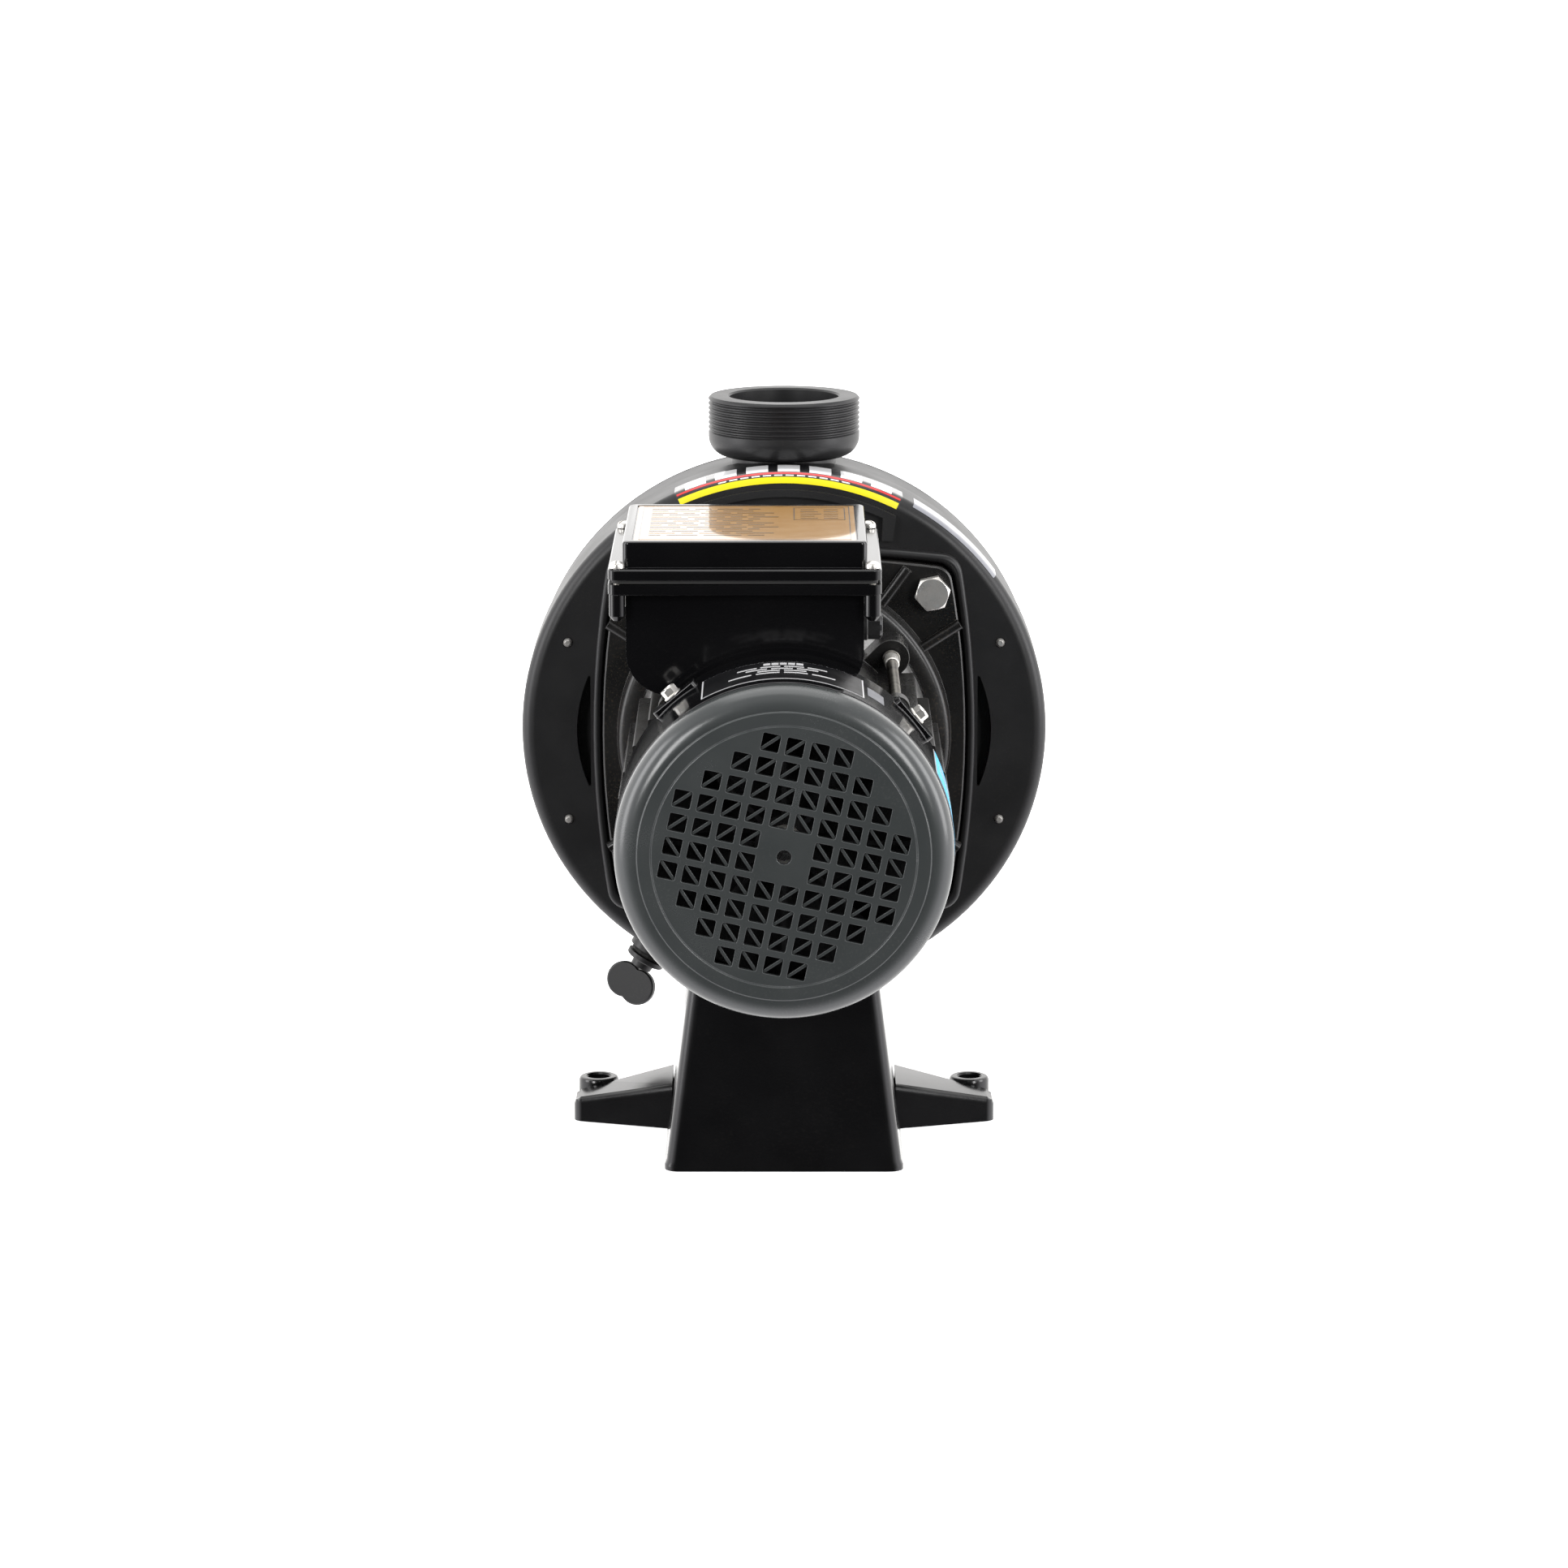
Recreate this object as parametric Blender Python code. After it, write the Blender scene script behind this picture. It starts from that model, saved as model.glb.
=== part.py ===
"""Close-coupled centrifugal pool pump: drum casing, bracket, electric motor, terminal box, pedestal.

World frame: +Z up, floor at Z = 0, the shaft along Y with the motor towards -Y and the suction
port towards +Y.  Most pieces are laid out in the shaft frame, whose origin is where the shaft
axis meets the casing's flat back: x to the right, y up, z along the shaft towards the motor.
"""
import math

import bmesh
import bpy
from mathutils import Matrix

for leftover in list(bpy.data.objects):
    bpy.data.objects.remove(leftover, do_unlink=True)

# ------------------------------------------------------------------ overall sizes (metres)
GAP = 0.0003                    # clearance wherever two pieces seat on each other
AXIS_HEIGHT = 0.169             # shaft axis above the floor
MOTOR_LENGTH = 0.269            # casing's flat back to the face of the fan cap
CASING_DEPTH = 0.078
SUCTION_REACH = 0.037           # suction port beyond the casing's front
CASING_RADIUS = 0.1198

# ------------------------------------------------------------------ casing
CASING_WALL = 0.004
BACK_EDGE = 0.0061              # radial width of the rounded rim around the flat back
COVER_DEPTH = 0.012             # how much of the depth is the front cover's
BAND_DEPTH = 0.038              # flat back to the small step round the drum
BAND_STEP = 0.0012
BACK_OPENING_RADIUS = 0.062
PORT_RADIUS = 0.03475           # outside of both threaded ports
PORT_BORE_RADIUS = 0.0251
PORT_DUCT_RADIUS = 0.0195       # narrower passage behind the threaded socket
PORT_SOCKET_DEPTH = 0.021
DISCHARGE_RISE = 0.0282         # drum to the top of the discharge port
NECK_RADIUS = 0.0238
NECK_MARGIN = 0.0022            # discharge neck to the joint with the front cover
PORT_ROUND = 0.009              # rounding under the port's outer band
PORT_ROUND_LIFT = 0.0005        # rounding starts this far above the drum
PORT_ROOT_SINK = 0.003          # how deep the neck's foot is set into the drum's wall
PORT_CHAMFER = 0.001
PORT_BORE_REACH = 0.012         # how far the port's passage cuts into the drum
SPIGOT_LENGTH = 0.005
SPIGOT_WALL = 0.0064
ORING_RADIUS = 0.0015
EYE_TUBE_RADIUS = 0.021
EYE_TUBE_WALL = 0.003
EYE_TUBE_CLEARANCE = 0.006      # impeller hub's end to the eye tube's end
CASING_SCREW_INSET = 0.0132     # casing's rim to the circle of its screws
CASING_SCREW_ANGLE = 67.38      # from the vertical, mirrored into each quarter
CASING_SCREW_RADIUS = 0.002
CASING_SCREW_TIP = 0.0015       # how far a screw's tip stands out of the flat back
CASING_SCREW_HEAD_RADIUS = 0.0042
CASING_SCREW_HEAD_HEIGHT = 0.003
COLUMN_RADIUS = 0.0045          # moulded column round each casing screw
BOLT_COLUMN_RADIUS = 0.0085
BOLT_COLUMN_DEPTH = 0.016
SLOT_HALF_LENGTH = 0.0255       # lens-shaped pockets beside the bracket
SLOT_OFFSET = 0.0012            # bracket ridge to the pocket
SLOT_BULGE = 0.0063
SLOT_END_WIDTH = 0.001          # width of a pocket at its pointed ends
SLOT_DEPTH = 0.009
SLOT_WALL = 0.0025
EYEBROW_INSET = 0.0113          # casing's rim to the inside of the rib above the bracket
EYEBROW_WIDTH = 0.0032
EYEBROW_HALF_ANGLE = 27.0
EYEBROW_HEIGHT = 0.004
EYEBROW_LEG_DROP = 0.0083
EYEBROW_LEG_WIDTH = 0.005

# ------------------------------------------------------------------ shield-shaped bracket seat
SHIELD_CORNER_X = 0.0795
SHIELD_CORNER_UP = 0.0815
SHIELD_SIDE_BULGE = 0.0075
SHIELD_TOP_BULGE = 0.0052
SHIELD_CORNER_ROUND = 0.010
RIDGE_WIDTH = 0.0036
RIDGE_HEIGHT = 0.0065
BRACKET_CLEARANCE = 0.001
BRACKET_THICKNESS = 0.010
BRACKET_OPENING_RADIUS = 0.030
BRACKET_RING_INNER = 0.0667
BRACKET_RING_WIDTH = 0.0083
BRACKET_RING_HEIGHT = 0.012
BRACKET_RING_FOOT = 0.001       # widening at the ring wall's foot
BRACKET_RING_BEVEL = 0.002
BRACKET_RIB_LENGTH = 0.020
BRACKET_RIB_WIDTH = 0.0045
BRACKET_RIB_HEIGHT = 0.005
BRACKET_RIB_ANGLES = (36.0, 57.0)       # from the vertical, mirrored into each quarter
BOLT_INSET_X = 0.0125           # shield's corner to the bolt, sideways and upwards
BOLT_INSET_UP = 0.0155
BOLT_RADIUS = 0.00475
BOLT_HEAD_ACROSS = 0.0143
BOLT_HEAD_HEIGHT = 0.0061
BOLT_REACH = 0.013              # how deep a bracket bolt goes into the casing
HOLE_CLEARANCE = 0.0003         # radial, round screws and bolts

# ------------------------------------------------------------------ wet end
SEAL_PLATE_FLANGE = 0.006       # how far its flange laps behind the casing wall
SEAL_PLATE_THICKNESS = 0.005
SEAL_SEAT_INNER = 0.0115
SEAL_SEAT_OUTER = 0.0175
SEAL_SEAT_LENGTH = 0.008
SEAL_SEAT_SINK = 0.002          # how far the seat's pocket goes into the plate
SEAL_SEAT_STANDOUT = 0.002      # how far the seat stands out of its pocket
SEAL_POCKET_WALL = 0.0035
SEAL_BORE_CLEARANCE = 0.002     # radial, round the shaft
SEAL_HEAD_OUTER = 0.016
SEAL_HEAD_LENGTH = 0.005
SEAL_HEAD_CHAMFER = 0.001
SEAL_SPRING_RADIUS = 0.0125
SEAL_SPRING_WIRE = 0.0009
SEAL_SPRING_LENGTH = 0.010
SEAL_SPRING_TURNS = 3
SEAL_SPRING_STEPS = 10          # points of the coil in one turn
SEAL_SPRING_SIDES = 5
IMPELLER_RADIUS = 0.062
IMPELLER_HUB_RADIUS = 0.012
IMPELLER_HUB_LENGTH = 0.016
IMPELLER_SHROUD = 0.0022
IMPELLER_CHANNEL = 0.0088       # free width between the two shrouds
IMPELLER_EYE_RADIUS = 0.020
IMPELLER_EYE_WALL = 0.002
IMPELLER_EYE_LIP = 0.003
IMPELLER_BACK_STEP = 0.002      # hub behind the rear shroud
IMPELLER_HUB_TAPER = 0.002
IMPELLER_VANES = 6
IMPELLER_SWEEP = -70.0
VANE_THICKNESS = 0.0024
VANE_INSET = 0.0005             # vane tips inside the shrouds' rim
DIFFUSER_TO_COLUMN = 0.0041     # between its rim and the casing's screw columns
DIFFUSER_PLATE = 0.003
DIFFUSER_CLEARANCE = 0.003      # radial, outside the impeller
DIFFUSER_SPACING = 0.004        # impeller's front shroud to the diffuser's plate
DIFFUSER_RIM = 0.002            # plate beyond the ends of its vanes
DIFFUSER_VANES = 7
DIFFUSER_SWEEP = 38.0
IMPELLER_NUT_RADIUS = 0.0078
IMPELLER_NUT_LENGTH = 0.008
IMPELLER_NUT_BEVEL = 0.002

# ------------------------------------------------------------------ drain plug
DRAIN_ANGLE = 210.0             # clockwise from the top, seen from the motor
DRAIN_SETBACK = 0.020
DRAIN_BOSS_RADIUS = 0.010
DRAIN_BOSS_REACH = 0.0045       # beyond the casing's cylinder
DRAIN_SHANK_RADIUS = 0.006
DRAIN_SHANK_LENGTH = 0.013
DRAIN_ORING_RADIUS = 0.0011
DRAIN_COLLAR_RADIUS = 0.0092
DRAIN_COLLAR_HEIGHT = 0.0025
DRAIN_STEM_RADIUS = 0.0052
DRAIN_STEM_LENGTH = 0.0035
DRAIN_WING_WIDTH = 0.024
DRAIN_WING_HEIGHT = 0.0175
DRAIN_WING_THICKNESS = 0.0045
DRAIN_WING_TURN = 20.0
DRAIN_WING_FOOT_ROUND = 0.004
DRAIN_WING_TIP_ROUND = 0.008

# ------------------------------------------------------------------ motor
MOTOR_BODY_RADIUS = 0.058
MOTOR_FRAME_WALL = 0.003
FIN_PITCH = 0.0112
FIN_THICKNESS = 0.0036
FIN_REACH = 0.0125              # fin tips beyond the motor body
FIN_ROWS = 4                    # above and below the axis
FIN_INSET = 0.001               # fins end short of the frame's ends
ADAPTER_THICKNESS = 0.0074
ADAPTER_NECK_STEP = 0.008       # neck's radius under the motor body's
ADAPTER_NECK_LENGTH = 0.012
FRONT_BELL_LENGTH = 0.0447
BELL_WALL = 0.004
BELL_FLARE = 0.014              # length over which the front bell widens
BELL_BORE_CLEARANCE = 0.0032
BEARING_HOUSING_WALL = 0.004
BEARING_POCKET_SPARE = 0.001    # housing beyond the front bearing
REAR_BELL_LENGTH = 0.0257
REAR_BELL_RIM_STEP = 0.002      # rim's radius under the cowl's
REAR_BELL_RIM_LENGTH = 0.020
ROD_OFFSET = 0.009              # rods' circle beyond the motor body
ROD_RADIUS = 0.00245
ROD_ANGLES = (45.0, 135.0, 225.0, 315.0)
ROD_HEAD_ACROSS = 0.008
ROD_HEAD_HEIGHT = 0.004
ROD_COLLAR_RADIUS = 0.0039
ROD_COLLAR_LENGTH = 0.0022
FRONT_LUG_HALF_WIDTH = 0.008
FRONT_LUG_LENGTH = 0.0225
FRONT_LUG_SETBACK = 0.0005      # lugs end short of the bell's edge
FRONT_LUG_OVERLAP = 0.001       # how far a lug's root goes into the bell's wall
REAR_LUG_HALF_WIDTH = 0.0055
REAR_LUG_LENGTH = 0.0092
REAR_LUG_DEPTH = 0.013          # how far a rear lug reaches in under the motor body's radius
REAR_LUG_SKIN = 0.001           # metal left beyond a rod's blind hole
STATOR_LENGTH = 0.070
STATOR_SLOTS = 12
STATOR_BORE = 0.0332
AIR_GAP = 0.0005
STATOR_FIT = 0.0008           # radial, inside the frame
STATOR_YOKE = 0.0077            # iron between the slots and the stator's outside
SLOT_SHARE = 0.5                # share of the slot pitch that is open
SLOT_TAPER = 0.98               # slot width at its outer end, as a share of its mouth
WINDING_OVERHANG = 0.012
WINDING_STEP = 0.0038           # stator's bore to the inside of the winding
WINDING_FILL = 0.86             # share of the slot's width that the bar fills
WINDING_TOP_CLEARANCE = 0.0012
WINDING_RING_STEP = 0.001       # end turns beyond the bars, each way
WINDING_BAR_REACH = 0.003       # bars beyond the core, into the end turns

# ------------------------------------------------------------------ shaft and bearings
SHAFT_SEAL_RADIUS = 0.008
SHAFT_CORE_RADIUS = 0.0105
SHAFT_IMPELLER_RADIUS = 0.007
SHAFT_THREAD_RADIUS = 0.0045
SHAFT_FAN_RADIUS = 0.006
FRONT_BEARING = {"bore": 0.0085, "outside": 0.020, "width": 0.012}
REAR_BEARING = {"bore": 0.0075, "outside": 0.0175, "width": 0.011}
BALLS = 6
RACE_SHARE = 0.45               # race thickness as a share of bore to outside
BALL_SHARE = 0.6                # ball radius as a share of bore to outside
BALL_CLEARANCE = 0.0004
CAGE_SHARE = 0.55               # half the cage's width as a share of a ball's radius
BALL_SEGMENTS = 6
BALL_RINGS = 4
FRONT_BEARING_START = 0.054     # casing's flat back to the bearing's pump side
REAR_BEARING_START = 0.060      # fan cap face to the bearing's fan side
REAR_BEARING_SEAT = 0.004       # shaft's bearing seat beyond the rear bearing
REAR_BELL_BEYOND = 0.003        # rear bell beyond the rear bearing
WAVE_WASHER_THICKNESS = 0.0008
WAVE_WASHER_WIDTH = 0.0035
WAVE_WASHER_CLEARANCE = 0.0005  # radial, inside the housing
SLINGER_RADIUS = 0.022
SLINGER_THICKNESS = 0.003
SLINGER_EDGE = 0.001            # thickness at its rim
SLINGER_HUB = 0.003
SLINGER_START = 0.022

# ------------------------------------------------------------------ fan, cowl and cap
FAN_CLEARANCE = 0.010           # radial, inside the cowl
FAN_START = 0.024               # fan cap face to the fan's outer side
FAN_WIDTH = 0.021
FAN_PLATE = 0.002
FAN_HUB_RADIUS = 0.012
FAN_HUB_FLARE = 0.002
FAN_HUB_DROP = 0.002            # hub shorter than the fan's width
FAN_BLADES = 8
FAN_BLADE_THICKNESS = 0.002
FAN_BLADE_INSET = 0.001         # blades inside the plate's rim
FAN_BLADE_DROP = 0.004          # blades shorter than the fan's width
FAN_SHAFT_REACH = 0.003         # shaft beyond the fan's outer side
FAN_CLIP_RADIUS = 0.0085
FAN_CLIP_THICKNESS = 0.001
COWL_OFFSET = 0.012             # cowl's radius beyond the motor body's
COWL_WALL = 0.0014
COWL_START = 0.0143             # fan cap face to the cowl's edge
COWL_LENGTH = 0.0587
CAP_INSET = 0.0003              # cap's radius under the cowl's
CAP_WALL = 0.0024
CAP_SIDE = 0.014
CAP_SPIGOT = 0.005
CAP_SHOULDER_WIDTH = 0.0092
CAP_SHOULDER_DROP = 0.0008
CAP_DISC_EDGE = 0.0006          # width of the sloping edge round the raised disc
CAP_INNER_STEP = 0.001
GRILLE_PITCH = 0.0101
GRILLE_SQUARE = 0.0074
GRILLE_TURN = -12.0
GRILLE_ROWS = (4, 6, 8, 10, 8, 8, 10, 8, 6, 4)
GRILLE_MIDDLE_ROWS = (4, 5)
GRILLE_MIDDLE_GAP = 2           # squares left out of each middle row
CAP_HOLE_RADIUS = 0.003
COWL_SCREW_ANGLES = (50.0, 140.0, 230.0, 320.0)
COWL_SCREW_SETBACK = 0.064      # fan cap face to the cowl screws
COWL_SCREW_RADIUS = 0.002
COWL_SCREW_ACROSS = 0.007
COWL_SCREW_HEAD = 0.004
COWL_SCREW_LENGTH = 0.008
COWL_PAD = (0.022, 0.009, 0.0018)       # along the rim, along the shaft, thickness

# ------------------------------------------------------------------ terminal box
BOX_LEFT = -0.0664
BOX_RIGHT = 0.0336
BOX_SINK = 0.0065               # how far the box reaches down beside the motor body's top
BOX_CORNER = 0.018
BOX_WALL = 0.0025
BOX_SETBACK = 0.0067            # motor frame's pump end to the box
BOX_DEPTH = 0.103
BOX_HEIGHT = 0.048
BOX_FLANGE_THICKNESS = 0.0045
BOX_FLANGE_REACH = 0.0073
GASKET_THICKNESS = 0.0014
GASKET_INSET = 0.006
GASKET_WIDTH = 0.0033
LID_FLANGE_THICKNESS = 0.0045
LID_PLATEAU_INSET = 0.006
LID_HEIGHT = 0.0155
LID_WALL = 0.0025
LID_CORNER = 0.004
LID_SCREW_INSET = 0.0038
LID_SCREW_RADIUS = 0.0016
LID_SCREW_HEAD_RADIUS = 0.0031
LID_SCREW_HEAD_HEIGHT = 0.003
LID_SCREW_REACH = 0.012
LID_POST_RADIUS = 0.0034
LID_POST_LENGTH = 0.0135
LID_POST_TIP = 0.002            # cone under each post
LID_POST_TIP_SHARE = 0.4
CONDUIT_RISE = 0.0182           # box's bottom to the conduit entry
CONDUIT_ALONG = 0.038           # box's pump end to the conduit entry
CONDUIT_RADIUS = 0.0045
CONDUIT_HEAD_RADIUS = 0.0062
CONDUIT_HEAD_LENGTH = 0.009
CONDUIT_CHAMFER = 0.001
CONDUIT_TAIL = 0.003            # plug beyond the wall, inside the box
CAPACITOR_RADIUS = 0.014
CAPACITOR_LENGTH = 0.072
CAPACITOR_INSET = 0.0224        # box's left side to the capacitor's middle
CAPACITOR_RISE = 0.022
TERMINAL_BLOCK = (0.030, 0.044, 0.0145)

# ------------------------------------------------------------------ pedestal base
BASE_START = 0.024              # casing's flat back to the pedestal
BASE_LENGTH = 0.116
BASE_FOOT_WIDTH = 0.1046
BASE_DRAFT = 0.130              # sideways draft of each long wall, metres per metre
BASE_END_DRAFT = 0.02
BASE_WALL = 0.004
BASE_TOP_DROP = 0.044           # shaft axis down to the pedestal's upper edge
BASE_CORNER = 0.006
BASE_INNER_CORNER = 0.0015
LUG_CLEARANCE = 0.001
WING_REACH = 0.095              # middle of the base to the end of a wing
WING_ROOT_FRONT = 0.069         # casing's flat back to the wing's front edge at the pedestal
WING_TIP_FRONT = 0.055
WING_TIP_BACK = 0.040
WING_ROOT_BACK = 0.027
WING_ROOT_HEIGHT = 0.0196
WING_TIP_HEIGHT = 0.0105
WING_CORNER = 0.004
WING_HOLLOW_REACH = 0.02        # how far a wing's hollow runs in under the pedestal
ANCHOR_X = 0.0845
ANCHOR_SETBACK = 0.031
ANCHOR_BOSS_RADIUS = 0.009
ANCHOR_BOSS_HEIGHT = 0.015
ANCHOR_HOLE_RADIUS = 0.005

# ------------------------------------------------------------------ roundness of turned pieces
ROUND_LARGE = 32
ROUND_MEDIUM = 24
ROUND_BEARING = 20
ROUND_SMALL = 12
ROUND_BOLT = 12
ROUND_SCREW = 8
ORING_SIDES = 5
ARC_STEPS = 2
LUG_STEPS = 6
CAP_STEPS = 3
BOX_STEPS = 5
LONG_ARC_STEPS = 8
NUDGE = 0.0005                  # how far fused shapes run into each other
SAME_POINT = 0.000001           # points closer than this are one
PAST = 0.002                    # how far a cutter runs past the surface that it opens

# ------------------------------------------------------------------ places that follow
TOTAL_LENGTH = MOTOR_LENGTH + CASING_DEPTH + SUCTION_REACH
PARTING = COVER_DEPTH - CASING_DEPTH
COVER_RADIUS = CASING_RADIUS - BAND_STEP
INNER_RADIUS = CASING_RADIUS - CASING_WALL
DISCHARGE_HEIGHT = CASING_RADIUS + DISCHARGE_RISE
DISCHARGE_SETBACK = -PARTING - NECK_RADIUS - NECK_MARGIN
CASING_SCREW_CIRCLE = CASING_RADIUS - CASING_SCREW_INSET
EYEBROW_INNER_RADIUS = CASING_RADIUS - EYEBROW_INSET
SLOT_INNER_X = SHIELD_CORNER_X + SHIELD_SIDE_BULGE + SLOT_OFFSET
BOLT_X = SHIELD_CORNER_X - BOLT_INSET_X
BOLT_UP = SHIELD_CORNER_UP - BOLT_INSET_UP
DIFFUSER_RADIUS = CASING_SCREW_CIRCLE - COLUMN_RADIUS - DIFFUSER_TO_COLUMN
FIN_TIP_RADIUS = MOTOR_BODY_RADIUS + FIN_REACH
ADAPTER_NECK_RADIUS = MOTOR_BODY_RADIUS - ADAPTER_NECK_STEP
ROD_CIRCLE_RADIUS = MOTOR_BODY_RADIUS + ROD_OFFSET
REAR_LUG_ROOT = MOTOR_BODY_RADIUS - REAR_LUG_DEPTH
STATOR_RADIUS = MOTOR_BODY_RADIUS - MOTOR_FRAME_WALL - STATOR_FIT
SLOT_TOP_RADIUS = STATOR_RADIUS - STATOR_YOKE
WINDING_INNER_RADIUS = STATOR_BORE + WINDING_STEP
COWL_RADIUS = MOTOR_BODY_RADIUS + COWL_OFFSET
REAR_BELL_RIM_RADIUS = COWL_RADIUS - REAR_BELL_RIM_STEP
CAP_RADIUS = COWL_RADIUS - CAP_INSET
CAP_SHOULDER_RADIUS = CAP_RADIUS - CAP_SHOULDER_WIDTH
FAN_RADIUS = COWL_RADIUS - FAN_CLEARANCE
CASING_BACK_Y = MOTOR_LENGTH - TOTAL_LENGTH / 2.0
FAN_FACE = MOTOR_LENGTH
BRACKET_FACE = GAP + BRACKET_THICKNESS
ADAPTER_FACE = BRACKET_FACE + GAP + ADAPTER_THICKNESS
FRONT_BELL_START = ADAPTER_FACE + ADAPTER_NECK_LENGTH + GAP
FRONT_BELL_END = FRONT_BELL_START + FRONT_BELL_LENGTH
REAR_BEARING_END = FAN_FACE - REAR_BEARING_START
COWL_END = FAN_FACE - COWL_START
COWL_FRONT = COWL_END - COWL_LENGTH
REAR_BELL_END = REAR_BEARING_END + REAR_BELL_BEYOND
REAR_BELL_START = REAR_BELL_END - REAR_BELL_LENGTH
FRAME_START = FRONT_BELL_END + GAP
FRAME_END = REAR_BELL_START - GAP
FRAME_MIDDLE = (FRAME_START + FRAME_END) / 2.0
SEAL_PLATE_BACK = -CASING_WALL - GAP - SEAL_PLATE_THICKNESS
SEAT_START = SEAL_PLATE_BACK + SEAL_SEAT_SINK
SEAT_END = SEAT_START - SEAL_SEAT_LENGTH
HEAD_START = SEAT_END - GAP
HEAD_END = HEAD_START - SEAL_HEAD_LENGTH
SPRING_START = HEAD_END - GAP
SPRING_END = SPRING_START - SEAL_SPRING_LENGTH
HUB_START = SPRING_END - GAP
HUB_END = HUB_START - IMPELLER_HUB_LENGTH

SHAFT_FRAME = (Matrix.Translation((0.0, CASING_BACK_Y, AXIS_HEIGHT))
               @ Matrix.Rotation(math.radians(90.0), 4, "X"))


# ------------------------------------------------------------------ materials
def material(name, colour, roughness, metallic=0.0):
    made = bpy.data.materials.new(name)
    made.use_nodes = True
    shader = made.node_tree.nodes["Principled BSDF"]
    shader.inputs["Base Color"].default_value = (*colour, 1.0)
    shader.inputs["Roughness"].default_value = roughness
    shader.inputs["Metallic"].default_value = metallic
    return made


SATIN_BLACK = material("satin_black_plastic", (0.020, 0.020, 0.021), 0.42)
GLOSS_BLACK = material("gloss_black_plastic", (0.008, 0.008, 0.009), 0.12)
CAST_BLACK = material("black_casting", (0.022, 0.022, 0.022), 0.5)
CAP_GREY = material("dark_grey_plastic", (0.075, 0.080, 0.082), 0.5)
PLAIN_ALUMINIUM = material("plain_aluminium", (0.62, 0.62, 0.60), 0.45, 1.0)
BRIGHT_STEEL = material("bright_steel", (0.72, 0.70, 0.66), 0.22, 1.0)
SHAFT_STEEL = material("shaft_steel", (0.55, 0.55, 0.56), 0.3, 1.0)
LAMINATION_STEEL = material("lamination_steel", (0.30, 0.30, 0.31), 0.5, 1.0)
COPPER = material("winding_copper", (0.62, 0.26, 0.12), 0.35, 1.0)
RUBBER = material("black_rubber", (0.015, 0.015, 0.015), 0.7)
CERAMIC = material("seal_ceramic", (0.82, 0.80, 0.74), 0.3)
CARBON = material("seal_carbon", (0.03, 0.03, 0.03), 0.4)
WHITE_PLASTIC = material("white_plastic", (0.75, 0.75, 0.72), 0.4)
GREY_PLASTIC = material("grey_plastic", (0.22, 0.23, 0.24), 0.4)


# ------------------------------------------------------------------ places
def along(z=0.0, x=0.0, up=0.0):
    """A place in the shaft frame, its own z along the shaft towards the motor."""
    return SHAFT_FRAME @ Matrix.Translation((x, up, z))


def radial(clock, z):
    """A place on the shaft axis, its own z pointing out at a clock angle from the top."""
    turned_to_clock = Matrix.Rotation(math.radians(-clock), 4, "Z")
    stood_up = Matrix.Rotation(math.radians(-90.0), 4, "X")
    return along(z) @ turned_to_clock @ stood_up


def upright(x, up, z):
    """A place with the world's own directions, stated by its shaft-frame position."""
    return Matrix.Translation((x, CASING_BACK_Y - z, AXIS_HEIGHT + up))


def clock_point(radius, clock):
    """x and up of a point at a clock angle from the top."""
    angle = math.radians(clock)
    return radius * math.sin(angle), radius * math.cos(angle)


# ------------------------------------------------------------------ outlines
def circle(radius, count, centre=(0.0, 0.0)):
    step = 2.0 * math.pi / count
    return [(centre[0] + radius * math.cos(step * i), centre[1] + radius * math.sin(step * i))
            for i in range(count)]


def arc(centre, radius, start, end, steps=ARC_STEPS):
    """Points of an arc, both ends included, angles in degrees."""
    points = []
    for i in range(steps + 1):
        angle = math.radians(start + (end - start) * i / steps)
        points.append((centre[0] + radius * math.cos(angle), centre[1] + radius * math.sin(angle)))
    return points


def hexagon(across, count=ROUND_BOLT):
    """A hexagon of this size across its flats, as evenly turned points."""
    points = []
    for i in range(count):
        angle = 2.0 * math.pi * i / count
        from_flat = (angle % (math.pi / 3.0)) - math.pi / 6.0
        reach = across / 2.0 / math.cos(from_flat)
        points.append((reach * math.cos(angle), reach * math.sin(angle)))
    return points


def rounded(corners, radii, steps=ARC_STEPS):
    """An outline whose corners are rounded, one radius to each corner."""
    outline = []
    count = len(corners)
    for i, (corner, radius) in enumerate(zip(corners, radii)):
        if radius <= 0.0:
            outline.append(corner)
            continue
        before = corners[i - 1]
        after = corners[(i + 1) % count]
        to_before = math.atan2(before[1] - corner[1], before[0] - corner[0])
        to_after = math.atan2(after[1] - corner[1], after[0] - corner[0])
        spread = (to_after - to_before + math.pi) % (2.0 * math.pi) - math.pi
        half = abs(spread) / 2.0
        middle = to_before + spread / 2.0
        centre = (corner[0] + radius / math.sin(half) * math.cos(middle),
                  corner[1] + radius / math.sin(half) * math.sin(middle))
        sweep = math.copysign(math.pi - abs(spread), spread)
        first = to_before - math.copysign(math.pi / 2.0, spread)
        for step in range(steps + 1):
            angle = first - sweep * step / steps
            outline.append((centre[0] + radius * math.cos(angle),
                            centre[1] + radius * math.sin(angle)))
    return outline


def rectangle(left, right, low, high, corner=0.0):
    corners = [(left, low), (right, low), (right, high), (left, high)]
    return rounded(corners, [corner] * 4)


def bowed_side(start, end, bulge, steps):
    """Points from start up to, not including, end, on a shallow arc that bows outwards."""
    points = []
    across = (end[0] - start[0], end[1] - start[1])
    length = math.hypot(*across)
    outward = (across[1] / length, -across[0] / length)
    for i in range(steps):
        share = i / steps
        bow = bulge * (1.0 - (2.0 * share - 1.0) ** 2)
        points.append((start[0] + across[0] * share + outward[0] * bow,
                       start[1] + across[1] * share + outward[1] * bow))
    return points


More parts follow.
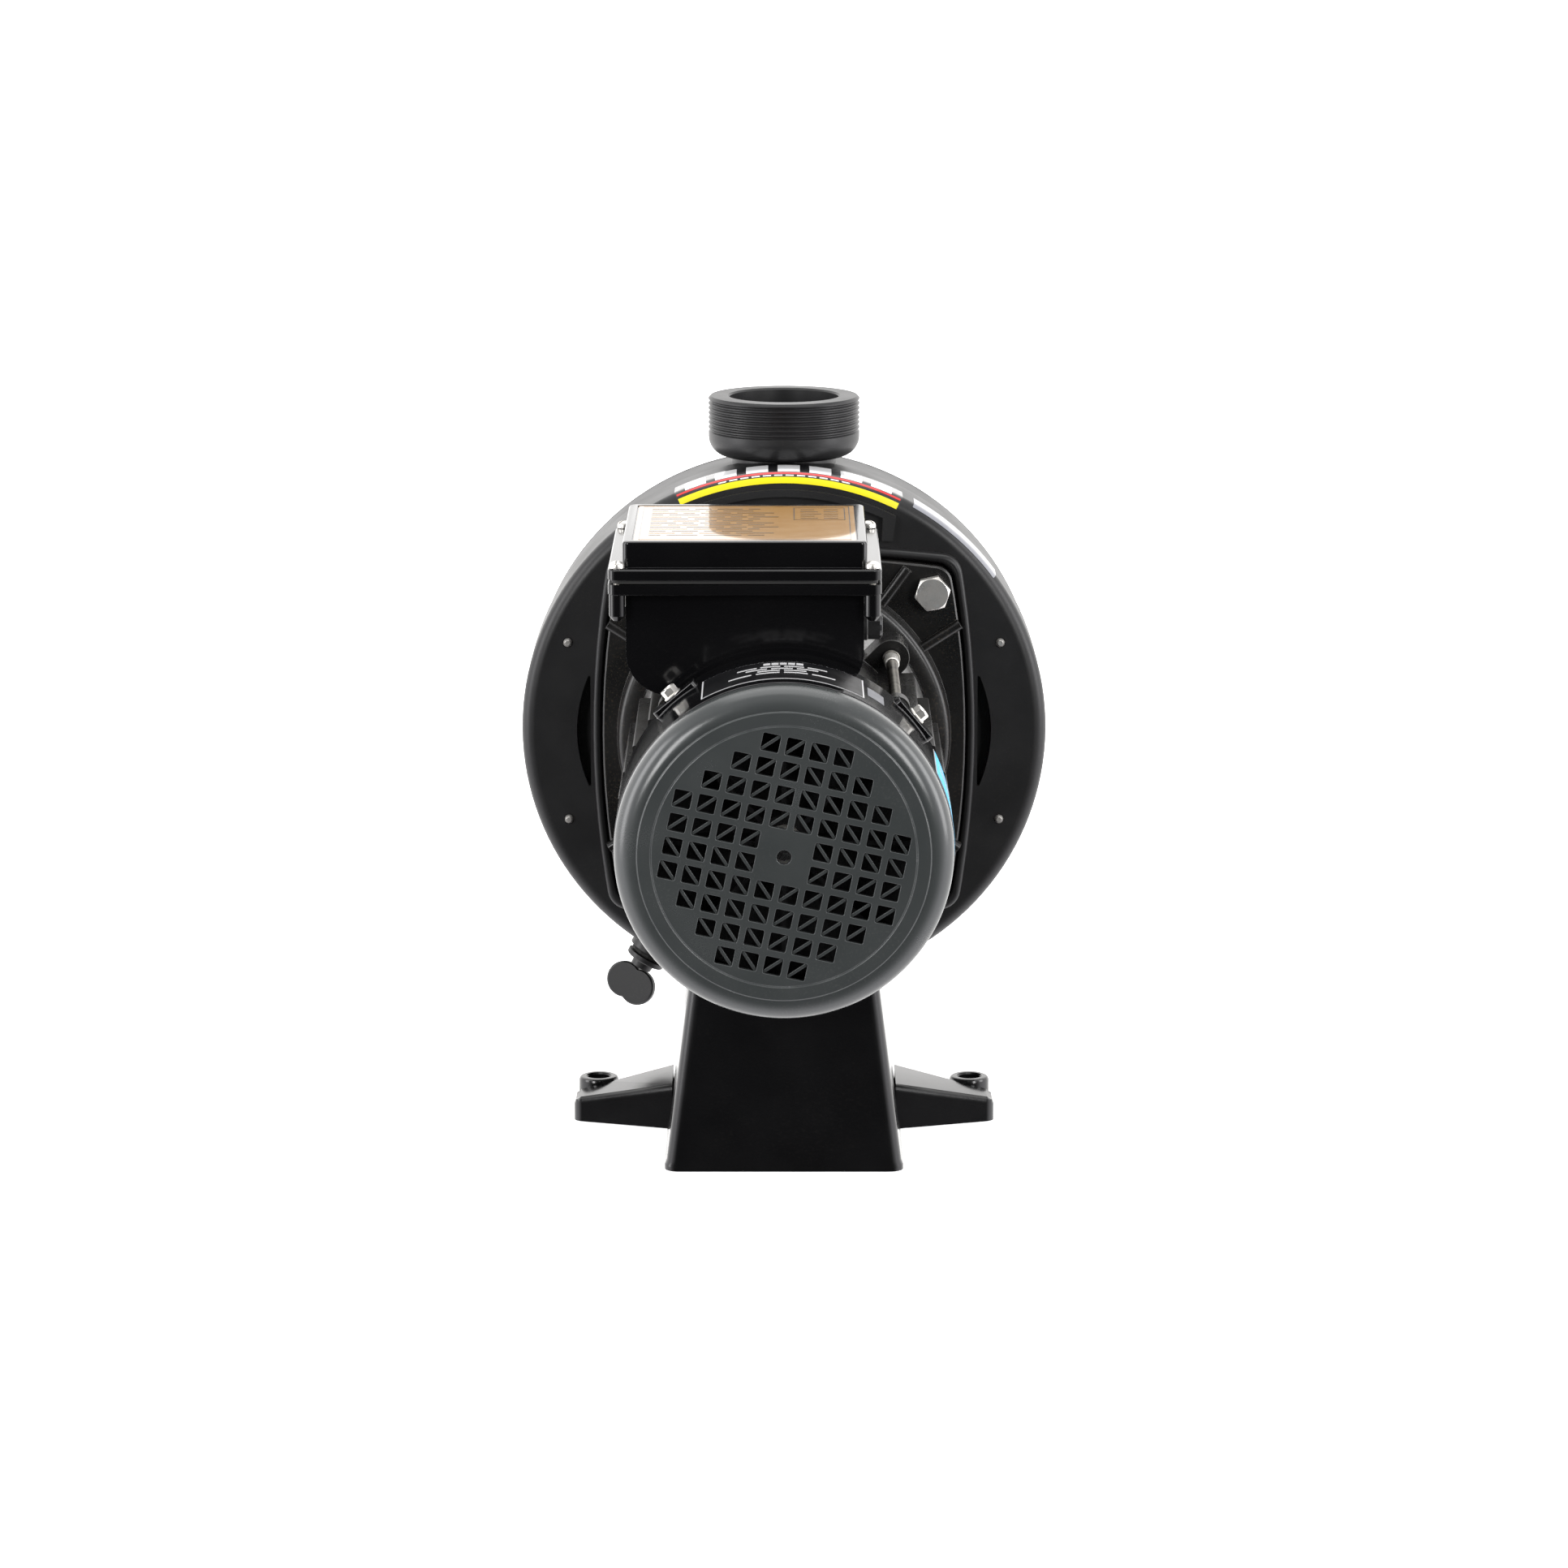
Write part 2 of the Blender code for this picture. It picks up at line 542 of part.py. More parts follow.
def shield(inset=0.0, steps=4):
    """The shield-shaped outline of the bracket seat, moved in by inset."""
    x = SHIELD_CORNER_X - inset
    up = SHIELD_CORNER_UP - inset
    corners = [(-x, -up), (x, -up), (x, up), (-x, up)]
    bulges = [SHIELD_TOP_BULGE, SHIELD_SIDE_BULGE, SHIELD_TOP_BULGE, SHIELD_SIDE_BULGE]
    points = []
    radii = []
    for i, bulge in enumerate(bulges):
        points += bowed_side(corners[i], corners[(i + 1) % 4], bulge, steps)
        radii += [SHIELD_CORNER_ROUND - inset / 2.0] + [0.0] * (steps - 1)
    return rounded(points, radii)


# ------------------------------------------------------------------ solids
def turned(profile, count):
    """A turned solid: profile points are (radius, z); ends on the axis close it by themselves."""
    shape = bmesh.new()
    verts = [shape.verts.new((radius, 0.0, z)) for radius, z in profile]
    pairs = list(zip(verts, verts[1:]))
    if profile[0][0] > 0.0 or profile[-1][0] > 0.0:
        pairs.append((verts[-1], verts[0]))
    edges = [shape.edges.new(pair) for pair in pairs]
    bmesh.ops.spin(shape, geom=verts + edges, cent=(0.0, 0.0, 0.0), axis=(0.0, 0.0, 1.0),
                   angle=2.0 * math.pi, steps=count, use_merge=True)
    bmesh.ops.remove_doubles(shape, verts=shape.verts, dist=SAME_POINT)
    flat_middles = [vert for vert in shape.verts if math.hypot(vert.co.x, vert.co.y) < SAME_POINT]
    bmesh.ops.dissolve_verts(shape, verts=flat_middles)
    return shape


def stack(rings):
    """A closed solid through rings of equal count, each a (outline, z) pair."""
    shape = bmesh.new()
    add_stack(shape, rings)
    return shape


def add_stack(shape, rings, place=Matrix.Identity(4)):
    loops = []
    for outline, z in rings:
        loops.append([shape.verts.new(place @ Matrix.Translation((x, y, z)).translation)
                      for x, y in outline])
    shape.faces.new(loops[0])
    shape.faces.new(loops[-1])
    count = len(loops[0])
    for lower, upper in zip(loops, loops[1:]):
        for i in range(count):
            following = (i + 1) % count
            shape.faces.new((lower[i], lower[following], upper[following], upper[i]))


def prism(outline, low, high):
    return stack([(outline, low), (outline, high)])


def ring_prism(outer, inner, low, high):
    """A ring between two outlines of equal count."""
    shape = bmesh.new()
    loops = []
    for outline, z in ((outer, low), (outer, high), (inner, high), (inner, low)):
        loops.append([shape.verts.new((x, y, z)) for x, y in outline])
    count = len(outer)
    for one, other in zip(loops, loops[1:] + loops[:1]):
        for i in range(count):
            following = (i + 1) % count
            shape.faces.new((one[i], one[following], other[following], other[i]))
    return shape


def pin(head_outline, head_height, radius, length, collar=None):
    """A screw or bolt: head above z = 0, plain shank below it, an optional collar on the shank."""
    shank = circle(radius, len(head_outline))
    rings = [(shank, -length)]
    if collar:
        collar_ring = circle(collar["radius"], len(head_outline))
        rings += [(shank, collar["low"]), (collar_ring, collar["low"]),
                  (collar_ring, collar["high"]), (shank, collar["high"])]
    rings += [(shank, 0.0), (head_outline, 0.0), (head_outline, head_height)]
    return stack(rings)


def into_mesh(name, shape):
    bmesh.ops.recalc_face_normals(shape, faces=shape.faces)
    mesh = bpy.data.meshes.new(name)
    shape.to_mesh(mesh)
    shape.free()
    mesh.shade_smooth()
    mesh.set_sharp_from_angle(angle=math.radians(32.0))
    return mesh


def piece(name, shape, look, place):
    """A sub-part from a bmesh or from a mesh that several pieces share."""
    mesh = shape if isinstance(shape, bpy.types.Mesh) else into_mesh(name, shape)
    if not mesh.materials:
        mesh.materials.append(look)
    made = bpy.data.objects.new(name, mesh)
    made.matrix_world = place
    bpy.context.scene.collection.objects.link(made)
    return made


def tool(name, shape, place):
    """A cutter or an addition for a Boolean; it isn't a piece of the pump itself."""
    made = bpy.data.objects.new("tool_" + name, into_mesh("tool_" + name, shape))
    made.matrix_world = place
    made.hide_render = True
    made.display_type = "WIRE"
    bpy.context.scene.collection.objects.link(made)
    return made


def combine(target, other, operation):
    step = target.modifiers.new(operation.lower() + "_" + other.name, "BOOLEAN")
    step.operation = operation
    step.solver = "EXACT"
    step.object = other


def cut(target, *cutters):
    for cutter in cutters:
        combine(target, cutter, "DIFFERENCE")


def fuse(target, *additions):
    for addition in additions:
        combine(target, addition, "UNION")


def copies(name, shape, look, places):
    """Identical pieces that share one mesh, numbered from 1."""
    mesh = into_mesh(name, shape)
    return [piece(f"{name}_{i + 1}", mesh, look, place) for i, place in enumerate(places)]


def many(outline, low, high, places):
    """One bmesh with a prism at each place, for cutting or adding a pattern in one step."""
    shape = bmesh.new()
    for place in places:
        add_stack(shape, [(outline, low), (outline, high)], place)
    return shape


def four(x, up):
    """The four mirrored positions of a point."""
    return [(x, up), (-x, up), (-x, -up), (x, -up)]


def moved(points):
    return [Matrix.Translation((x, up, 0.0)) for x, up in points]


# ------------------------------------------------------------------ casing
PORT_AXIS = radial(0.0, -DISCHARGE_SETBACK)
DRAIN_AXIS = radial(DRAIN_ANGLE, -DRAIN_SETBACK)
DRAIN_SEAT = CASING_RADIUS + DRAIN_BOSS_REACH
SCREW_SPOTS = moved(four(*clock_point(CASING_SCREW_CIRCLE, CASING_SCREW_ANGLE)))
BOLT_SPOTS = moved(four(BOLT_X, BOLT_UP))


def eyebrow():
    """Curved rib over the bracket, with a short leg hanging from each end."""
    outer = EYEBROW_INNER_RADIUS + EYEBROW_WIDTH
    left_end = clock_point(EYEBROW_INNER_RADIUS, -EYEBROW_HALF_ANGLE)
    right_end = clock_point(EYEBROW_INNER_RADIUS, EYEBROW_HALF_ANGLE)
    leg_bottom = right_end[1] - EYEBROW_LEG_DROP
    first = 90.0 + EYEBROW_HALF_ANGLE
    last = 90.0 - EYEBROW_HALF_ANGLE
    inner_first = first - math.degrees(EYEBROW_LEG_WIDTH / EYEBROW_INNER_RADIUS)
    inner_last = last + math.degrees(EYEBROW_LEG_WIDTH / EYEBROW_INNER_RADIUS)
    outline = arc((0.0, 0.0), outer, first, last, LONG_ARC_STEPS)
    outline += [(right_end[0], leg_bottom), (right_end[0] - EYEBROW_LEG_WIDTH, leg_bottom)]
    outline += arc((0.0, 0.0), EYEBROW_INNER_RADIUS, inner_last, inner_first, LONG_ARC_STEPS)
    outline += [(left_end[0] + EYEBROW_LEG_WIDTH, leg_bottom), (left_end[0], leg_bottom)]
    return prism(outline, -NUDGE, EYEBROW_HEIGHT)


def lens(side, widen):
    """Lens-shaped pocket beside the bracket: straight inside, bowed outside."""
    half = SLOT_HALF_LENGTH + widen
    inner = SLOT_INNER_X - widen
    bulge = SLOT_BULGE + 2.0 * widen - SLOT_END_WIDTH
    outline = [(side * inner, -half)]
    for i in range(LUG_STEPS + 1):
        share = 2.0 * i / LUG_STEPS - 1.0
        across = inner + SLOT_END_WIDTH + bulge * (1.0 - share ** 2)
        outline.append((side * across, half * share))
    outline.append((side * inner, half))
    return outline


def discharge_port():
    """The upright port, turned about its own axis; z is the height above the shaft axis."""
    top = DISCHARGE_HEIGHT
    band_bottom = CASING_RADIUS + PORT_ROUND_LIFT
    root = CASING_RADIUS - PORT_ROOT_SINK
    profile = [(0.0, root), (NECK_RADIUS, root), (NECK_RADIUS, band_bottom)]
    profile += arc((PORT_RADIUS - PORT_ROUND, band_bottom + PORT_ROUND), PORT_ROUND, -90.0, 0.0)
    profile += [(PORT_RADIUS, top - PORT_CHAMFER), (PORT_RADIUS - PORT_CHAMFER, top), (0.0, top)]
    return turned(profile, ROUND_MEDIUM)


def port_bore(top, depth, bottom):
    profile = [(0.0, bottom), (PORT_DUCT_RADIUS, bottom), (PORT_DUCT_RADIUS, top - depth),
               (PORT_BORE_RADIUS, top - depth), (PORT_BORE_RADIUS, top + PAST), (0.0, top + PAST)]
    return turned(profile, ROUND_MEDIUM)


def make_casing_rear():
    profile = [(BACK_OPENING_RADIUS, 0.0)]
    profile += arc((CASING_RADIUS - BACK_EDGE, -BACK_EDGE), BACK_EDGE, 90.0, 0.0)
    profile += [(CASING_RADIUS, -BAND_DEPTH), (COVER_RADIUS, -BAND_DEPTH - BAND_STEP),
                (COVER_RADIUS, PARTING), (INNER_RADIUS, PARTING)]
    profile += arc((INNER_RADIUS - BACK_EDGE, -CASING_WALL - BACK_EDGE), BACK_EDGE, 0.0, 90.0)
    profile += [(BACK_OPENING_RADIUS, -CASING_WALL)]
    rear = piece("casing_rear", turned(profile, ROUND_LARGE), SATIN_BLACK, along())

    ridge = ring_prism(shield(), shield(RIDGE_WIDTH), -NUDGE, RIDGE_HEIGHT)
    column = circle(COLUMN_RADIUS, ROUND_SCREW)
    bolt_column = circle(BOLT_COLUMN_RADIUS, ROUND_SCREW)
    wall_root = -CASING_WALL + NUDGE
    screw_columns = many(column, PARTING + SPIGOT_LENGTH + GAP, wall_root, SCREW_SPOTS)
    bolt_columns = many(bolt_column, -CASING_WALL - BOLT_COLUMN_DEPTH, wall_root, BOLT_SPOTS)
    drain_boss = prism(circle(DRAIN_BOSS_RADIUS, ROUND_SMALL), INNER_RADIUS - NUDGE, DRAIN_SEAT)
    fuse(rear,
         tool("bracket_ridge", ridge, along()),
         tool("eyebrow", eyebrow(), along()),
         tool("screw_columns", screw_columns, along()),
         tool("bolt_columns", bolt_columns, along()),
         tool("port", discharge_port(), PORT_AXIS),
         tool("drain_boss", drain_boss, DRAIN_AXIS))
    for side, word in ((1.0, "right"), (-1.0, "left")):
        pad = prism(lens(side, SLOT_WALL), -SLOT_DEPTH - SLOT_WALL, wall_root)
        fuse(rear, tool("pocket_back_" + word, pad, along()))
        cut(rear, tool("pocket_" + word, prism(lens(side, 0.0), -SLOT_DEPTH, PAST), along()))

    screw_hole = circle(CASING_SCREW_RADIUS + HOLE_CLEARANCE, ROUND_SCREW)
    bolt_hole = circle(BOLT_RADIUS + HOLE_CLEARANCE, ROUND_BOLT)
    drain_hole = circle(DRAIN_SHANK_RADIUS + HOLE_CLEARANCE, ROUND_SMALL)
    bore = port_bore(DISCHARGE_HEIGHT, PORT_SOCKET_DEPTH, INNER_RADIUS - PORT_BORE_REACH)
    cut(rear,
        tool("screw_holes", many(screw_hole, PARTING, PAST, SCREW_SPOTS), along()),
        tool("bolt_holes", many(bolt_hole, -BOLT_REACH - GAP, PAST, BOLT_SPOTS), along()),
        tool("port_bore", bore, PORT_AXIS),
        tool("drain_bore", prism(drain_hole, INNER_RADIUS - CASING_WALL, DRAIN_SEAT + PAST), DRAIN_AXIS))


def make_casing_front():
    """Front cover: drum, locating spigot with its O-ring groove, suction port and eye tube."""
    joint = PARTING - GAP
    front = -CASING_DEPTH
    inside = front + CASING_WALL
    port_end = front - SUCTION_REACH
    socket_end = port_end + PORT_SOCKET_DEPTH
    tube_end = HUB_END - EYE_TUBE_CLEARANCE
    spigot_radius = INNER_RADIUS - HOLE_CLEARANCE
    spigot_inner = spigot_radius - SPIGOT_WALL
    spigot_end = PARTING + SPIGOT_LENGTH
    groove_middle = (spigot_end + joint) / 2.0
    groove_half = ORING_RADIUS + GAP
    groove_floor = spigot_radius - 2.0 * ORING_RADIUS - GAP
    tube_outer = EYE_TUBE_RADIUS + EYE_TUBE_WALL
    profile = [(COVER_RADIUS, joint)]
    profile += arc((COVER_RADIUS - BACK_EDGE, front + BACK_EDGE), BACK_EDGE, 0.0, -90.0)
    profile += [(PORT_RADIUS, front), (PORT_RADIUS, port_end), (PORT_BORE_RADIUS, port_end),
                (PORT_BORE_RADIUS, socket_end), (EYE_TUBE_RADIUS, socket_end),
                (EYE_TUBE_RADIUS, tube_end), (tube_outer, tube_end), (tube_outer, inside),
                (spigot_inner, inside), (spigot_inner, spigot_end), (spigot_radius, spigot_end),
                (spigot_radius, groove_middle + groove_half), (groove_floor, groove_middle + groove_half),
                (groove_floor, groove_middle - groove_half), (spigot_radius, groove_middle - groove_half),
                (spigot_radius, joint)]
    cover = piece("casing_front", turned(profile, ROUND_LARGE), SATIN_BLACK, along())
    column = circle(COLUMN_RADIUS, ROUND_SCREW)
    hole = circle(CASING_SCREW_RADIUS + HOLE_CLEARANCE, ROUND_SCREW)
    columns = many(column, inside - NUDGE, spigot_end, SCREW_SPOTS)
    holes = many(hole, front - PAST, spigot_end + PAST, SCREW_SPOTS)
    fuse(cover, tool("cover_columns", columns, along()))
    cut(cover, tool("cover_screw_holes", holes, along()))

    ring_centre = (spigot_radius - ORING_RADIUS, groove_middle)
    section = circle(ORING_RADIUS, ORING_SIDES, ring_centre)
    piece("casing_oring", turned(section, ROUND_LARGE), RUBBER, along())

    head = circle(CASING_SCREW_HEAD_RADIUS, ROUND_SCREW)
    length = CASING_DEPTH + GAP + CASING_SCREW_TIP
    flipped = Matrix.Rotation(math.pi, 4, "Y")
    places = [along(front - GAP) @ spot @ flipped for spot in SCREW_SPOTS]
    screw = pin(head, CASING_SCREW_HEAD_HEIGHT, CASING_SCREW_RADIUS, length)
    copies("casing_screw", screw, BRIGHT_STEEL, places)


def make_drain():
    """Wing plug and its O-ring, on the drain's own axis; z is the distance from the shaft axis."""
    ring_middle = DRAIN_SEAT + GAP + DRAIN_ORING_RADIUS
    ring_centre = (DRAIN_SHANK_RADIUS + HOLE_CLEARANCE + DRAIN_ORING_RADIUS, ring_middle)
    section = circle(DRAIN_ORING_RADIUS, ORING_SIDES, ring_centre)
    piece("drain_oring", turned(section, ROUND_SMALL), RUBBER, DRAIN_AXIS)

    collar = ring_middle + DRAIN_ORING_RADIUS + GAP
    collar_top = collar + DRAIN_COLLAR_HEIGHT
    stem_top = collar_top + DRAIN_STEM_LENGTH
    profile = [(0.0, collar - DRAIN_SHANK_LENGTH), (DRAIN_SHANK_RADIUS, collar - DRAIN_SHANK_LENGTH),
               (DRAIN_SHANK_RADIUS, collar), (DRAIN_COLLAR_RADIUS, collar),
               (DRAIN_COLLAR_RADIUS, collar_top), (DRAIN_STEM_RADIUS, collar_top),
               (DRAIN_STEM_RADIUS, stem_top), (0.0, stem_top)]
    plug = piece("drain_plug", turned(profile, ROUND_SMALL), SATIN_BLACK, DRAIN_AXIS)
    half = DRAIN_WING_WIDTH / 2.0
    top = stem_top + DRAIN_WING_HEIGHT
    corners = [(-half, stem_top - NUDGE), (half, stem_top - NUDGE), (half, top), (-half, top)]
    radii = [DRAIN_WING_FOOT_ROUND, DRAIN_WING_FOOT_ROUND, DRAIN_WING_TIP_ROUND, DRAIN_WING_TIP_ROUND]
    outline = rounded(corners, radii, 2 * ARC_STEPS)
    wing_blade = prism(outline, -DRAIN_WING_THICKNESS / 2.0, DRAIN_WING_THICKNESS / 2.0)
    turned_wing = Matrix.Rotation(math.radians(DRAIN_WING_TURN), 4, "Z")
    stood_up = Matrix.Rotation(math.radians(90.0), 4, "X")
    fuse(plug, tool("drain_wing", wing_blade, DRAIN_AXIS @ turned_wing @ stood_up))


# ------------------------------------------------------------------ bracket and adapter
def make_bracket():
    """Shield-shaped bracket inside the casing's ridge, its ring wall, ribs and bolts."""
    outline = shield(RIDGE_WIDTH + BRACKET_CLEARANCE)
    bracket = piece("motor_bracket", prism(outline, GAP, BRACKET_FACE), CAST_BLACK, along())
    ring_outer = BRACKET_RING_INNER + BRACKET_RING_WIDTH
    low = BRACKET_FACE - NUDGE
    high = BRACKET_FACE + BRACKET_RING_HEIGHT
    ring = turned([(BRACKET_RING_INNER, low), (ring_outer + BRACKET_RING_FOOT, low),
                   (ring_outer, high - BRACKET_RING_BEVEL), (ring_outer - BRACKET_RING_BEVEL, high),
                   (BRACKET_RING_INNER, high)], ROUND_LARGE)
    rib = rectangle(-BRACKET_RIB_WIDTH / 2.0, BRACKET_RIB_WIDTH / 2.0,
                    ring_outer - BRACKET_RING_BEVEL, ring_outer + BRACKET_RIB_LENGTH)
    spots = []
    for quarter in (0.0, 180.0):
        for angle in BRACKET_RIB_ANGLES:
            for sign in (1.0, -1.0):
                spots.append(Matrix.Rotation(math.radians(quarter + sign * angle), 4, "Z"))
    fuse(bracket, tool("bracket_ring", ring, along()),
         tool("bracket_ribs", many(rib, low, low + BRACKET_RIB_HEIGHT, spots), along()))
    through = BRACKET_FACE + PAST
    opening = prism(circle(BRACKET_OPENING_RADIUS, ROUND_MEDIUM), -PAST, through)
    hole = circle(BOLT_RADIUS + HOLE_CLEARANCE, ROUND_BOLT)
    cut(bracket, tool("bracket_opening", opening, along()),
        tool("bracket_bolt_holes", many(hole, -PAST, through, BOLT_SPOTS), along()))

    length = BRACKET_FACE + GAP + BOLT_REACH
    bolt = pin(hexagon(BOLT_HEAD_ACROSS), BOLT_HEAD_HEIGHT, BOLT_RADIUS, length)
    copies("bracket_bolt", bolt, BRIGHT_STEEL, [along(BRACKET_FACE + GAP) @ spot for spot in BOLT_SPOTS])

    start = BRACKET_FACE + GAP
    neck_end = ADAPTER_FACE + ADAPTER_NECK_LENGTH
    rim = BRACKET_RING_INNER - GAP
    profile = [(BRACKET_OPENING_RADIUS, start), (rim, start), (rim, ADAPTER_FACE),
               (ADAPTER_NECK_RADIUS, ADAPTER_FACE), (ADAPTER_NECK_RADIUS, neck_end),
               (BRACKET_OPENING_RADIUS, neck_end)]
    piece("motor_adapter", turned(profile, ROUND_LARGE), PLAIN_ALUMINIUM, along())


# ------------------------------------------------------------------ wet end
def make_seal():
    """Seal plate in the casing's back, with the fixed seat, the turning head and its spring."""
    spigot = BACK_OPENING_RADIUS - GAP
    flange = BACK_OPENING_RADIUS + SEAL_PLATE_FLANGE
    lap = -CASING_WALL - GAP
    pocket = SEAL_SEAT_OUTER + GAP
    pocket_end = SEAT_END + SEAL_SEAT_STANDOUT
    hub = pocket + SEAL_POCKET_WALL
    bore = SHAFT_SEAL_RADIUS + SEAL_BORE_CLEARANCE
    profile = [(bore, 0.0), (spigot, 0.0), (spigot, lap), (flange, lap), (flange, SEAL_PLATE_BACK),
               (hub, SEAL_PLATE_BACK), (hub, pocket_end), (pocket, pocket_end),
               (pocket, SEAT_START + GAP), (bore, SEAT_START + GAP)]
    piece("seal_plate", turned(profile, ROUND_LARGE), SATIN_BLACK, along())
    piece("seal_seat", turned([(SEAL_SEAT_INNER, SEAT_START), (SEAL_SEAT_OUTER, SEAT_START),
                               (SEAL_SEAT_OUTER, SEAT_END), (SEAL_SEAT_INNER, SEAT_END)], ROUND_SMALL),
          CERAMIC, along())
    head_bore = SHAFT_SEAL_RADIUS + GAP
    head = turned([(head_bore, HEAD_START), (SEAL_HEAD_OUTER - SEAL_HEAD_CHAMFER, HEAD_START),
                   (SEAL_HEAD_OUTER, HEAD_START - SEAL_HEAD_CHAMFER), (SEAL_HEAD_OUTER, HEAD_END),
                   (head_bore, HEAD_END)], ROUND_SMALL)
    piece("seal_head", head, CARBON, along())

    make_seal_spring()


def make_seal_spring():
    """Coil spring behind the turning seal head."""
    shape = bmesh.new()
    loops = []
    steps = SEAL_SPRING_TURNS * SEAL_SPRING_STEPS
    wire = circle(SEAL_SPRING_WIRE, SEAL_SPRING_SIDES, (SEAL_SPRING_RADIUS, 0.0))
    rise = SEAL_SPRING_LENGTH - 2.0 * SEAL_SPRING_WIRE - 2.0 * GAP
    for i in range(steps + 1):
        turn = Matrix.Rotation(2.0 * math.pi * i / SEAL_SPRING_STEPS, 4, "Z")
        height = SPRING_END + SEAL_SPRING_WIRE + GAP + rise * i / steps
        section = [turn @ Matrix.Translation((x, 0.0, height + z)).translation for x, z in wire]
        loops.append([shape.verts.new(point) for point in section])
    shape.faces.new(loops[0])
    shape.faces.new(loops[-1])
    for one, other in zip(loops, loops[1:]):
        for i in range(SEAL_SPRING_SIDES):
            following = (i + 1) % SEAL_SPRING_SIDES
            shape.faces.new((one[i], one[following], other[following], other[i]))
    piece("seal_spring", shape, BRIGHT_STEEL, along())


def vane(inner, outer, sweep, thickness, steps=3):
    """A curved vane: its middle line leans back by sweep degrees from inner to outer radius."""
    left = []
    right = []
    for i in range(steps + 1):
        radius = inner + (outer - inner) * i / steps
        angle = math.radians(sweep) * i / steps
        half = thickness / 2.0 / radius
        left.append((radius * math.cos(angle - half), radius * math.sin(angle - half)))
        right.append((radius * math.cos(angle + half), radius * math.sin(angle + half)))
    return left + right[::-1]


def around_axis(count):
    return [Matrix.Rotation(2.0 * math.pi * i / count, 4, "Z") for i in range(count)]


def make_impeller():
    """Closed impeller on its hub, the nut in its eye, and the diffuser round it."""
    back = HUB_START - IMPELLER_BACK_STEP
    channel_start = back - IMPELLER_SHROUD
    channel_end = channel_start - IMPELLER_CHANNEL
    front = channel_end - IMPELLER_SHROUD
    bore = SHAFT_IMPELLER_RADIUS + GAP
    hub = turned([(bore, HUB_START), (IMPELLER_HUB_RADIUS, HUB_START), (IMPELLER_HUB_RADIUS, back),
                  (IMPELLER_RADIUS, back), (IMPELLER_RADIUS, channel_start),
                  (IMPELLER_HUB_RADIUS + IMPELLER_HUB_TAPER, channel_start),
                  (IMPELLER_HUB_RADIUS - IMPELLER_HUB_TAPER, HUB_END), (bore, HUB_END)], ROUND_MEDIUM)
    impeller = piece("impeller", hub, GREY_PLASTIC, along())
    eye_outer = IMPELLER_EYE_RADIUS + IMPELLER_EYE_WALL
    lip = front - IMPELLER_EYE_LIP
    shroud = turned([(IMPELLER_EYE_RADIUS, channel_end), (IMPELLER_RADIUS, channel_end),
                     (IMPELLER_RADIUS, front), (eye_outer, front), (eye_outer, lip),
                     (IMPELLER_EYE_RADIUS, lip)], ROUND_MEDIUM)
    blade = vane(IMPELLER_EYE_RADIUS - IMPELLER_EYE_WALL, IMPELLER_RADIUS - VANE_INSET, IMPELLER_SWEEP,
                 VANE_THICKNESS)
    blades = many(blade, channel_end - NUDGE, channel_start + NUDGE, around_axis(IMPELLER_VANES))
    fuse(impeller, tool("impeller_vanes", blades, along()), tool("impeller_shroud", shroud, along()))

    nut_end = HUB_END - IMPELLER_NUT_LENGTH
    nut = turned([(SHAFT_THREAD_RADIUS + GAP, HUB_END - GAP), (IMPELLER_NUT_RADIUS, HUB_END - GAP),
                  (IMPELLER_NUT_RADIUS, nut_end + IMPELLER_NUT_BEVEL),
                  (IMPELLER_NUT_RADIUS - IMPELLER_NUT_BEVEL, nut_end),
                  (SHAFT_THREAD_RADIUS + GAP, nut_end)], ROUND_SMALL)
    piece("impeller_nut", nut, BRIGHT_STEEL, along())

    plate_start = front - DIFFUSER_SPACING
    vane_start = IMPELLER_RADIUS + DIFFUSER_CLEARANCE
    plate_end = plate_start - DIFFUSER_PLATE
    plate_bore = EYE_TUBE_RADIUS + EYE_TUBE_WALL + DIFFUSER_CLEARANCE
    skirt = plate_bore + DIFFUSER_PLATE
    seat = -CASING_DEPTH + CASING_WALL + GAP
    plate = turned([(plate_bore, plate_start), (DIFFUSER_RADIUS, plate_start), (DIFFUSER_RADIUS, plate_end),
                    (skirt, plate_end), (skirt, seat), (plate_bore, seat)], ROUND_MEDIUM)
    diffuser = piece("diffuser", plate, GREY_PLASTIC, along())
    guide = vane(vane_start, DIFFUSER_RADIUS - DIFFUSER_RIM, DIFFUSER_SWEEP, VANE_THICKNESS)
    guides = many(guide, plate_start - NUDGE, channel_start, around_axis(DIFFUSER_VANES))
    fuse(diffuser, tool("diffuser_vanes", guides, along()))


# ------------------------------------------------------------------ motor
def lug(reach, half_width, root):
    """Outline of a lug that points along +y and ends in a half round."""
    tip = arc((0.0, reach), half_width, 0.0, 180.0, LUG_STEPS)
    return [(half_width, root)] + tip + [(-half_width, root)]


def rod_spots():
    return [Matrix.Rotation(math.radians(-angle), 4, "Z") for angle in ROD_ANGLES]


def rod_places():
    return moved([clock_point(ROD_CIRCLE_RADIUS, angle) for angle in ROD_ANGLES])


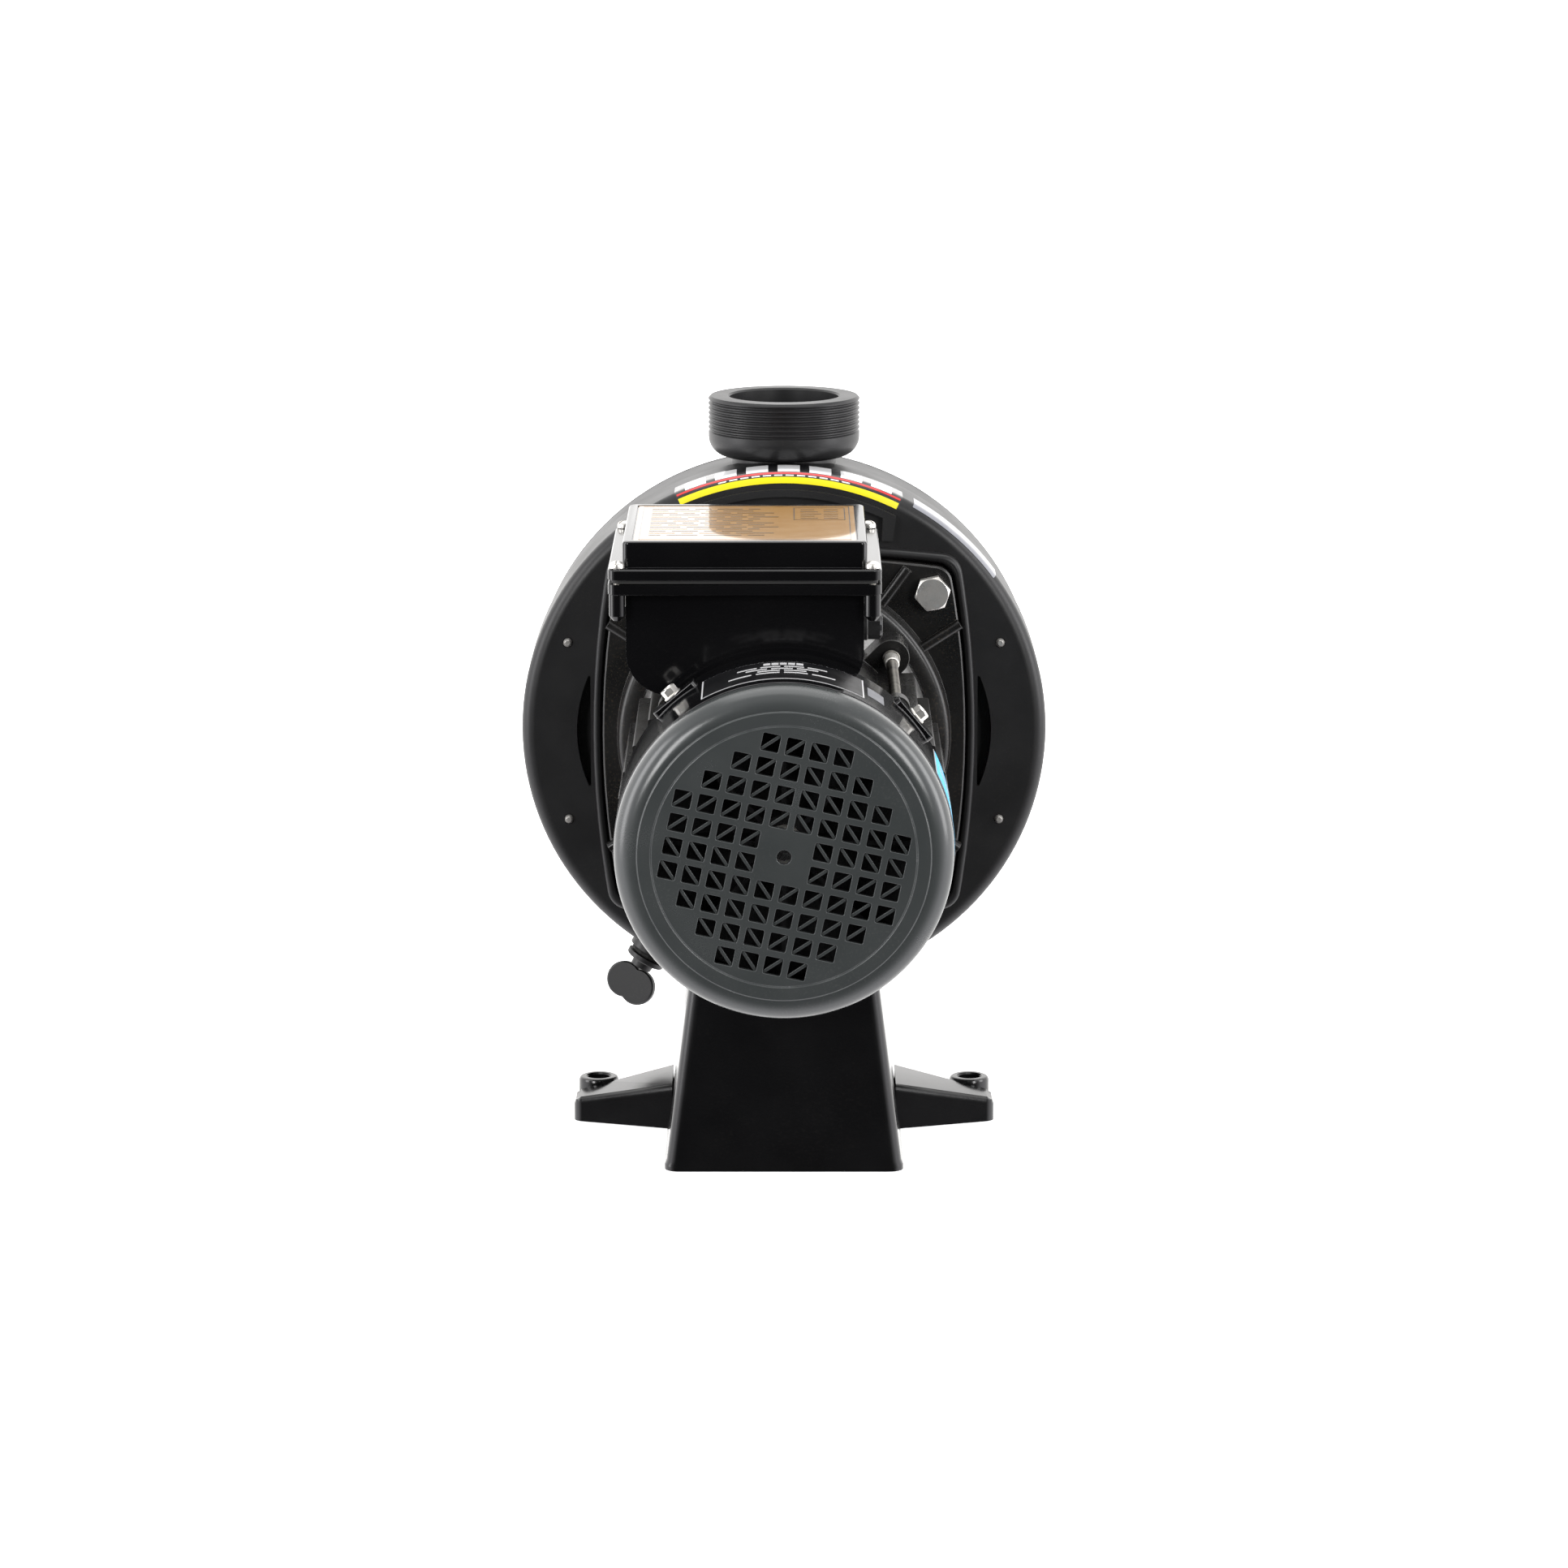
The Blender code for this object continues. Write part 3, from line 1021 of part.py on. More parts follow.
def make_frame():
    """Finned motor frame: a tube with level fins whose tips lie on one circle."""
    tube = prism(circle(MOTOR_BODY_RADIUS, ROUND_MEDIUM), FRAME_START, FRAME_END)
    frame = piece("motor_frame", tube, CAST_BLACK, along())
    fins = bmesh.new()
    half = FIN_THICKNESS / 2.0
    for row in range(FIN_ROWS):
        for sign in (1.0, -1.0):
            up = sign * FIN_PITCH * (row + 0.5)
            reach = math.sqrt(FIN_TIP_RADIUS ** 2 - (abs(up) + half) ** 2)
            outline = rectangle(-reach, reach, up - half, up + half)
            add_stack(fins, [(outline, FRAME_START + FIN_INSET), (outline, FRAME_END - FIN_INSET)])
    fuse(frame, tool("fins", fins, along()))
    bore = circle(MOTOR_BODY_RADIUS - MOTOR_FRAME_WALL, ROUND_MEDIUM)
    cut(frame, tool("frame_bore", prism(bore, FRAME_START - PAST, FRAME_END + PAST), along()))


def make_front_bell():
    housing = FRONT_BEARING["outside"] + GAP
    start = FRONT_BELL_START
    end = FRONT_BELL_END
    pocket = FRONT_BEARING_START - WAVE_WASHER_THICKNESS - 2.0 * GAP
    pocket_end = FRONT_BEARING_START + FRONT_BEARING["width"] + BEARING_POCKET_SPARE
    body = MOTOR_BODY_RADIUS
    bore = SHAFT_SEAL_RADIUS + BELL_BORE_CLEARANCE
    hub = housing + BEARING_HOUSING_WALL
    profile = [(bore, start), (ADAPTER_NECK_RADIUS, start), (body, start + BELL_FLARE), (body, end),
               (body - BELL_WALL, end), (body - BELL_WALL, start + BELL_FLARE + BELL_WALL),
               (ADAPTER_NECK_RADIUS - BELL_WALL, start + BELL_WALL), (hub, start + BELL_WALL),
               (hub, pocket_end), (housing, pocket_end), (housing, pocket), (bore, pocket)]
    bell = piece("front_end_bell", turned(profile, ROUND_MEDIUM), CAST_BLACK, along())
    root = MOTOR_BODY_RADIUS - BELL_WALL + FRONT_LUG_OVERLAP
    outline = lug(ROD_CIRCLE_RADIUS, FRONT_LUG_HALF_WIDTH, root)
    lugs = many(outline, end - FRONT_LUG_LENGTH, end - FRONT_LUG_SETBACK, rod_spots())
    hole = circle(ROD_RADIUS + HOLE_CLEARANCE, ROUND_BOLT)
    fuse(bell, tool("front_lugs", lugs, along()))
    cut(bell, tool("front_rod_holes", many(hole, start, end + PAST, rod_places()), along()))


def make_rear_bell():
    housing = REAR_BEARING["outside"] + GAP
    start = REAR_BELL_START
    end = REAR_BELL_END
    rim = REAR_BELL_RIM_RADIUS
    rim_start = end - REAR_BELL_RIM_LENGTH
    pocket = REAR_BEARING_END - REAR_BEARING["width"] - GAP
    bore = REAR_BEARING["bore"] + BELL_BORE_CLEARANCE
    hub = housing + BEARING_HOUSING_WALL
    inner = MOTOR_BODY_RADIUS - BELL_WALL
    web = pocket - BELL_WALL
    skirt = rim - BELL_WALL
    profile = [(bore, web), (inner, web), (inner, start), (skirt, start), (rim, rim_start), (rim, end),
               (skirt, end), (skirt, pocket), (hub, pocket), (hub, REAR_BEARING_END),
               (housing, REAR_BEARING_END), (housing, pocket), (bore, pocket)]
    bell = piece("rear_end_bell", turned(profile, ROUND_MEDIUM), CAST_BLACK, along())
    outline = lug(ROD_CIRCLE_RADIUS, REAR_LUG_HALF_WIDTH, REAR_LUG_ROOT)
    lug_end = start + REAR_LUG_LENGTH
    hole = circle(ROD_RADIUS + HOLE_CLEARANCE, ROUND_BOLT)
    fuse(bell, tool("rear_lugs", many(outline, start, lug_end, rod_spots()), along()))
    holes = many(hole, start - PAST, lug_end - REAR_LUG_SKIN, rod_places())
    cut(bell, tool("rear_rod_holes", holes, along()))
    screw_hole = circle(COWL_SCREW_RADIUS + HOLE_CLEARANCE, ROUND_BOLT)
    for number, angle in enumerate(COWL_SCREW_ANGLES):
        drill = prism(screw_hole, COWL_RADIUS - COWL_SCREW_LENGTH - PAST, COWL_RADIUS + PAST)
        cut(bell, tool(f"bell_screw_hole_{number}", drill, radial(angle, FAN_FACE - COWL_SCREW_SETBACK)))


def make_rods():
    """Through bolts: hex head on the pump side, bright collar at the front bell's lug."""
    head_face = FRONT_BELL_END - FRONT_LUG_LENGTH - GAP
    tip = REAR_BELL_START + REAR_LUG_LENGTH - REAR_LUG_SKIN - GAP
    collar_low = FRONT_BELL_END - FRONT_LUG_SETBACK + GAP
    collar = {"radius": ROD_COLLAR_RADIUS, "low": head_face - collar_low - ROD_COLLAR_LENGTH,
              "high": head_face - collar_low}
    rod = pin(hexagon(ROD_HEAD_ACROSS), ROD_HEAD_HEIGHT, ROD_RADIUS, tip - head_face, collar)
    flipped = Matrix.Rotation(math.pi, 4, "Y")
    copies("tie_rod", rod, BRIGHT_STEEL, [along(head_face) @ spot @ flipped for spot in rod_places()])


def stator_bore(radius, top):
    """Inner outline of the stator: slots are open stretches that reach out to top."""
    points = []
    pitch = 2.0 * math.pi / STATOR_SLOTS
    for slot in range(STATOR_SLOTS):
        middle = slot * pitch
        half = pitch * SLOT_SHARE / 2.0
        for angle, reach in ((-half, radius), (-half * SLOT_TAPER, top), (half * SLOT_TAPER, top),
                             (half, radius), (pitch / 2.0, radius)):
            points.append((reach * math.cos(middle + angle), reach * math.sin(middle + angle)))
    return points


def stator_rim(radius):
    """Outer outline of the stator with one point for each point of the bore."""
    points = []
    pitch = 2.0 * math.pi / STATOR_SLOTS
    half = pitch * SLOT_SHARE / 2.0
    for slot in range(STATOR_SLOTS):
        middle = slot * pitch
        for angle in (-half, -half / 3.0, half / 3.0, half, pitch / 2.0):
            points.append((radius * math.cos(middle + angle), radius * math.sin(middle + angle)))
    return points


def make_stator_and_rotor():
    low = FRAME_MIDDLE - STATOR_LENGTH / 2.0
    high = FRAME_MIDDLE + STATOR_LENGTH / 2.0
    core = ring_prism(stator_rim(STATOR_RADIUS), stator_bore(STATOR_BORE, SLOT_TOP_RADIUS), low, high)
    piece("stator_core", core, LAMINATION_STEEL, along())

    bar_top = SLOT_TOP_RADIUS - WINDING_TOP_CLEARANCE
    half = math.pi / STATOR_SLOTS * SLOT_SHARE * WINDING_FILL
    bar = [(WINDING_INNER_RADIUS * math.cos(half), -WINDING_INNER_RADIUS * math.sin(half)),
           (bar_top * math.cos(half), -bar_top * math.sin(half)),
           (bar_top * math.cos(half), bar_top * math.sin(half)),
           (WINDING_INNER_RADIUS * math.cos(half), WINDING_INNER_RADIUS * math.sin(half))]
    bars = many(bar, low - WINDING_BAR_REACH, high + WINDING_BAR_REACH, around_axis(STATOR_SLOTS))
    ring_inner = WINDING_INNER_RADIUS - WINDING_RING_STEP
    ring_outer = bar_top + WINDING_RING_STEP
    near = (low - WINDING_OVERHANG, low - WINDING_RING_STEP)
    far = (high + WINDING_RING_STEP, high + WINDING_OVERHANG)
    near_ring, far_ring = (turned([(ring_inner, start), (ring_outer, start), (ring_outer, end),
                                   (ring_inner, end)], ROUND_SMALL) for start, end in (near, far))
    winding = piece("stator_winding", near_ring, COPPER, along())
    fuse(winding, tool("slot_bars", bars, along()), tool("far_end_turns", far_ring, along()))

    rotor_radius = STATOR_BORE - AIR_GAP
    rotor = turned([(SHAFT_CORE_RADIUS + GAP, low), (rotor_radius, low), (rotor_radius, high),
                    (SHAFT_CORE_RADIUS + GAP, high)], ROUND_MEDIUM)
    piece("rotor_core", rotor, LAMINATION_STEEL, along())


def make_bearing(name, size, low):
    """Deep-groove ball bearing: two grooved races, and the balls held in their cage."""
    high = low + size["width"]
    middle = (low + high) / 2.0
    pitch_radius = (size["bore"] + size["outside"]) / 2.0
    spread = (size["outside"] - size["bore"]) / 2.0
    ball = BALL_SHARE * spread
    groove = ball + BALL_CLEARANCE
    inner_top = size["bore"] + RACE_SHARE * spread
    outer_low = size["outside"] - RACE_SHARE * spread
    reach_in = math.degrees(math.acos((pitch_radius - inner_top) / groove))
    reach_out = math.degrees(math.acos((outer_low - pitch_radius) / groove))
    bore = size["bore"] + GAP
    inner = [(bore, low), (inner_top, low)]
    inner += arc((pitch_radius, middle), groove, 180.0 + reach_in, 180.0 - reach_in)
    inner += [(inner_top, high), (bore, high)]
    outer = [(size["outside"], low), (outer_low, low)]
    outer += arc((pitch_radius, middle), groove, -reach_out, reach_out)
    outer += [(outer_low, high), (size["outside"], high)]
    piece(f"{name}_bearing_inner", turned(inner, ROUND_BEARING), SHAFT_STEEL, along())
    piece(f"{name}_bearing_outer", turned(outer, ROUND_BEARING), SHAFT_STEEL, along())

    clear = (outer_low - inner_top) / 2.0 - 2.0 * BALL_CLEARANCE
    half = ball * CAGE_SHARE
    cage_inner = pitch_radius - clear
    cage_outer = pitch_radius + clear
    ring = turned([(cage_inner, middle - half), (cage_outer, middle - half), (cage_outer, middle + half),
                   (cage_inner, middle + half)], ROUND_SMALL)
    cage = piece(f"{name}_bearing_balls", ring, BRIGHT_STEEL, along())
    balls = bmesh.new()
    # each ball stands over the middle of a flat of the cage
    flat = Matrix.Translation((0.0, 0.0, middle)) @ Matrix.Rotation(math.pi / ROUND_SMALL, 4, "Z")
    for turn in around_axis(BALLS):
        place = flat @ turn @ Matrix.Translation((pitch_radius, 0.0, 0.0))
        bmesh.ops.create_uvsphere(balls, u_segments=BALL_SEGMENTS, v_segments=BALL_RINGS,
                                  radius=ball, matrix=place)
    fuse(cage, tool(f"{name}_balls", balls, along()))


def make_shaft():
    """Stepped shaft from the fan's end to the impeller's thread, and what is fixed on it."""
    front = FRONT_BEARING_START
    front_end = front + FRONT_BEARING["width"]
    rear = REAR_BEARING_END - REAR_BEARING["width"]
    seat_end = REAR_BEARING_END + REAR_BEARING_SEAT
    shoulder = HUB_START + GAP
    fan_end = FAN_FACE - FAN_START + FAN_SHAFT_REACH
    thread_end = HUB_END - IMPELLER_NUT_LENGTH
    lengths = ((SHAFT_THREAD_RADIUS, thread_end, HUB_END),
               (SHAFT_IMPELLER_RADIUS, HUB_END, shoulder),
               (SHAFT_SEAL_RADIUS, shoulder, front - GAP),
               (FRONT_BEARING["bore"], front - GAP, front_end + GAP),
               (SHAFT_CORE_RADIUS, front_end + GAP, rear - GAP),
               (REAR_BEARING["bore"], rear - GAP, seat_end),
               (SHAFT_FAN_RADIUS, seat_end, fan_end))
    profile = [(0.0, thread_end)]
    for radius, low, high in lengths:
        profile += [(radius, low), (radius, high)]
    profile.append((0.0, fan_end))
    piece("shaft", turned(profile, ROUND_SMALL), SHAFT_STEEL, along())

    slinger_bore = SHAFT_SEAL_RADIUS + GAP
    slinger_end = SLINGER_START + SLINGER_THICKNESS
    slinger = turned([(slinger_bore, SLINGER_START), (SLINGER_RADIUS, SLINGER_START),
                      (SLINGER_RADIUS, SLINGER_START + SLINGER_EDGE),
                      (slinger_bore + SLINGER_HUB, slinger_end), (slinger_bore, slinger_end)], ROUND_SMALL)
    piece("slinger", slinger, RUBBER, along())
    washer_outer = FRONT_BEARING["outside"] - WAVE_WASHER_CLEARANCE
    washer_inner = washer_outer - WAVE_WASHER_WIDTH
    washer_high = front - GAP
    washer_low = washer_high - WAVE_WASHER_THICKNESS
    washer = turned([(washer_inner, washer_low), (washer_outer, washer_low), (washer_outer, washer_high),
                     (washer_inner, washer_high)], ROUND_SMALL)
    piece("wave_washer", washer, BRIGHT_STEEL, along())
    make_bearing("front", FRONT_BEARING, front)
    make_bearing("rear", REAR_BEARING, rear)


# ------------------------------------------------------------------ fan, cowl and cap
def make_fan():
    start = FAN_FACE - FAN_START - FAN_WIDTH
    end = start + FAN_WIDTH
    bore = SHAFT_FAN_RADIUS + GAP
    hub_end = end - FAN_HUB_DROP
    plate_end = start + FAN_PLATE
    hub = turned([(bore, start), (FAN_RADIUS, start), (FAN_RADIUS, plate_end),
                  (FAN_HUB_RADIUS + FAN_HUB_FLARE, plate_end), (FAN_HUB_RADIUS, hub_end), (bore, hub_end)],
                 ROUND_MEDIUM)
    fan = piece("cooling_fan", hub, GREY_PLASTIC, along())
    half = FAN_BLADE_THICKNESS / 2.0
    blade = rectangle(FAN_HUB_RADIUS - FAN_BLADE_INSET, FAN_RADIUS - FAN_BLADE_INSET, -half, half)
    blades = many(blade, plate_end - NUDGE, end - FAN_BLADE_DROP, around_axis(FAN_BLADES))
    fuse(fan, tool("fan_blades", blades, along()))
    clip_start = hub_end + GAP
    clip_end = clip_start + FAN_CLIP_THICKNESS
    clip = turned([(bore, clip_start), (FAN_CLIP_RADIUS, clip_start), (FAN_CLIP_RADIUS, clip_end),
                   (bore, clip_end)], ROUND_SMALL)
    piece("fan_clip", clip, BRIGHT_STEEL, along())


def make_cowl():
    """Sleeve over the fan, with a flat pad under each of its screws."""
    inner = COWL_RADIUS - COWL_WALL
    drum = prism(circle(COWL_RADIUS, ROUND_LARGE), COWL_FRONT, COWL_END)
    sleeve = piece("cowl_sleeve", drum, GLOSS_BLACK, along())
    middle = FAN_FACE - COWL_SCREW_SETBACK
    wide, deep, thick = COWL_PAD
    pad = rectangle(-wide / 2.0, wide / 2.0, -deep / 2.0, deep / 2.0)
    pad_top = COWL_RADIUS + thick
    hole = circle(COWL_SCREW_RADIUS + HOLE_CLEARANCE, ROUND_BOLT)
    for number, angle in enumerate(COWL_SCREW_ANGLES):
        place = radial(angle, middle)
        fuse(sleeve, tool(f"cowl_pad_{number}", prism(pad, inner - PAST, pad_top), place))
    trim = prism(circle(inner, ROUND_LARGE), COWL_FRONT - PAST, COWL_END + PAST)
    cut(sleeve, tool("cowl_inside", trim, along()))
    for number, angle in enumerate(COWL_SCREW_ANGLES):
        drill = prism(hole, inner - PAST, pad_top + PAST)
        cut(sleeve, tool(f"cowl_screw_hole_{number}", drill, radial(angle, middle)))
    screw = pin(hexagon(COWL_SCREW_ACROSS), COWL_SCREW_HEAD, COWL_SCREW_RADIUS, COWL_SCREW_LENGTH + thick)
    lift = Matrix.Translation((0.0, 0.0, pad_top + GAP))
    copies("cowl_screw", screw, BRIGHT_STEEL, [radial(angle, middle) @ lift for angle in COWL_SCREW_ANGLES])


def grille_spots():
    """Middles of the square openings, in the cap's own plane."""
    spots = []
    rows = len(GRILLE_ROWS)
    for row, count in enumerate(GRILLE_ROWS):
        gap = GRILLE_MIDDLE_GAP if row in GRILLE_MIDDLE_ROWS else 0
        span = count + gap
        for column in range(span):
            place = column - (span - 1) / 2.0
            if gap and abs(place) < gap / 2.0:
                continue
            spots.append((place * GRILLE_PITCH, ((rows - 1) / 2.0 - row) * GRILLE_PITCH))
    return spots


def make_cap():
    """Slotted fan cap: rounded shoulder, slightly raised disc and a grid of square openings."""
    face = FAN_FACE
    side_end = face - CAP_SIDE
    spigot_radius = COWL_RADIUS - COWL_WALL - GAP
    inner = spigot_radius - CAP_WALL
    shoulder = face - CAP_SHOULDER_DROP
    round_radius = CAP_RADIUS - CAP_SHOULDER_RADIUS
    rounded_side = arc((CAP_RADIUS - round_radius, shoulder - round_radius), round_radius, 0.0, 90.0,
                       CAP_STEPS)
    profile = [(0.0, face), (CAP_SHOULDER_RADIUS - CAP_DISC_EDGE, face)] + rounded_side[::-1]
    profile += [(CAP_RADIUS, side_end), (spigot_radius, side_end), (spigot_radius, side_end - CAP_SPIGOT),
                (inner, side_end - CAP_SPIGOT), (inner, shoulder - round_radius),
                (CAP_SHOULDER_RADIUS - CAP_INNER_STEP, face - CAP_WALL), (0.0, face - CAP_WALL)]
    cap = piece("fan_cap", turned(profile, ROUND_LARGE), CAP_GREY, along())
    half = GRILLE_SQUARE / 2.0
    square = rectangle(-half, half, -half, half)
    grid_turn = Matrix.Rotation(math.radians(GRILLE_TURN), 4, "Z")
    low = face - CAP_WALL - PAST
    high = face + PAST
    holes = many(square, low, high, moved(grille_spots()))
    middle_hole = prism(circle(CAP_HOLE_RADIUS, ROUND_SCREW), low, high)
    cut(cap, tool("grille_squares", holes, along() @ grid_turn),
        tool("cap_middle_hole", middle_hole, along()))


# ------------------------------------------------------------------ terminal box
BOX_START = FRAME_START + BOX_SETBACK
BOX_END = BOX_START + BOX_DEPTH
BOX_BOTTOM = MOTOR_BODY_RADIUS - BOX_SINK
BOX_FLANGE_TOP = BOX_BOTTOM + BOX_HEIGHT
FLANGE_LEFT = BOX_LEFT - BOX_FLANGE_REACH
FLANGE_RIGHT = BOX_RIGHT + BOX_FLANGE_REACH
FLANGE_START = BOX_START - BOX_FLANGE_REACH
FLANGE_END = BOX_END + BOX_FLANGE_REACH
GASKET_BOTTOM = BOX_FLANGE_TOP + GAP
LID_BOTTOM = GASKET_BOTTOM + GASKET_THICKNESS + GAP
LID_FLANGE_TOP = LID_BOTTOM + LID_FLANGE_THICKNESS
LID_TOP = LID_BOTTOM + LID_HEIGHT
CONDUIT_AXIS = (along(BOX_START + CONDUIT_ALONG, BOX_RIGHT, BOX_BOTTOM + CONDUIT_RISE)
                @ Matrix.Rotation(math.radians(90.0), 4, "Y"))


def plan(inset, corner=LID_CORNER):
    """Plan of the box flange in the world's directions, moved in by inset; y runs to the pump."""
    return rectangle(FLANGE_LEFT + inset, FLANGE_RIGHT - inset, -FLANGE_END + inset,
                     -FLANGE_START - inset, corner)


def lid_screw_spots():
    across = (FLANGE_LEFT + LID_SCREW_INSET, FLANGE_RIGHT - LID_SCREW_INSET)
    deep = (FLANGE_START + LID_SCREW_INSET, FLANGE_END - LID_SCREW_INSET)
    return [Matrix.Translation((x, -z, 0.0)) for x in across for z in deep]


def saddle(radius):
    """Cylinder of the motor body, used to hollow what stands on or under it."""
    return prism(circle(radius, ROUND_MEDIUM), -PAST, FAN_FACE)


def make_terminal_box():
    body_outline = rounded([(BOX_LEFT, BOX_BOTTOM), (BOX_RIGHT, BOX_BOTTOM), (BOX_RIGHT, BOX_FLANGE_TOP),
                            (BOX_LEFT, BOX_FLANGE_TOP)], [BOX_CORNER, BOX_CORNER, 0.0, 0.0], BOX_STEPS)
    box = piece("terminal_box", prism(body_outline, BOX_START, BOX_END), GLOSS_BLACK, along())
    origin = upright(0.0, 0.0, 0.0)
    flange = prism(plan(0.0), BOX_FLANGE_TOP - BOX_FLANGE_THICKNESS, BOX_FLANGE_TOP)
    post = circle(LID_POST_RADIUS, ROUND_SCREW)
    tip = circle(LID_POST_RADIUS * LID_POST_TIP_SHARE, ROUND_SCREW)
    post_low = BOX_FLANGE_TOP - LID_POST_LENGTH
    post_high = BOX_FLANGE_TOP - NUDGE
    posts = bmesh.new()
    for spot in lid_screw_spots():
        add_stack(posts, [(tip, post_low - LID_POST_TIP), (post, post_low), (post, post_high)], spot)
    fuse(box, tool("box_flange", flange, origin), tool("lid_posts", posts, origin))

    wall = BOX_WALL
    inner_left = BOX_LEFT + wall
    inner_right = BOX_RIGHT - wall
    inner_top = BOX_FLANGE_TOP + PAST
    inner_corner = BOX_CORNER - wall
    hollow_outline = rounded([(inner_left, BOX_BOTTOM + wall), (inner_right, BOX_BOTTOM + wall),
                              (inner_right, inner_top), (inner_left, inner_top)],
                             [inner_corner, inner_corner, 0.0, 0.0], BOX_STEPS)
    hollow = tool("box_hollow", prism(hollow_outline, BOX_START + wall, BOX_END - wall), along())
    cut(hollow, tool("box_saddle_skin", saddle(MOTOR_BODY_RADIUS + GAP + wall), along()))
    screw_hole = circle(LID_SCREW_RADIUS + HOLE_CLEARANCE, ROUND_SCREW)
    screw_low = LID_FLANGE_TOP - LID_SCREW_REACH
    screw_holes = many(screw_hole, screw_low, inner_top, lid_screw_spots())
    entry = prism(circle(CONDUIT_RADIUS + HOLE_CLEARANCE, ROUND_SMALL), -wall - PAST, PAST)
    cut(box, tool("box_saddle", saddle(MOTOR_BODY_RADIUS + GAP), along()), hollow,
        tool("box_screw_holes", screw_holes, origin), tool("conduit_entry", entry, CONDUIT_AXIS))

    gasket = ring_prism(plan(GASKET_INSET), plan(GASKET_INSET + GASKET_WIDTH), GASKET_BOTTOM,
                        GASKET_BOTTOM + GASKET_THICKNESS)
    piece("box_gasket", gasket, RUBBER, origin)

    lid = piece("box_lid", prism(plan(0.0), LID_BOTTOM, LID_FLANGE_TOP), GLOSS_BLACK, origin)
    plateau = prism(plan(LID_PLATEAU_INSET), LID_FLANGE_TOP - NUDGE, LID_TOP)
    inside = prism(plan(LID_PLATEAU_INSET + LID_WALL), LID_BOTTOM - PAST, LID_TOP - LID_WALL)
    lid_holes = many(screw_hole, LID_BOTTOM - PAST, LID_FLANGE_TOP + PAST, lid_screw_spots())
    fuse(lid, tool("lid_plateau", plateau, origin))
    cut(lid, tool("lid_inside", inside, origin), tool("lid_screw_holes", lid_holes, origin))
    head = circle(LID_SCREW_HEAD_RADIUS, ROUND_SCREW)
    screw = pin(head, LID_SCREW_HEAD_HEIGHT, LID_SCREW_RADIUS, LID_SCREW_REACH)
    lift = Matrix.Translation((0.0, 0.0, LID_FLANGE_TOP + GAP))
    copies("lid_screw", screw, BRIGHT_STEEL, [origin @ spot @ lift for spot in lid_screw_spots()])


def make_box_contents():
    middle = (BOX_START + BOX_END) / 2.0
    half = CAPACITOR_LENGTH / 2.0
    can = prism(circle(CAPACITOR_RADIUS, ROUND_SMALL), -half, half)
    spot = along(middle, BOX_LEFT + CAPACITOR_INSET, BOX_BOTTOM + CAPACITOR_RISE)
    piece("run_capacitor", can, WHITE_PLASTIC, spot)
    wide, deep, high = TERMINAL_BLOCK
    floor = MOTOR_BODY_RADIUS + GAP + BOX_WALL + GAP
    block = prism(rectangle(-wide / 2.0, wide / 2.0, -deep / 2.0, deep / 2.0), 0.0, high)
    piece("terminal_block", block, WHITE_PLASTIC, upright(0.0, floor, middle))
    tail = -BOX_WALL - CONDUIT_TAIL
    plug = turned([(0.0, tail), (CONDUIT_RADIUS, tail), (CONDUIT_RADIUS, GAP), (CONDUIT_HEAD_RADIUS, GAP),
                   (CONDUIT_HEAD_RADIUS, CONDUIT_HEAD_LENGTH - CONDUIT_CHAMFER),
                   (CONDUIT_HEAD_RADIUS - CONDUIT_CHAMFER, CONDUIT_HEAD_LENGTH),
                   (0.0, CONDUIT_HEAD_LENGTH)], ROUND_SMALL)
    piece("conduit_plug", plug, SATIN_BLACK, CONDUIT_AXIS)


# ------------------------------------------------------------------ pedestal base
def pedestal_ring(height, inset):
    """Plan of the pedestal at a height above the floor, moved in by inset."""
    half = BASE_FOOT_WIDTH / 2.0 - BASE_DRAFT * height - inset
    near = BASE_START + BASE_END_DRAFT * height + inset
    far = BASE_START + BASE_LENGTH - BASE_END_DRAFT * height - inset
    return rectangle(-half, half, -far, -near, max(BASE_CORNER - inset, BASE_INNER_CORNER))


def wing(side, inset, root, floor):
    """A wing that slopes down to its tip, moved in by inset; root is where it starts from the middle."""
    tip = WING_REACH - inset
    corners = [(side * root, -WING_ROOT_FRONT + inset), (side * tip, -WING_TIP_FRONT + inset),
               (side * tip, -WING_TIP_BACK - inset), (side * root, -WING_ROOT_BACK - inset)]
    corner = WING_CORNER - inset / 2.0
    shape = prism(rounded(corners, [0.0, corner, corner, 0.0]), floor, WING_ROOT_HEIGHT)
    half_foot = BASE_FOOT_WIDTH / 2.0
    fall = (WING_ROOT_HEIGHT - WING_TIP_HEIGHT) / (WING_REACH - half_foot)
    for vert in shape.verts:
        if vert.co.z > WING_TIP_HEIGHT:
            vert.co.z = WING_ROOT_HEIGHT - inset - fall * (abs(vert.co.x) - half_foot)
    return shape


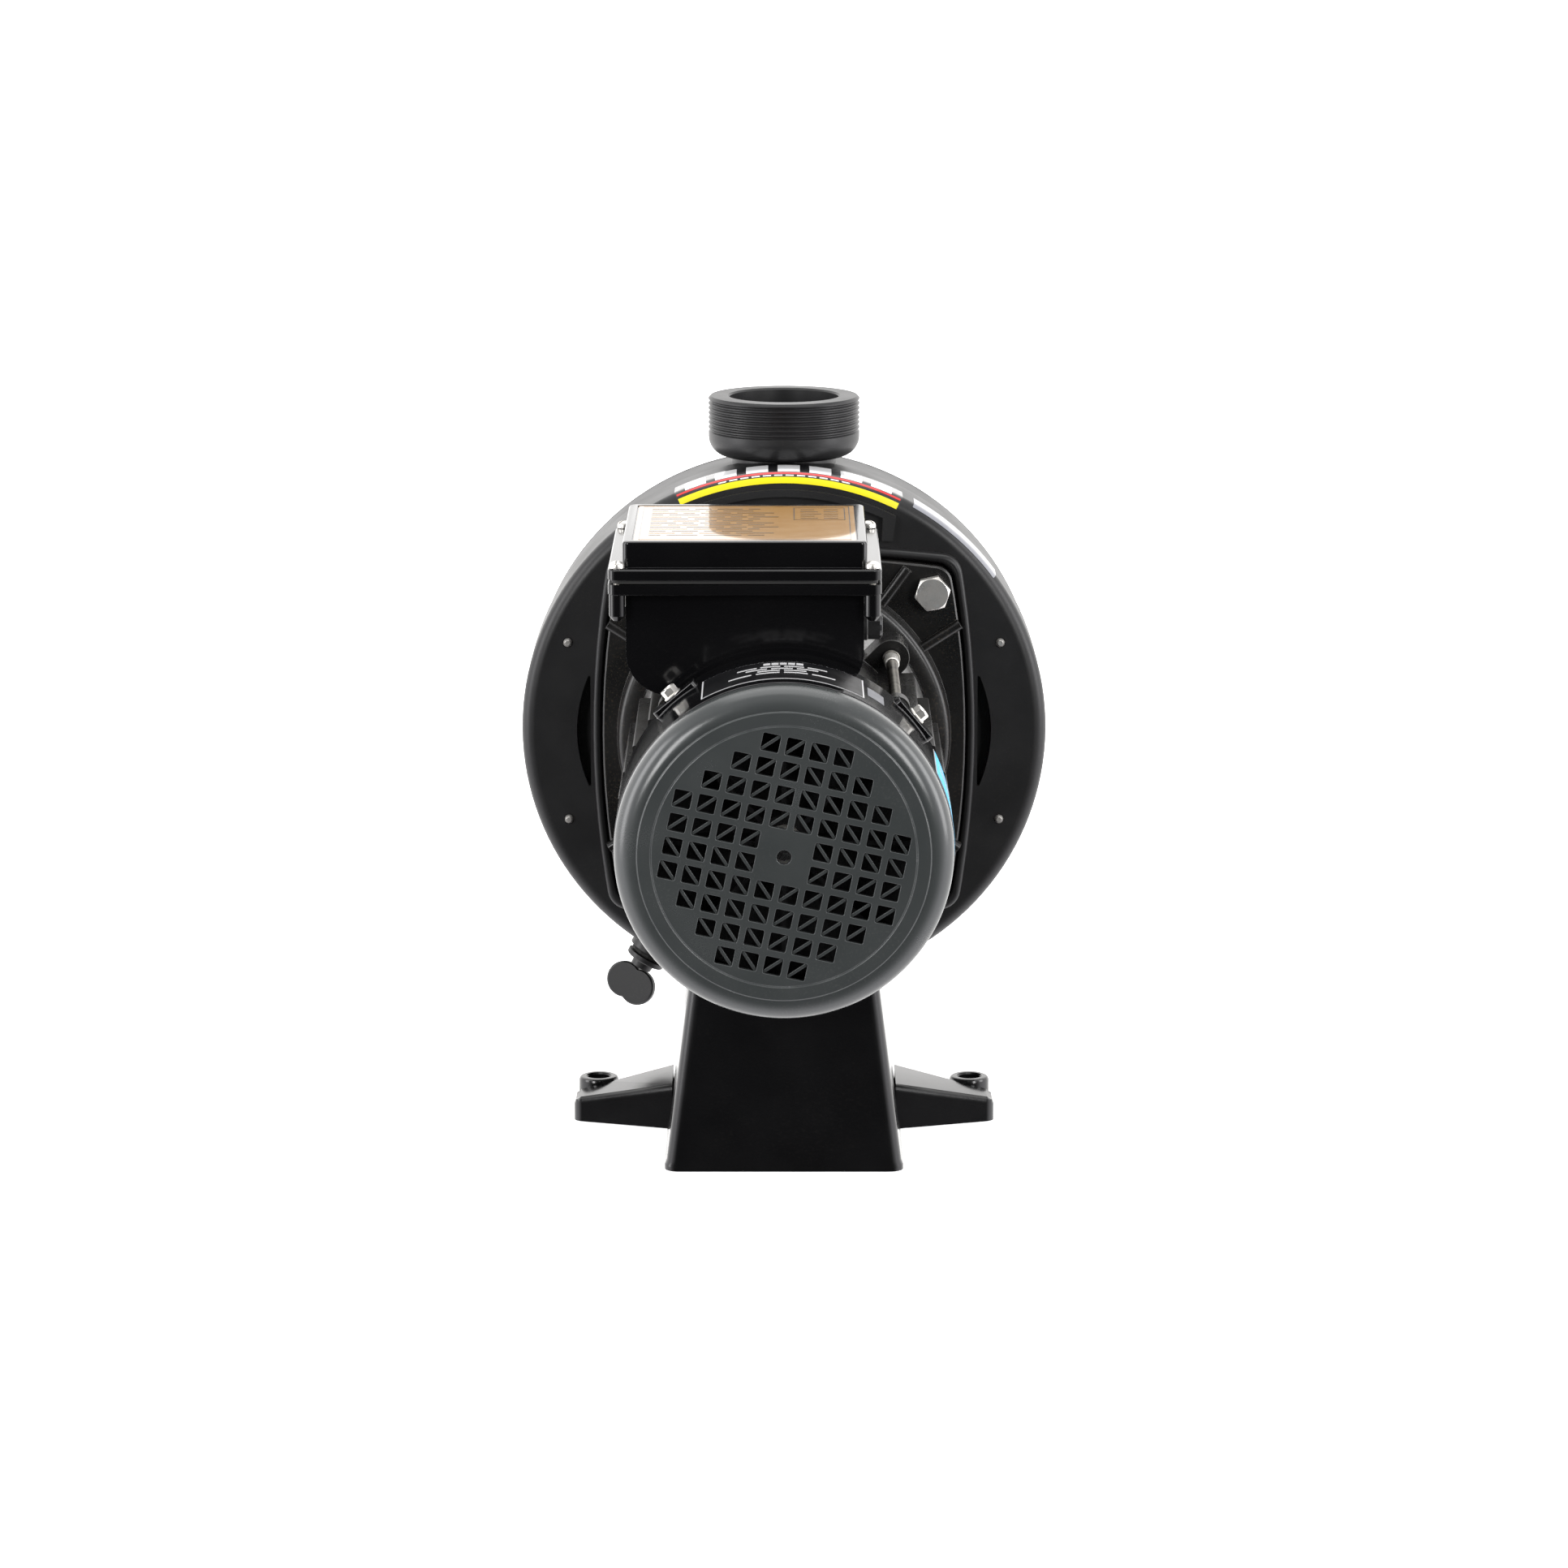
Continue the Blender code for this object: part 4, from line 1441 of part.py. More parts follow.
def make_base():
    """One moulding: tapered hollow pedestal under the motor, and two wings with anchor holes."""
    origin = Matrix.Translation((0.0, CASING_BACK_Y, 0.0))
    top = AXIS_HEIGHT - BASE_TOP_DROP
    outside = stack([(pedestal_ring(0.0, 0.0), 0.0), (pedestal_ring(top, 0.0), top)])
    base = piece("base", outside, GLOSS_BLACK, origin)
    root = BASE_FOOT_WIDTH / 2.0 - BASE_WALL / 2.0
    for side, word in ((1.0, "right"), (-1.0, "left")):
        boss_spot = origin @ Matrix.Translation((side * ANCHOR_X, -ANCHOR_SETBACK, 0.0))
        boss = prism(circle(ANCHOR_BOSS_RADIUS, ROUND_SMALL), 0.0, ANCHOR_BOSS_HEIGHT)
        fuse(base, tool("wing_" + word, wing(side, 0.0, root, 0.0), origin))
        room = wing(side, BASE_WALL, root - WING_HOLLOW_REACH, -PAST)
        cut(base, tool("wing_hollow_" + word, room, origin))
        fuse(base, tool("anchor_boss_" + word, boss, boss_spot))
    hollow = tool("pedestal_hollow", stack([(pedestal_ring(0.0, BASE_WALL), -PAST),
                                            (pedestal_ring(top, BASE_WALL), top + PAST)]), origin)
    cut(hollow, tool("base_saddle_skin", saddle(MOTOR_BODY_RADIUS + GAP + BASE_WALL), along()))
    lug_room = lug(ROD_CIRCLE_RADIUS, FRONT_LUG_HALF_WIDTH + LUG_CLEARANCE, REAR_LUG_ROOT)
    lug_start = FRONT_BELL_END - FRONT_LUG_LENGTH - ROD_HEAD_HEIGHT
    rooms = many(lug_room, lug_start - LUG_CLEARANCE, FRONT_BELL_END + LUG_CLEARANCE, rod_spots())
    cut(base, tool("base_saddle", saddle(MOTOR_BODY_RADIUS + GAP), along()), hollow,
        tool("base_lug_room", rooms, along()))
    for side, word in ((1.0, "right"), (-1.0, "left")):
        hole_spot = origin @ Matrix.Translation((side * ANCHOR_X, -ANCHOR_SETBACK, 0.0))
        hole = prism(circle(ANCHOR_HOLE_RADIUS, ROUND_SMALL), -PAST, ANCHOR_BOSS_HEIGHT + PAST)
        cut(base, tool("anchor_hole_" + word, hole, hole_spot))


make_casing_rear()
make_casing_front()
make_drain()
make_bracket()
make_seal()
make_impeller()
make_frame()
make_front_bell()
make_rear_bell()
make_rods()
make_stator_and_rotor()
make_shaft()
make_fan()
make_cowl()
make_cap()
make_terminal_box()
make_box_contents()
make_base()
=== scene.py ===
import math

import bmesh
import bpy
from mathutils import Matrix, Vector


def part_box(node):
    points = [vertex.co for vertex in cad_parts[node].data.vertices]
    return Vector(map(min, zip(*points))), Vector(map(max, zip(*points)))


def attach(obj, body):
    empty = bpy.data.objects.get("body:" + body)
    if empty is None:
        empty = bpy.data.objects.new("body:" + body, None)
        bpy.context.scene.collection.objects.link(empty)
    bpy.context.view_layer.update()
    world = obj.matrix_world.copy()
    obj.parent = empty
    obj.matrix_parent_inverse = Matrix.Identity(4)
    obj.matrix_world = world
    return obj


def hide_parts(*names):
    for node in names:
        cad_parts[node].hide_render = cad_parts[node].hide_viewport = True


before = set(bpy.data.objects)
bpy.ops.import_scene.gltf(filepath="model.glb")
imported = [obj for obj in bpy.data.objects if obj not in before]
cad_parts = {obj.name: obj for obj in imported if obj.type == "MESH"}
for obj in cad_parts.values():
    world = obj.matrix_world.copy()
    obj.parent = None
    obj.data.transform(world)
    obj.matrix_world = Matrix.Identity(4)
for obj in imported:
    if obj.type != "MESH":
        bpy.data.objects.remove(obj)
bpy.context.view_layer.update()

# The pump is laid out along its shaft: x to the right, y up, z from the casing's flat back
# towards the fan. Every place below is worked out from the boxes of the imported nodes.
gap = 0.0003
shaftLow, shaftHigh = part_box("shaft")
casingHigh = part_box("casing_rear")[1]
axisHeight = (shaftLow.z + shaftHigh.z) / 2.0
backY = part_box("motor_bracket")[1].y + gap
rightAngle = math.radians(90.0)
shaftFrame = Matrix.Translation((0.0, backY, axisHeight)) @ Matrix.Rotation(rightAngle, 4, "X")


def pumpSide(node):
    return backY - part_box(node)[1].y


def fanSide(node):
    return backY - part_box(node)[0].y


def along(z=0.0, x=0.0, up=0.0):
    return shaftFrame @ Matrix.Translation((x, up, z))


def radial(clock, z):
    # a place on the shaft axis whose own z points out at a clock angle from the top
    return along(z) @ Matrix.Rotation(math.radians(-clock), 4, "Z") @ Matrix.Rotation(-rightAngle, 4, "X")


def clockPoint(radius, clock):
    angle = math.radians(clock)
    return radius * math.sin(angle), radius * math.cos(angle)


# ---- outlines
def circle(radius, count, centre=(0.0, 0.0)):
    step = 2.0 * math.pi / count
    return [(centre[0] + radius * math.cos(step * i), centre[1] + radius * math.sin(step * i))
            for i in range(count)]


def arc(centre, radius, start, end, steps=8):
    points = []
    for i in range(steps + 1):
        angle = math.radians(start + (end - start) * i / steps)
        points.append((centre[0] + radius * math.cos(angle), centre[1] + radius * math.sin(angle)))
    return points


def rounded(corners, radii, steps=8):
    outline = []
    for i, (corner, radius) in enumerate(zip(corners, radii)):
        if radius <= 0.0:
            outline.append(corner)
            continue
        before = corners[i - 1]
        after = corners[(i + 1) % len(corners)]
        toBefore = math.atan2(before[1] - corner[1], before[0] - corner[0])
        toAfter = math.atan2(after[1] - corner[1], after[0] - corner[0])
        spread = (toAfter - toBefore + math.pi) % (2.0 * math.pi) - math.pi
        half = abs(spread) / 2.0
        middle = toBefore + spread / 2.0
        centre = (corner[0] + radius / math.sin(half) * math.cos(middle),
                  corner[1] + radius / math.sin(half) * math.sin(middle))
        sweep = math.copysign(math.pi - abs(spread), spread)
        first = toBefore - math.copysign(math.pi / 2.0, spread)
        outline += arc(centre, radius, math.degrees(first), math.degrees(first - sweep), steps)
    return outline


def rectangle(left, right, low, high, corner=0.0, steps=8):
    return rounded([(left, low), (right, low), (right, high), (left, high)], [corner] * 4, steps)


def hexagon(across, count=36, turn=0.0):
    points = []
    for i in range(count):
        angle = 2.0 * math.pi * i / count
        fromFlat = (angle % (math.pi / 3.0)) - math.pi / 6.0
        reach = across / 2.0 / math.cos(fromFlat)
        points.append((reach * math.cos(angle + turn), reach * math.sin(angle + turn)))
    return points


# ---- solids
def turned(profile, count):
    shape = bmesh.new()
    verts = [shape.verts.new((radius, 0.0, z)) for radius, z in profile]
    pairs = list(zip(verts, verts[1:]))
    if profile[0][0] > 0.0 or profile[-1][0] > 0.0:
        pairs.append((verts[-1], verts[0]))
    edges = [shape.edges.new(pair) for pair in pairs]
    bmesh.ops.spin(shape, geom=verts + edges, cent=(0.0, 0.0, 0.0), axis=(0.0, 0.0, 1.0),
                   angle=2.0 * math.pi, steps=count, use_merge=True)
    bmesh.ops.remove_doubles(shape, verts=shape.verts, dist=0.000001)
    middles = [vert for vert in shape.verts if math.hypot(vert.co.x, vert.co.y) < 0.000001]
    bmesh.ops.dissolve_verts(shape, verts=middles)
    return shape


def addStack(shape, rings, spot=Matrix.Identity(4)):
    loops = []
    for outline, z in rings:
        loops.append([shape.verts.new(spot @ Matrix.Translation((x, y, z)).translation)
                      for x, y in outline])
    shape.faces.new(loops[0])
    shape.faces.new(loops[-1])
    joinLoops(shape, loops)


def joinLoops(shape, loops):
    for one, other in zip(loops, loops[1:]):
        for i in range(len(one)):
            following = (i + 1) % len(one)
            shape.faces.new((one[i], one[following], other[following], other[i]))


def stack(rings):
    shape = bmesh.new()
    addStack(shape, rings)
    return shape


def prism(outline, low, high):
    return stack([(outline, low), (outline, high)])


def hoop(rings):
    # a ring closed on itself, through outlines of equal count
    shape = bmesh.new()
    loops = [[shape.verts.new((x, y, z)) for x, y in outline] for outline, z in rings]
    joinLoops(shape, loops + loops[:1])
    return shape


def many(rings, spots):
    shape = bmesh.new()
    for spot in spots:
        addStack(shape, rings, spot)
    return shape


def intoMesh(name, shape):
    bmesh.ops.recalc_face_normals(shape, faces=shape.faces)
    mesh = bpy.data.meshes.new(name)
    shape.to_mesh(mesh)
    shape.free()
    return mesh


def place(name, shape, spot):
    made = bpy.data.objects.new(name, intoMesh(name, shape))
    made.matrix_world = spot
    bpy.context.scene.collection.objects.link(made)
    return made


def combine(target, operation, *parts):
    # each part is (shape, place); it is used up here
    for number, (shape, spot) in enumerate(parts):
        helper = place("helper", shape, spot)
        step = target.modifiers.new(f"step{number}", "BOOLEAN")
        step.operation = operation
        step.solver = "EXACT"
        step.object = helper
        settle(target)
        bpy.data.objects.remove(helper, do_unlink=True)


def settle(target):
    bpy.context.view_layer.update()
    graph = bpy.context.evaluated_depsgraph_get()
    old = target.data
    new = bpy.data.meshes.new_from_object(target.evaluated_get(graph))
    target.modifiers.clear()
    target.data = new
    bpy.data.meshes.remove(old)


def soften(piece, width, segments=3, angle=30.0):
    mesh = piece.data
    mesh.shade_smooth()
    mesh.set_sharp_from_angle(angle=math.radians(angle))
    if width > 0.0:
        step = piece.modifiers.new("edges", "BEVEL")
        step.width = width
        step.segments = segments
        step.limit_method = "ANGLE"
        step.angle_limit = math.radians(angle)
        step.harden_normals = True
        step.use_clamp_overlap = True
        # the bevel faces take the last material, which is a painted edge highlight when the finish has one
        step.material = len(mesh.materials) - 1
    flat = piece.modifiers.new("flat faces", "WEIGHTED_NORMAL")
    flat.keep_sharp = True


def dress(piece, look, nodes=(), body="body", bevel=0.0, segments=3, angle=30.0):
    piece.data.materials.clear()
    piece.data.materials.append(look)
    # the second material is a lighter copy of the finish: painted highlight for the bevel faces
    if look.name in paintedEdgeHighlights:
        piece.data.materials.append(paintedEdgeHighlights[look.name])
    soften(piece, bevel, segments, angle)
    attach(piece, body)
    if nodes:
        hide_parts(*nodes)
    return piece


# ---- finishes
def addNode(tree, kind, **settings):
    node = tree.nodes.new(kind)
    for name, value in settings.items():
        setattr(node, name, value)
    return node


def noise(tree, coords, scale, detail=4.0, stretch=None):
    source = coords
    if stretch:
        mapping = addNode(tree, "ShaderNodeMapping")
        mapping.inputs["Scale"].default_value = stretch
        tree.links.new(coords, mapping.inputs["Vector"])
        source = mapping.outputs["Vector"]
    node = addNode(tree, "ShaderNodeTexNoise")
    node.inputs["Scale"].default_value = scale
    node.inputs["Detail"].default_value = detail
    tree.links.new(source, node.inputs["Vector"])
    return node.outputs["Fac"]


def between(tree, source, low, high, fromLow=0.3, fromHigh=0.7):
    node = addNode(tree, "ShaderNodeMapRange")
    node.inputs["From Min"].default_value = fromLow
    node.inputs["From Max"].default_value = fromHigh
    node.inputs["To Min"].default_value = low
    node.inputs["To Max"].default_value = high
    tree.links.new(source, node.inputs["Value"])
    return node.outputs["Result"]


def blendColour(tree, factor, first, second):
    node = addNode(tree, "ShaderNodeMix", data_type="RGBA")
    tree.links.new(factor, node.inputs["Factor"])
    for value, socket in ((first, node.inputs[6]), (second, node.inputs[7])):
        if isinstance(value, tuple):
            socket.default_value = (*value, 1.0)
        else:
            tree.links.new(value, socket)
    return node.outputs[2]


def finishOf(name, colour, blotchTone, roughness, metallic=0.0, blotch=35.0, grain=1500.0, grainDepth=0.00003,
             dust=None, dustAmount=0.0, coat=0.0, coatRoughness=0.05, specular=0.5,
             brushed=None):
    made = bpy.data.materials.new(name)
    made.use_nodes = True
    tree = made.node_tree
    shader = tree.nodes["Principled BSDF"]
    shader.inputs["Metallic"].default_value = metallic
    shader.inputs["Coat Weight"].default_value = coat
    shader.inputs["Coat Roughness"].default_value = coatRoughness
    shader.inputs["Specular IOR Level"].default_value = specular
    coords = addNode(tree, "ShaderNodeTexCoord").outputs["Object"]
    cloud = noise(tree, coords, blotch, 6.0)
    base = blendColour(tree, between(tree, cloud, 0.0, 1.0), colour, blotchTone)
    if dust:
        speck = noise(tree, coords, blotch * 28.0, 3.0)
        drift = noise(tree, coords, blotch * 0.8, 3.0)
        both = addNode(tree, "ShaderNodeMath", operation="MULTIPLY")
        tree.links.new(between(tree, speck, 0.0, 1.0, 0.55, 0.72), both.inputs[0])
        tree.links.new(between(tree, drift, 0.0, dustAmount, 0.42, 0.62), both.inputs[1])
        base = blendColour(tree, both.outputs[0], base, dust)
    tree.links.new(base, shader.inputs["Base Color"])
    fine = noise(tree, coords, grain, 2.0, brushed)
    mixed = addNode(tree, "ShaderNodeMath", operation="MULTIPLY_ADD")
    tree.links.new(fine, mixed.inputs[0])
    mixed.inputs[1].default_value = 0.35
    tree.links.new(cloud, mixed.inputs[2])
    tree.links.new(between(tree, mixed.outputs[0], roughness[0], roughness[1], 0.45, 0.9),
                   shader.inputs["Roughness"])
    bump = addNode(tree, "ShaderNodeBump")
    bump.inputs["Strength"].default_value = 1.0
    bump.inputs["Distance"].default_value = grainDepth
    tree.links.new(fine, bump.inputs["Height"])
    tree.links.new(bump.outputs["Normal"], shader.inputs["Normal"])
    return made


satinBlack = finishOf("satinBlack", (0.012, 0.012, 0.0125), (0.016, 0.016, 0.0165), (0.34, 0.43),
                      grain=1400.0, grainDepth=0.000010, dust=(0.09, 0.08, 0.07), dustAmount=0.10,
                      specular=0.36)
glossBlack = finishOf("glossBlack", (0.0030, 0.0030, 0.0034), (0.0042, 0.0042, 0.0046), (0.08, 0.13),
                      grain=420.0, grainDepth=0.000001, dust=(0.08, 0.07, 0.06), dustAmount=0.03,
                      specular=0.42)
baseBlack = finishOf("baseBlack", (0.0036, 0.0036, 0.0039), (0.0052, 0.0052, 0.0055), (0.15, 0.22),
                     grain=900.0, grainDepth=0.000002, dust=(0.09, 0.08, 0.07), dustAmount=0.04,
                     specular=0.5)
castBlack = finishOf("castBlack", (0.008, 0.008, 0.008), (0.013, 0.0125, 0.012), (0.22, 0.36), grain=520.0,
                     grainDepth=0.00003, dust=(0.13, 0.10, 0.07), dustAmount=0.3, specular=0.4)
capGrey = finishOf("capGrey", (0.036, 0.040, 0.040), (0.043, 0.047, 0.047), (0.20, 0.28), grain=2600.0,
                   grainDepth=0.000008, dust=(0.14, 0.14, 0.13), dustAmount=0.10, specular=0.6)
# lighter, glossier copies of the finishes for the bevel faces: painted highlights along the edges, not wear
paintedEdgeHighlights = {
    "satinBlack": finishOf("satinBlackEdgeHighlight", (0.018, 0.018, 0.018), (0.045, 0.045, 0.045), (0.26, 0.38),
                           blotch=110.0, grainDepth=0.000010),
    "glossBlack": finishOf("glossBlackEdgeHighlight", (0.010, 0.010, 0.010), (0.040, 0.040, 0.041), (0.10, 0.2),
                           blotch=110.0, grainDepth=0.000002),
    "baseBlack": finishOf("baseBlackEdgeHighlight", (0.010, 0.010, 0.010), (0.045, 0.044, 0.042), (0.12, 0.22),
                          blotch=90.0, grainDepth=0.000002),
    "castBlack": finishOf("castBlackEdgeHighlight", (0.03, 0.03, 0.03), (0.12, 0.118, 0.112), (0.22, 0.36),
                          blotch=140.0, grainDepth=0.00002),
    "capGrey": finishOf("capGreyEdgeHighlight", (0.055, 0.060, 0.061), (0.085, 0.09, 0.09), (0.2, 0.28),
                        blotch=120.0, grainDepth=0.000008),
}
plainAluminium = finishOf("plainAluminium", (0.80, 0.80, 0.79), (0.66, 0.655, 0.64), (0.32, 0.45), 0.25,
                          grain=900.0, grainDepth=0.00002, brushed=(1.0, 1.0, 9.0), dust=(0.2, 0.16, 0.12),
                          dustAmount=0.4)
brightSteel = finishOf("brightSteel", (0.80, 0.785, 0.75), (0.68, 0.66, 0.62), (0.27, 0.40), 0.85,
                       blotch=160.0, grain=1500.0, grainDepth=0.00002, dust=(0.2, 0.17, 0.13),
                       dustAmount=0.4)
darkSteel = finishOf("darkSteel", (0.10, 0.098, 0.094), (0.20, 0.19, 0.17), (0.32, 0.5), 1.0, blotch=220.0,
                     grain=1800.0, dust=(0.12, 0.08, 0.05), dustAmount=0.6)
shaftSteel = finishOf("shaftSteel", (0.55, 0.55, 0.56), (0.46, 0.46, 0.46), (0.2, 0.34), 1.0, grain=1200.0,
                      brushed=(1.0, 9.0, 1.0))
laminationSteel = finishOf("laminationSteel", (0.28, 0.28, 0.29), (0.20, 0.19, 0.18), (0.4, 0.6), 1.0,
                           grain=900.0, grainDepth=0.0001, brushed=(0.2, 6.0, 0.2))
windingCopper = finishOf("windingCopper", (0.60, 0.25, 0.11), (0.42, 0.15, 0.06), (0.28, 0.45), 1.0,
                         grain=700.0, grainDepth=0.0002, brushed=(1.0, 5.0, 1.0))
blackRubber = finishOf("blackRubber", (0.013, 0.013, 0.013), (0.022, 0.022, 0.021), (0.6, 0.8),
                       grain=1800.0, grainDepth=0.00006)
sealCeramic = finishOf("sealCeramic", (0.82, 0.80, 0.74), (0.76, 0.73, 0.66), (0.22, 0.36), grain=2000.0)
sealCarbon = finishOf("sealCarbon", (0.03, 0.03, 0.03), (0.045, 0.045, 0.045), (0.3, 0.45), grain=1600.0)
whitePlastic = finishOf("whitePlastic", (0.75, 0.75, 0.72), (0.68, 0.67, 0.63), (0.35, 0.5), grain=1600.0)
greyPlastic = finishOf("greyPlastic", (0.10, 0.105, 0.11), (0.13, 0.135, 0.14), (0.35, 0.55), grain=1500.0,
                       dust=(0.2, 0.18, 0.15), dustAmount=0.5)


fanBlack = finishOf("fanBlack", (0.010, 0.010, 0.011), (0.016, 0.016, 0.017), (0.4, 0.55), grain=1500.0,
                    dust=(0.10, 0.09, 0.08), dustAmount=0.2)


def labelFinish(name, colour, blotchTone, roughness=(0.28, 0.4), coat=0.7):
    return finishOf(name, colour, blotchTone, roughness, blotch=90.0, grain=2200.0, grainDepth=0.000003,
                    coat=coat, coatRoughness=0.03)


labelBlack = labelFinish("labelBlack", (0.004, 0.004, 0.005), (0.007, 0.007, 0.008))
labelWhite = labelFinish("labelWhite", (0.85, 0.85, 0.85), (0.78, 0.78, 0.79))
labelRed = labelFinish("labelRed", (0.66, 0.008, 0.008), (0.56, 0.015, 0.015))
labelYellow = labelFinish("labelYellow", (0.86, 0.76, 0.004), (0.80, 0.70, 0.01))
labelCyan = labelFinish("labelCyan", (0.004, 0.42, 0.72), (0.006, 0.36, 0.64), (0.45, 0.6), 0.0)
labelSilver = labelFinish("labelSilver", (0.24, 0.245, 0.27), (0.18, 0.185, 0.21))
plateGold = labelFinish("plateGold", (0.50, 0.235, 0.004), (0.44, 0.20, 0.004), coat=1.0)
print("finishes made")


# ---- labels wrapped on turned surfaces
def wrap(name, look, path, patches, lift, thickness=0.00008, stepClock=1.5, stepAlong=0.0015):
    # patches are (clock from, clock to, start, end); path gives radius, z and the outward direction
    shape = bmesh.new()
    for clockFrom, clockTo, start, end in patches:
        across = max(2, int(abs(clockTo - clockFrom) / stepClock) + 1)
        deep = max(2, int(abs(end - start) / stepAlong) + 1)
        sides = []
        for height in (lift, lift + thickness):
            rows = []
            for i in range(across + 1):
                clock = math.radians(clockFrom + (clockTo - clockFrom) * i / across)
                row = []
                for j in range(deep + 1):
                    radius, z, outR, outZ = path(start + (end - start) * j / deep)
                    reach = radius + outR * height
                    row.append(shape.verts.new((reach * math.sin(clock), reach * math.cos(clock),
                                                z + outZ * height)))
                rows.append(row)
            sides.append(rows)
        low, high = sides
        for rows in (low, high):
            for i in range(across):
                for j in range(deep):
                    shape.faces.new((rows[i][j], rows[i + 1][j], rows[i + 1][j + 1], rows[i][j + 1]))
        for i in range(across):
            for j in (0, deep):
                shape.faces.new((low[i][j], low[i + 1][j], high[i + 1][j], high[i][j]))
        for j in range(deep):
            for i in (0, across):
                shape.faces.new((low[i][j], low[i][j + 1], high[i][j + 1], high[i][j]))
    return dress(place(name, shape, along()), look, angle=50.0)


# ---- casing
casing = {
    "segments": 144,
    "wall": 0.004,
    "edge": 0.0061,                 # rounding of the rim round the flat back
    "bandDepth": 0.038,
    "bandStep": 0.0012,
    "opening": 0.062,
    "screwInset": 0.0132,
    "screwClock": 67.38,
    "columnRadius": 0.0045,
    "spigotLength": 0.005,
    "spigotWall": 0.0064,
    "eyeTube": (0.021, 0.024),
    "neckMargin": 0.0022,
}
port = {
    "radius": 0.03475,
    "reach": 0.037,                 # how far the suction port stands out of the cover
    "bore": 0.0251,
    "duct": 0.0195,
    "socketDepth": 0.021,
    "neck": 0.0238,
    "round": 0.009,
    "threadPitch": 0.0022,
    "threadDepth": 0.00085,
    "threads": 7,
}
ridge = {
    "cornerX": 0.0795,
    "cornerUp": 0.0815,
    "sideBulge": 0.0075,
    "topBulge": 0.0052,
    "cornerRound": 0.010,
    "width": 0.0036,
    "height": 0.0065,
}
pocket = {"half": 0.0255, "offset": 0.0012, "bulge": 0.0063, "endWidth": 0.001, "depth": 0.009,
          "wall": 0.0025}
eyebrow = {"inset": 0.0113, "width": 0.0032, "halfAngle": 27.0, "height": 0.004, "legDrop": 0.0083,
           "legWidth": 0.005}
bolt = {"insetX": 0.0125, "insetUp": 0.0155, "radius": 0.00475, "across": 0.0143, "height": 0.0061,
        "length": 0.0236, "columnRadius": 0.0085, "columnDepth": 0.016}
drain = {"clock": 210.0, "bossRadius": 0.010, "bossReach": 0.0045, "shank": 0.006}
casingRadius = casingHigh.x
innerRadius = casingRadius - casing["wall"]
coverRadius = casingRadius - casing["bandStep"]
parting = pumpSide("casing_rear")
coverFront = pumpSide("casing_front") + port["reach"]
portTop = casingHigh.z - axisHeight
portSetback = -parting - port["neck"] - casing["neckMargin"]
portAxis = radial(0.0, -portSetback)
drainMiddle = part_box("drain_oring")
drainSetback = (drainMiddle[0].y + drainMiddle[1].y) / 2.0 - backY
drainAxis = radial(drain["clock"], -drainSetback)


def bowedSide(start, end, bulge, steps):
    across = (end[0] - start[0], end[1] - start[1])
    length = math.hypot(*across)
    outward = (across[1] / length, -across[0] / length)
    points = []
    for i in range(steps):
        share = i / steps
        bow = bulge * (1.0 - (2.0 * share - 1.0) ** 2)
        points.append((start[0] + across[0] * share + outward[0] * bow,
                       start[1] + across[1] * share + outward[1] * bow))
    return points


def shield(inset=0.0, steps=12):
    x = ridge["cornerX"] - inset
    up = ridge["cornerUp"] - inset
    corners = [(-x, -up), (x, -up), (x, up), (-x, up)]
    bulges = [ridge["topBulge"], ridge["sideBulge"], ridge["topBulge"], ridge["sideBulge"]]
    points = []
    radii = []
    for i, bulge in enumerate(bulges):
        points += bowedSide(corners[i], corners[(i + 1) % 4], bulge, steps)
        radii += [min(ridge["cornerRound"] - inset / 2.0, 0.010)] + [0.0] * (steps - 1)
    # the corner's rounding stays shorter than the stretches of side next to it
    return rounded(points, radii, 8)


def four(x, up):
    return [Matrix.Translation((a * x, b * up, 0.0)) for a, b in ((1, 1), (-1, 1), (-1, -1), (1, -1))]


screwSpots = four(*clockPoint(casingRadius - casing["screwInset"], casing["screwClock"]))
boltSpots = four(ridge["cornerX"] - bolt["insetX"], ridge["cornerUp"] - bolt["insetUp"])


def threadedBand(radius, top):
    # rings of thread from the port's mouth down, as profile points from the top
    points = [(radius - 0.001, top), (radius, top - 0.001)]
    pitch = port["threadPitch"]
    root = radius - port["threadDepth"]
    for i in range(port["threads"]):
        crest = top - 0.0016 - i * pitch
        points += [(radius, crest), (root, crest - 0.30 * pitch), (root, crest - 0.48 * pitch),
                   (radius, crest - 0.78 * pitch)]
    return points


def eyebrowOutline():
    inner = casingRadius - eyebrow["inset"]
    outer = inner + eyebrow["width"]
    half = eyebrow["halfAngle"]
    left = clockPoint(inner, -half)
    right = clockPoint(inner, half)
    bottom = right[1] - eyebrow["legDrop"]
    turn = math.degrees(eyebrow["legWidth"] / inner)
    outline = arc((0.0, 0.0), outer, 90.0 + half, 90.0 - half, 32)
    outline += [(right[0], bottom), (right[0] - eyebrow["legWidth"], bottom)]
    outline += arc((0.0, 0.0), inner, 90.0 - half + turn, 90.0 + half - turn, 32)
    outline += [(left[0] + eyebrow["legWidth"], bottom), (left[0], bottom)]
    return outline


def lens(side, widen):
    half = pocket["half"] + widen
    inner = ridge["cornerX"] + ridge["sideBulge"] + pocket["offset"] - widen
    bulge = pocket["bulge"] + 2.0 * widen - pocket["endWidth"]
    outline = [(side * inner, -half)]
    for i in range(21):
        share = i / 10.0 - 1.0
        outline.append((side * (inner + pocket["endWidth"] + bulge * (1.0 - share ** 2)), half * share))
    outline.append((side * inner, half))
    return outline


def portBore(top, bottom):
    depth = port["socketDepth"]
    return turned([(0.0, bottom), (port["duct"], bottom), (port["duct"], top - depth),
                   (port["bore"], top - depth), (port["bore"], top - 0.0008),
                   (port["bore"] + 0.001, top + 0.0002), (port["bore"] + 0.001, top + 0.002),
                   (0.0, top + 0.002)], 96)


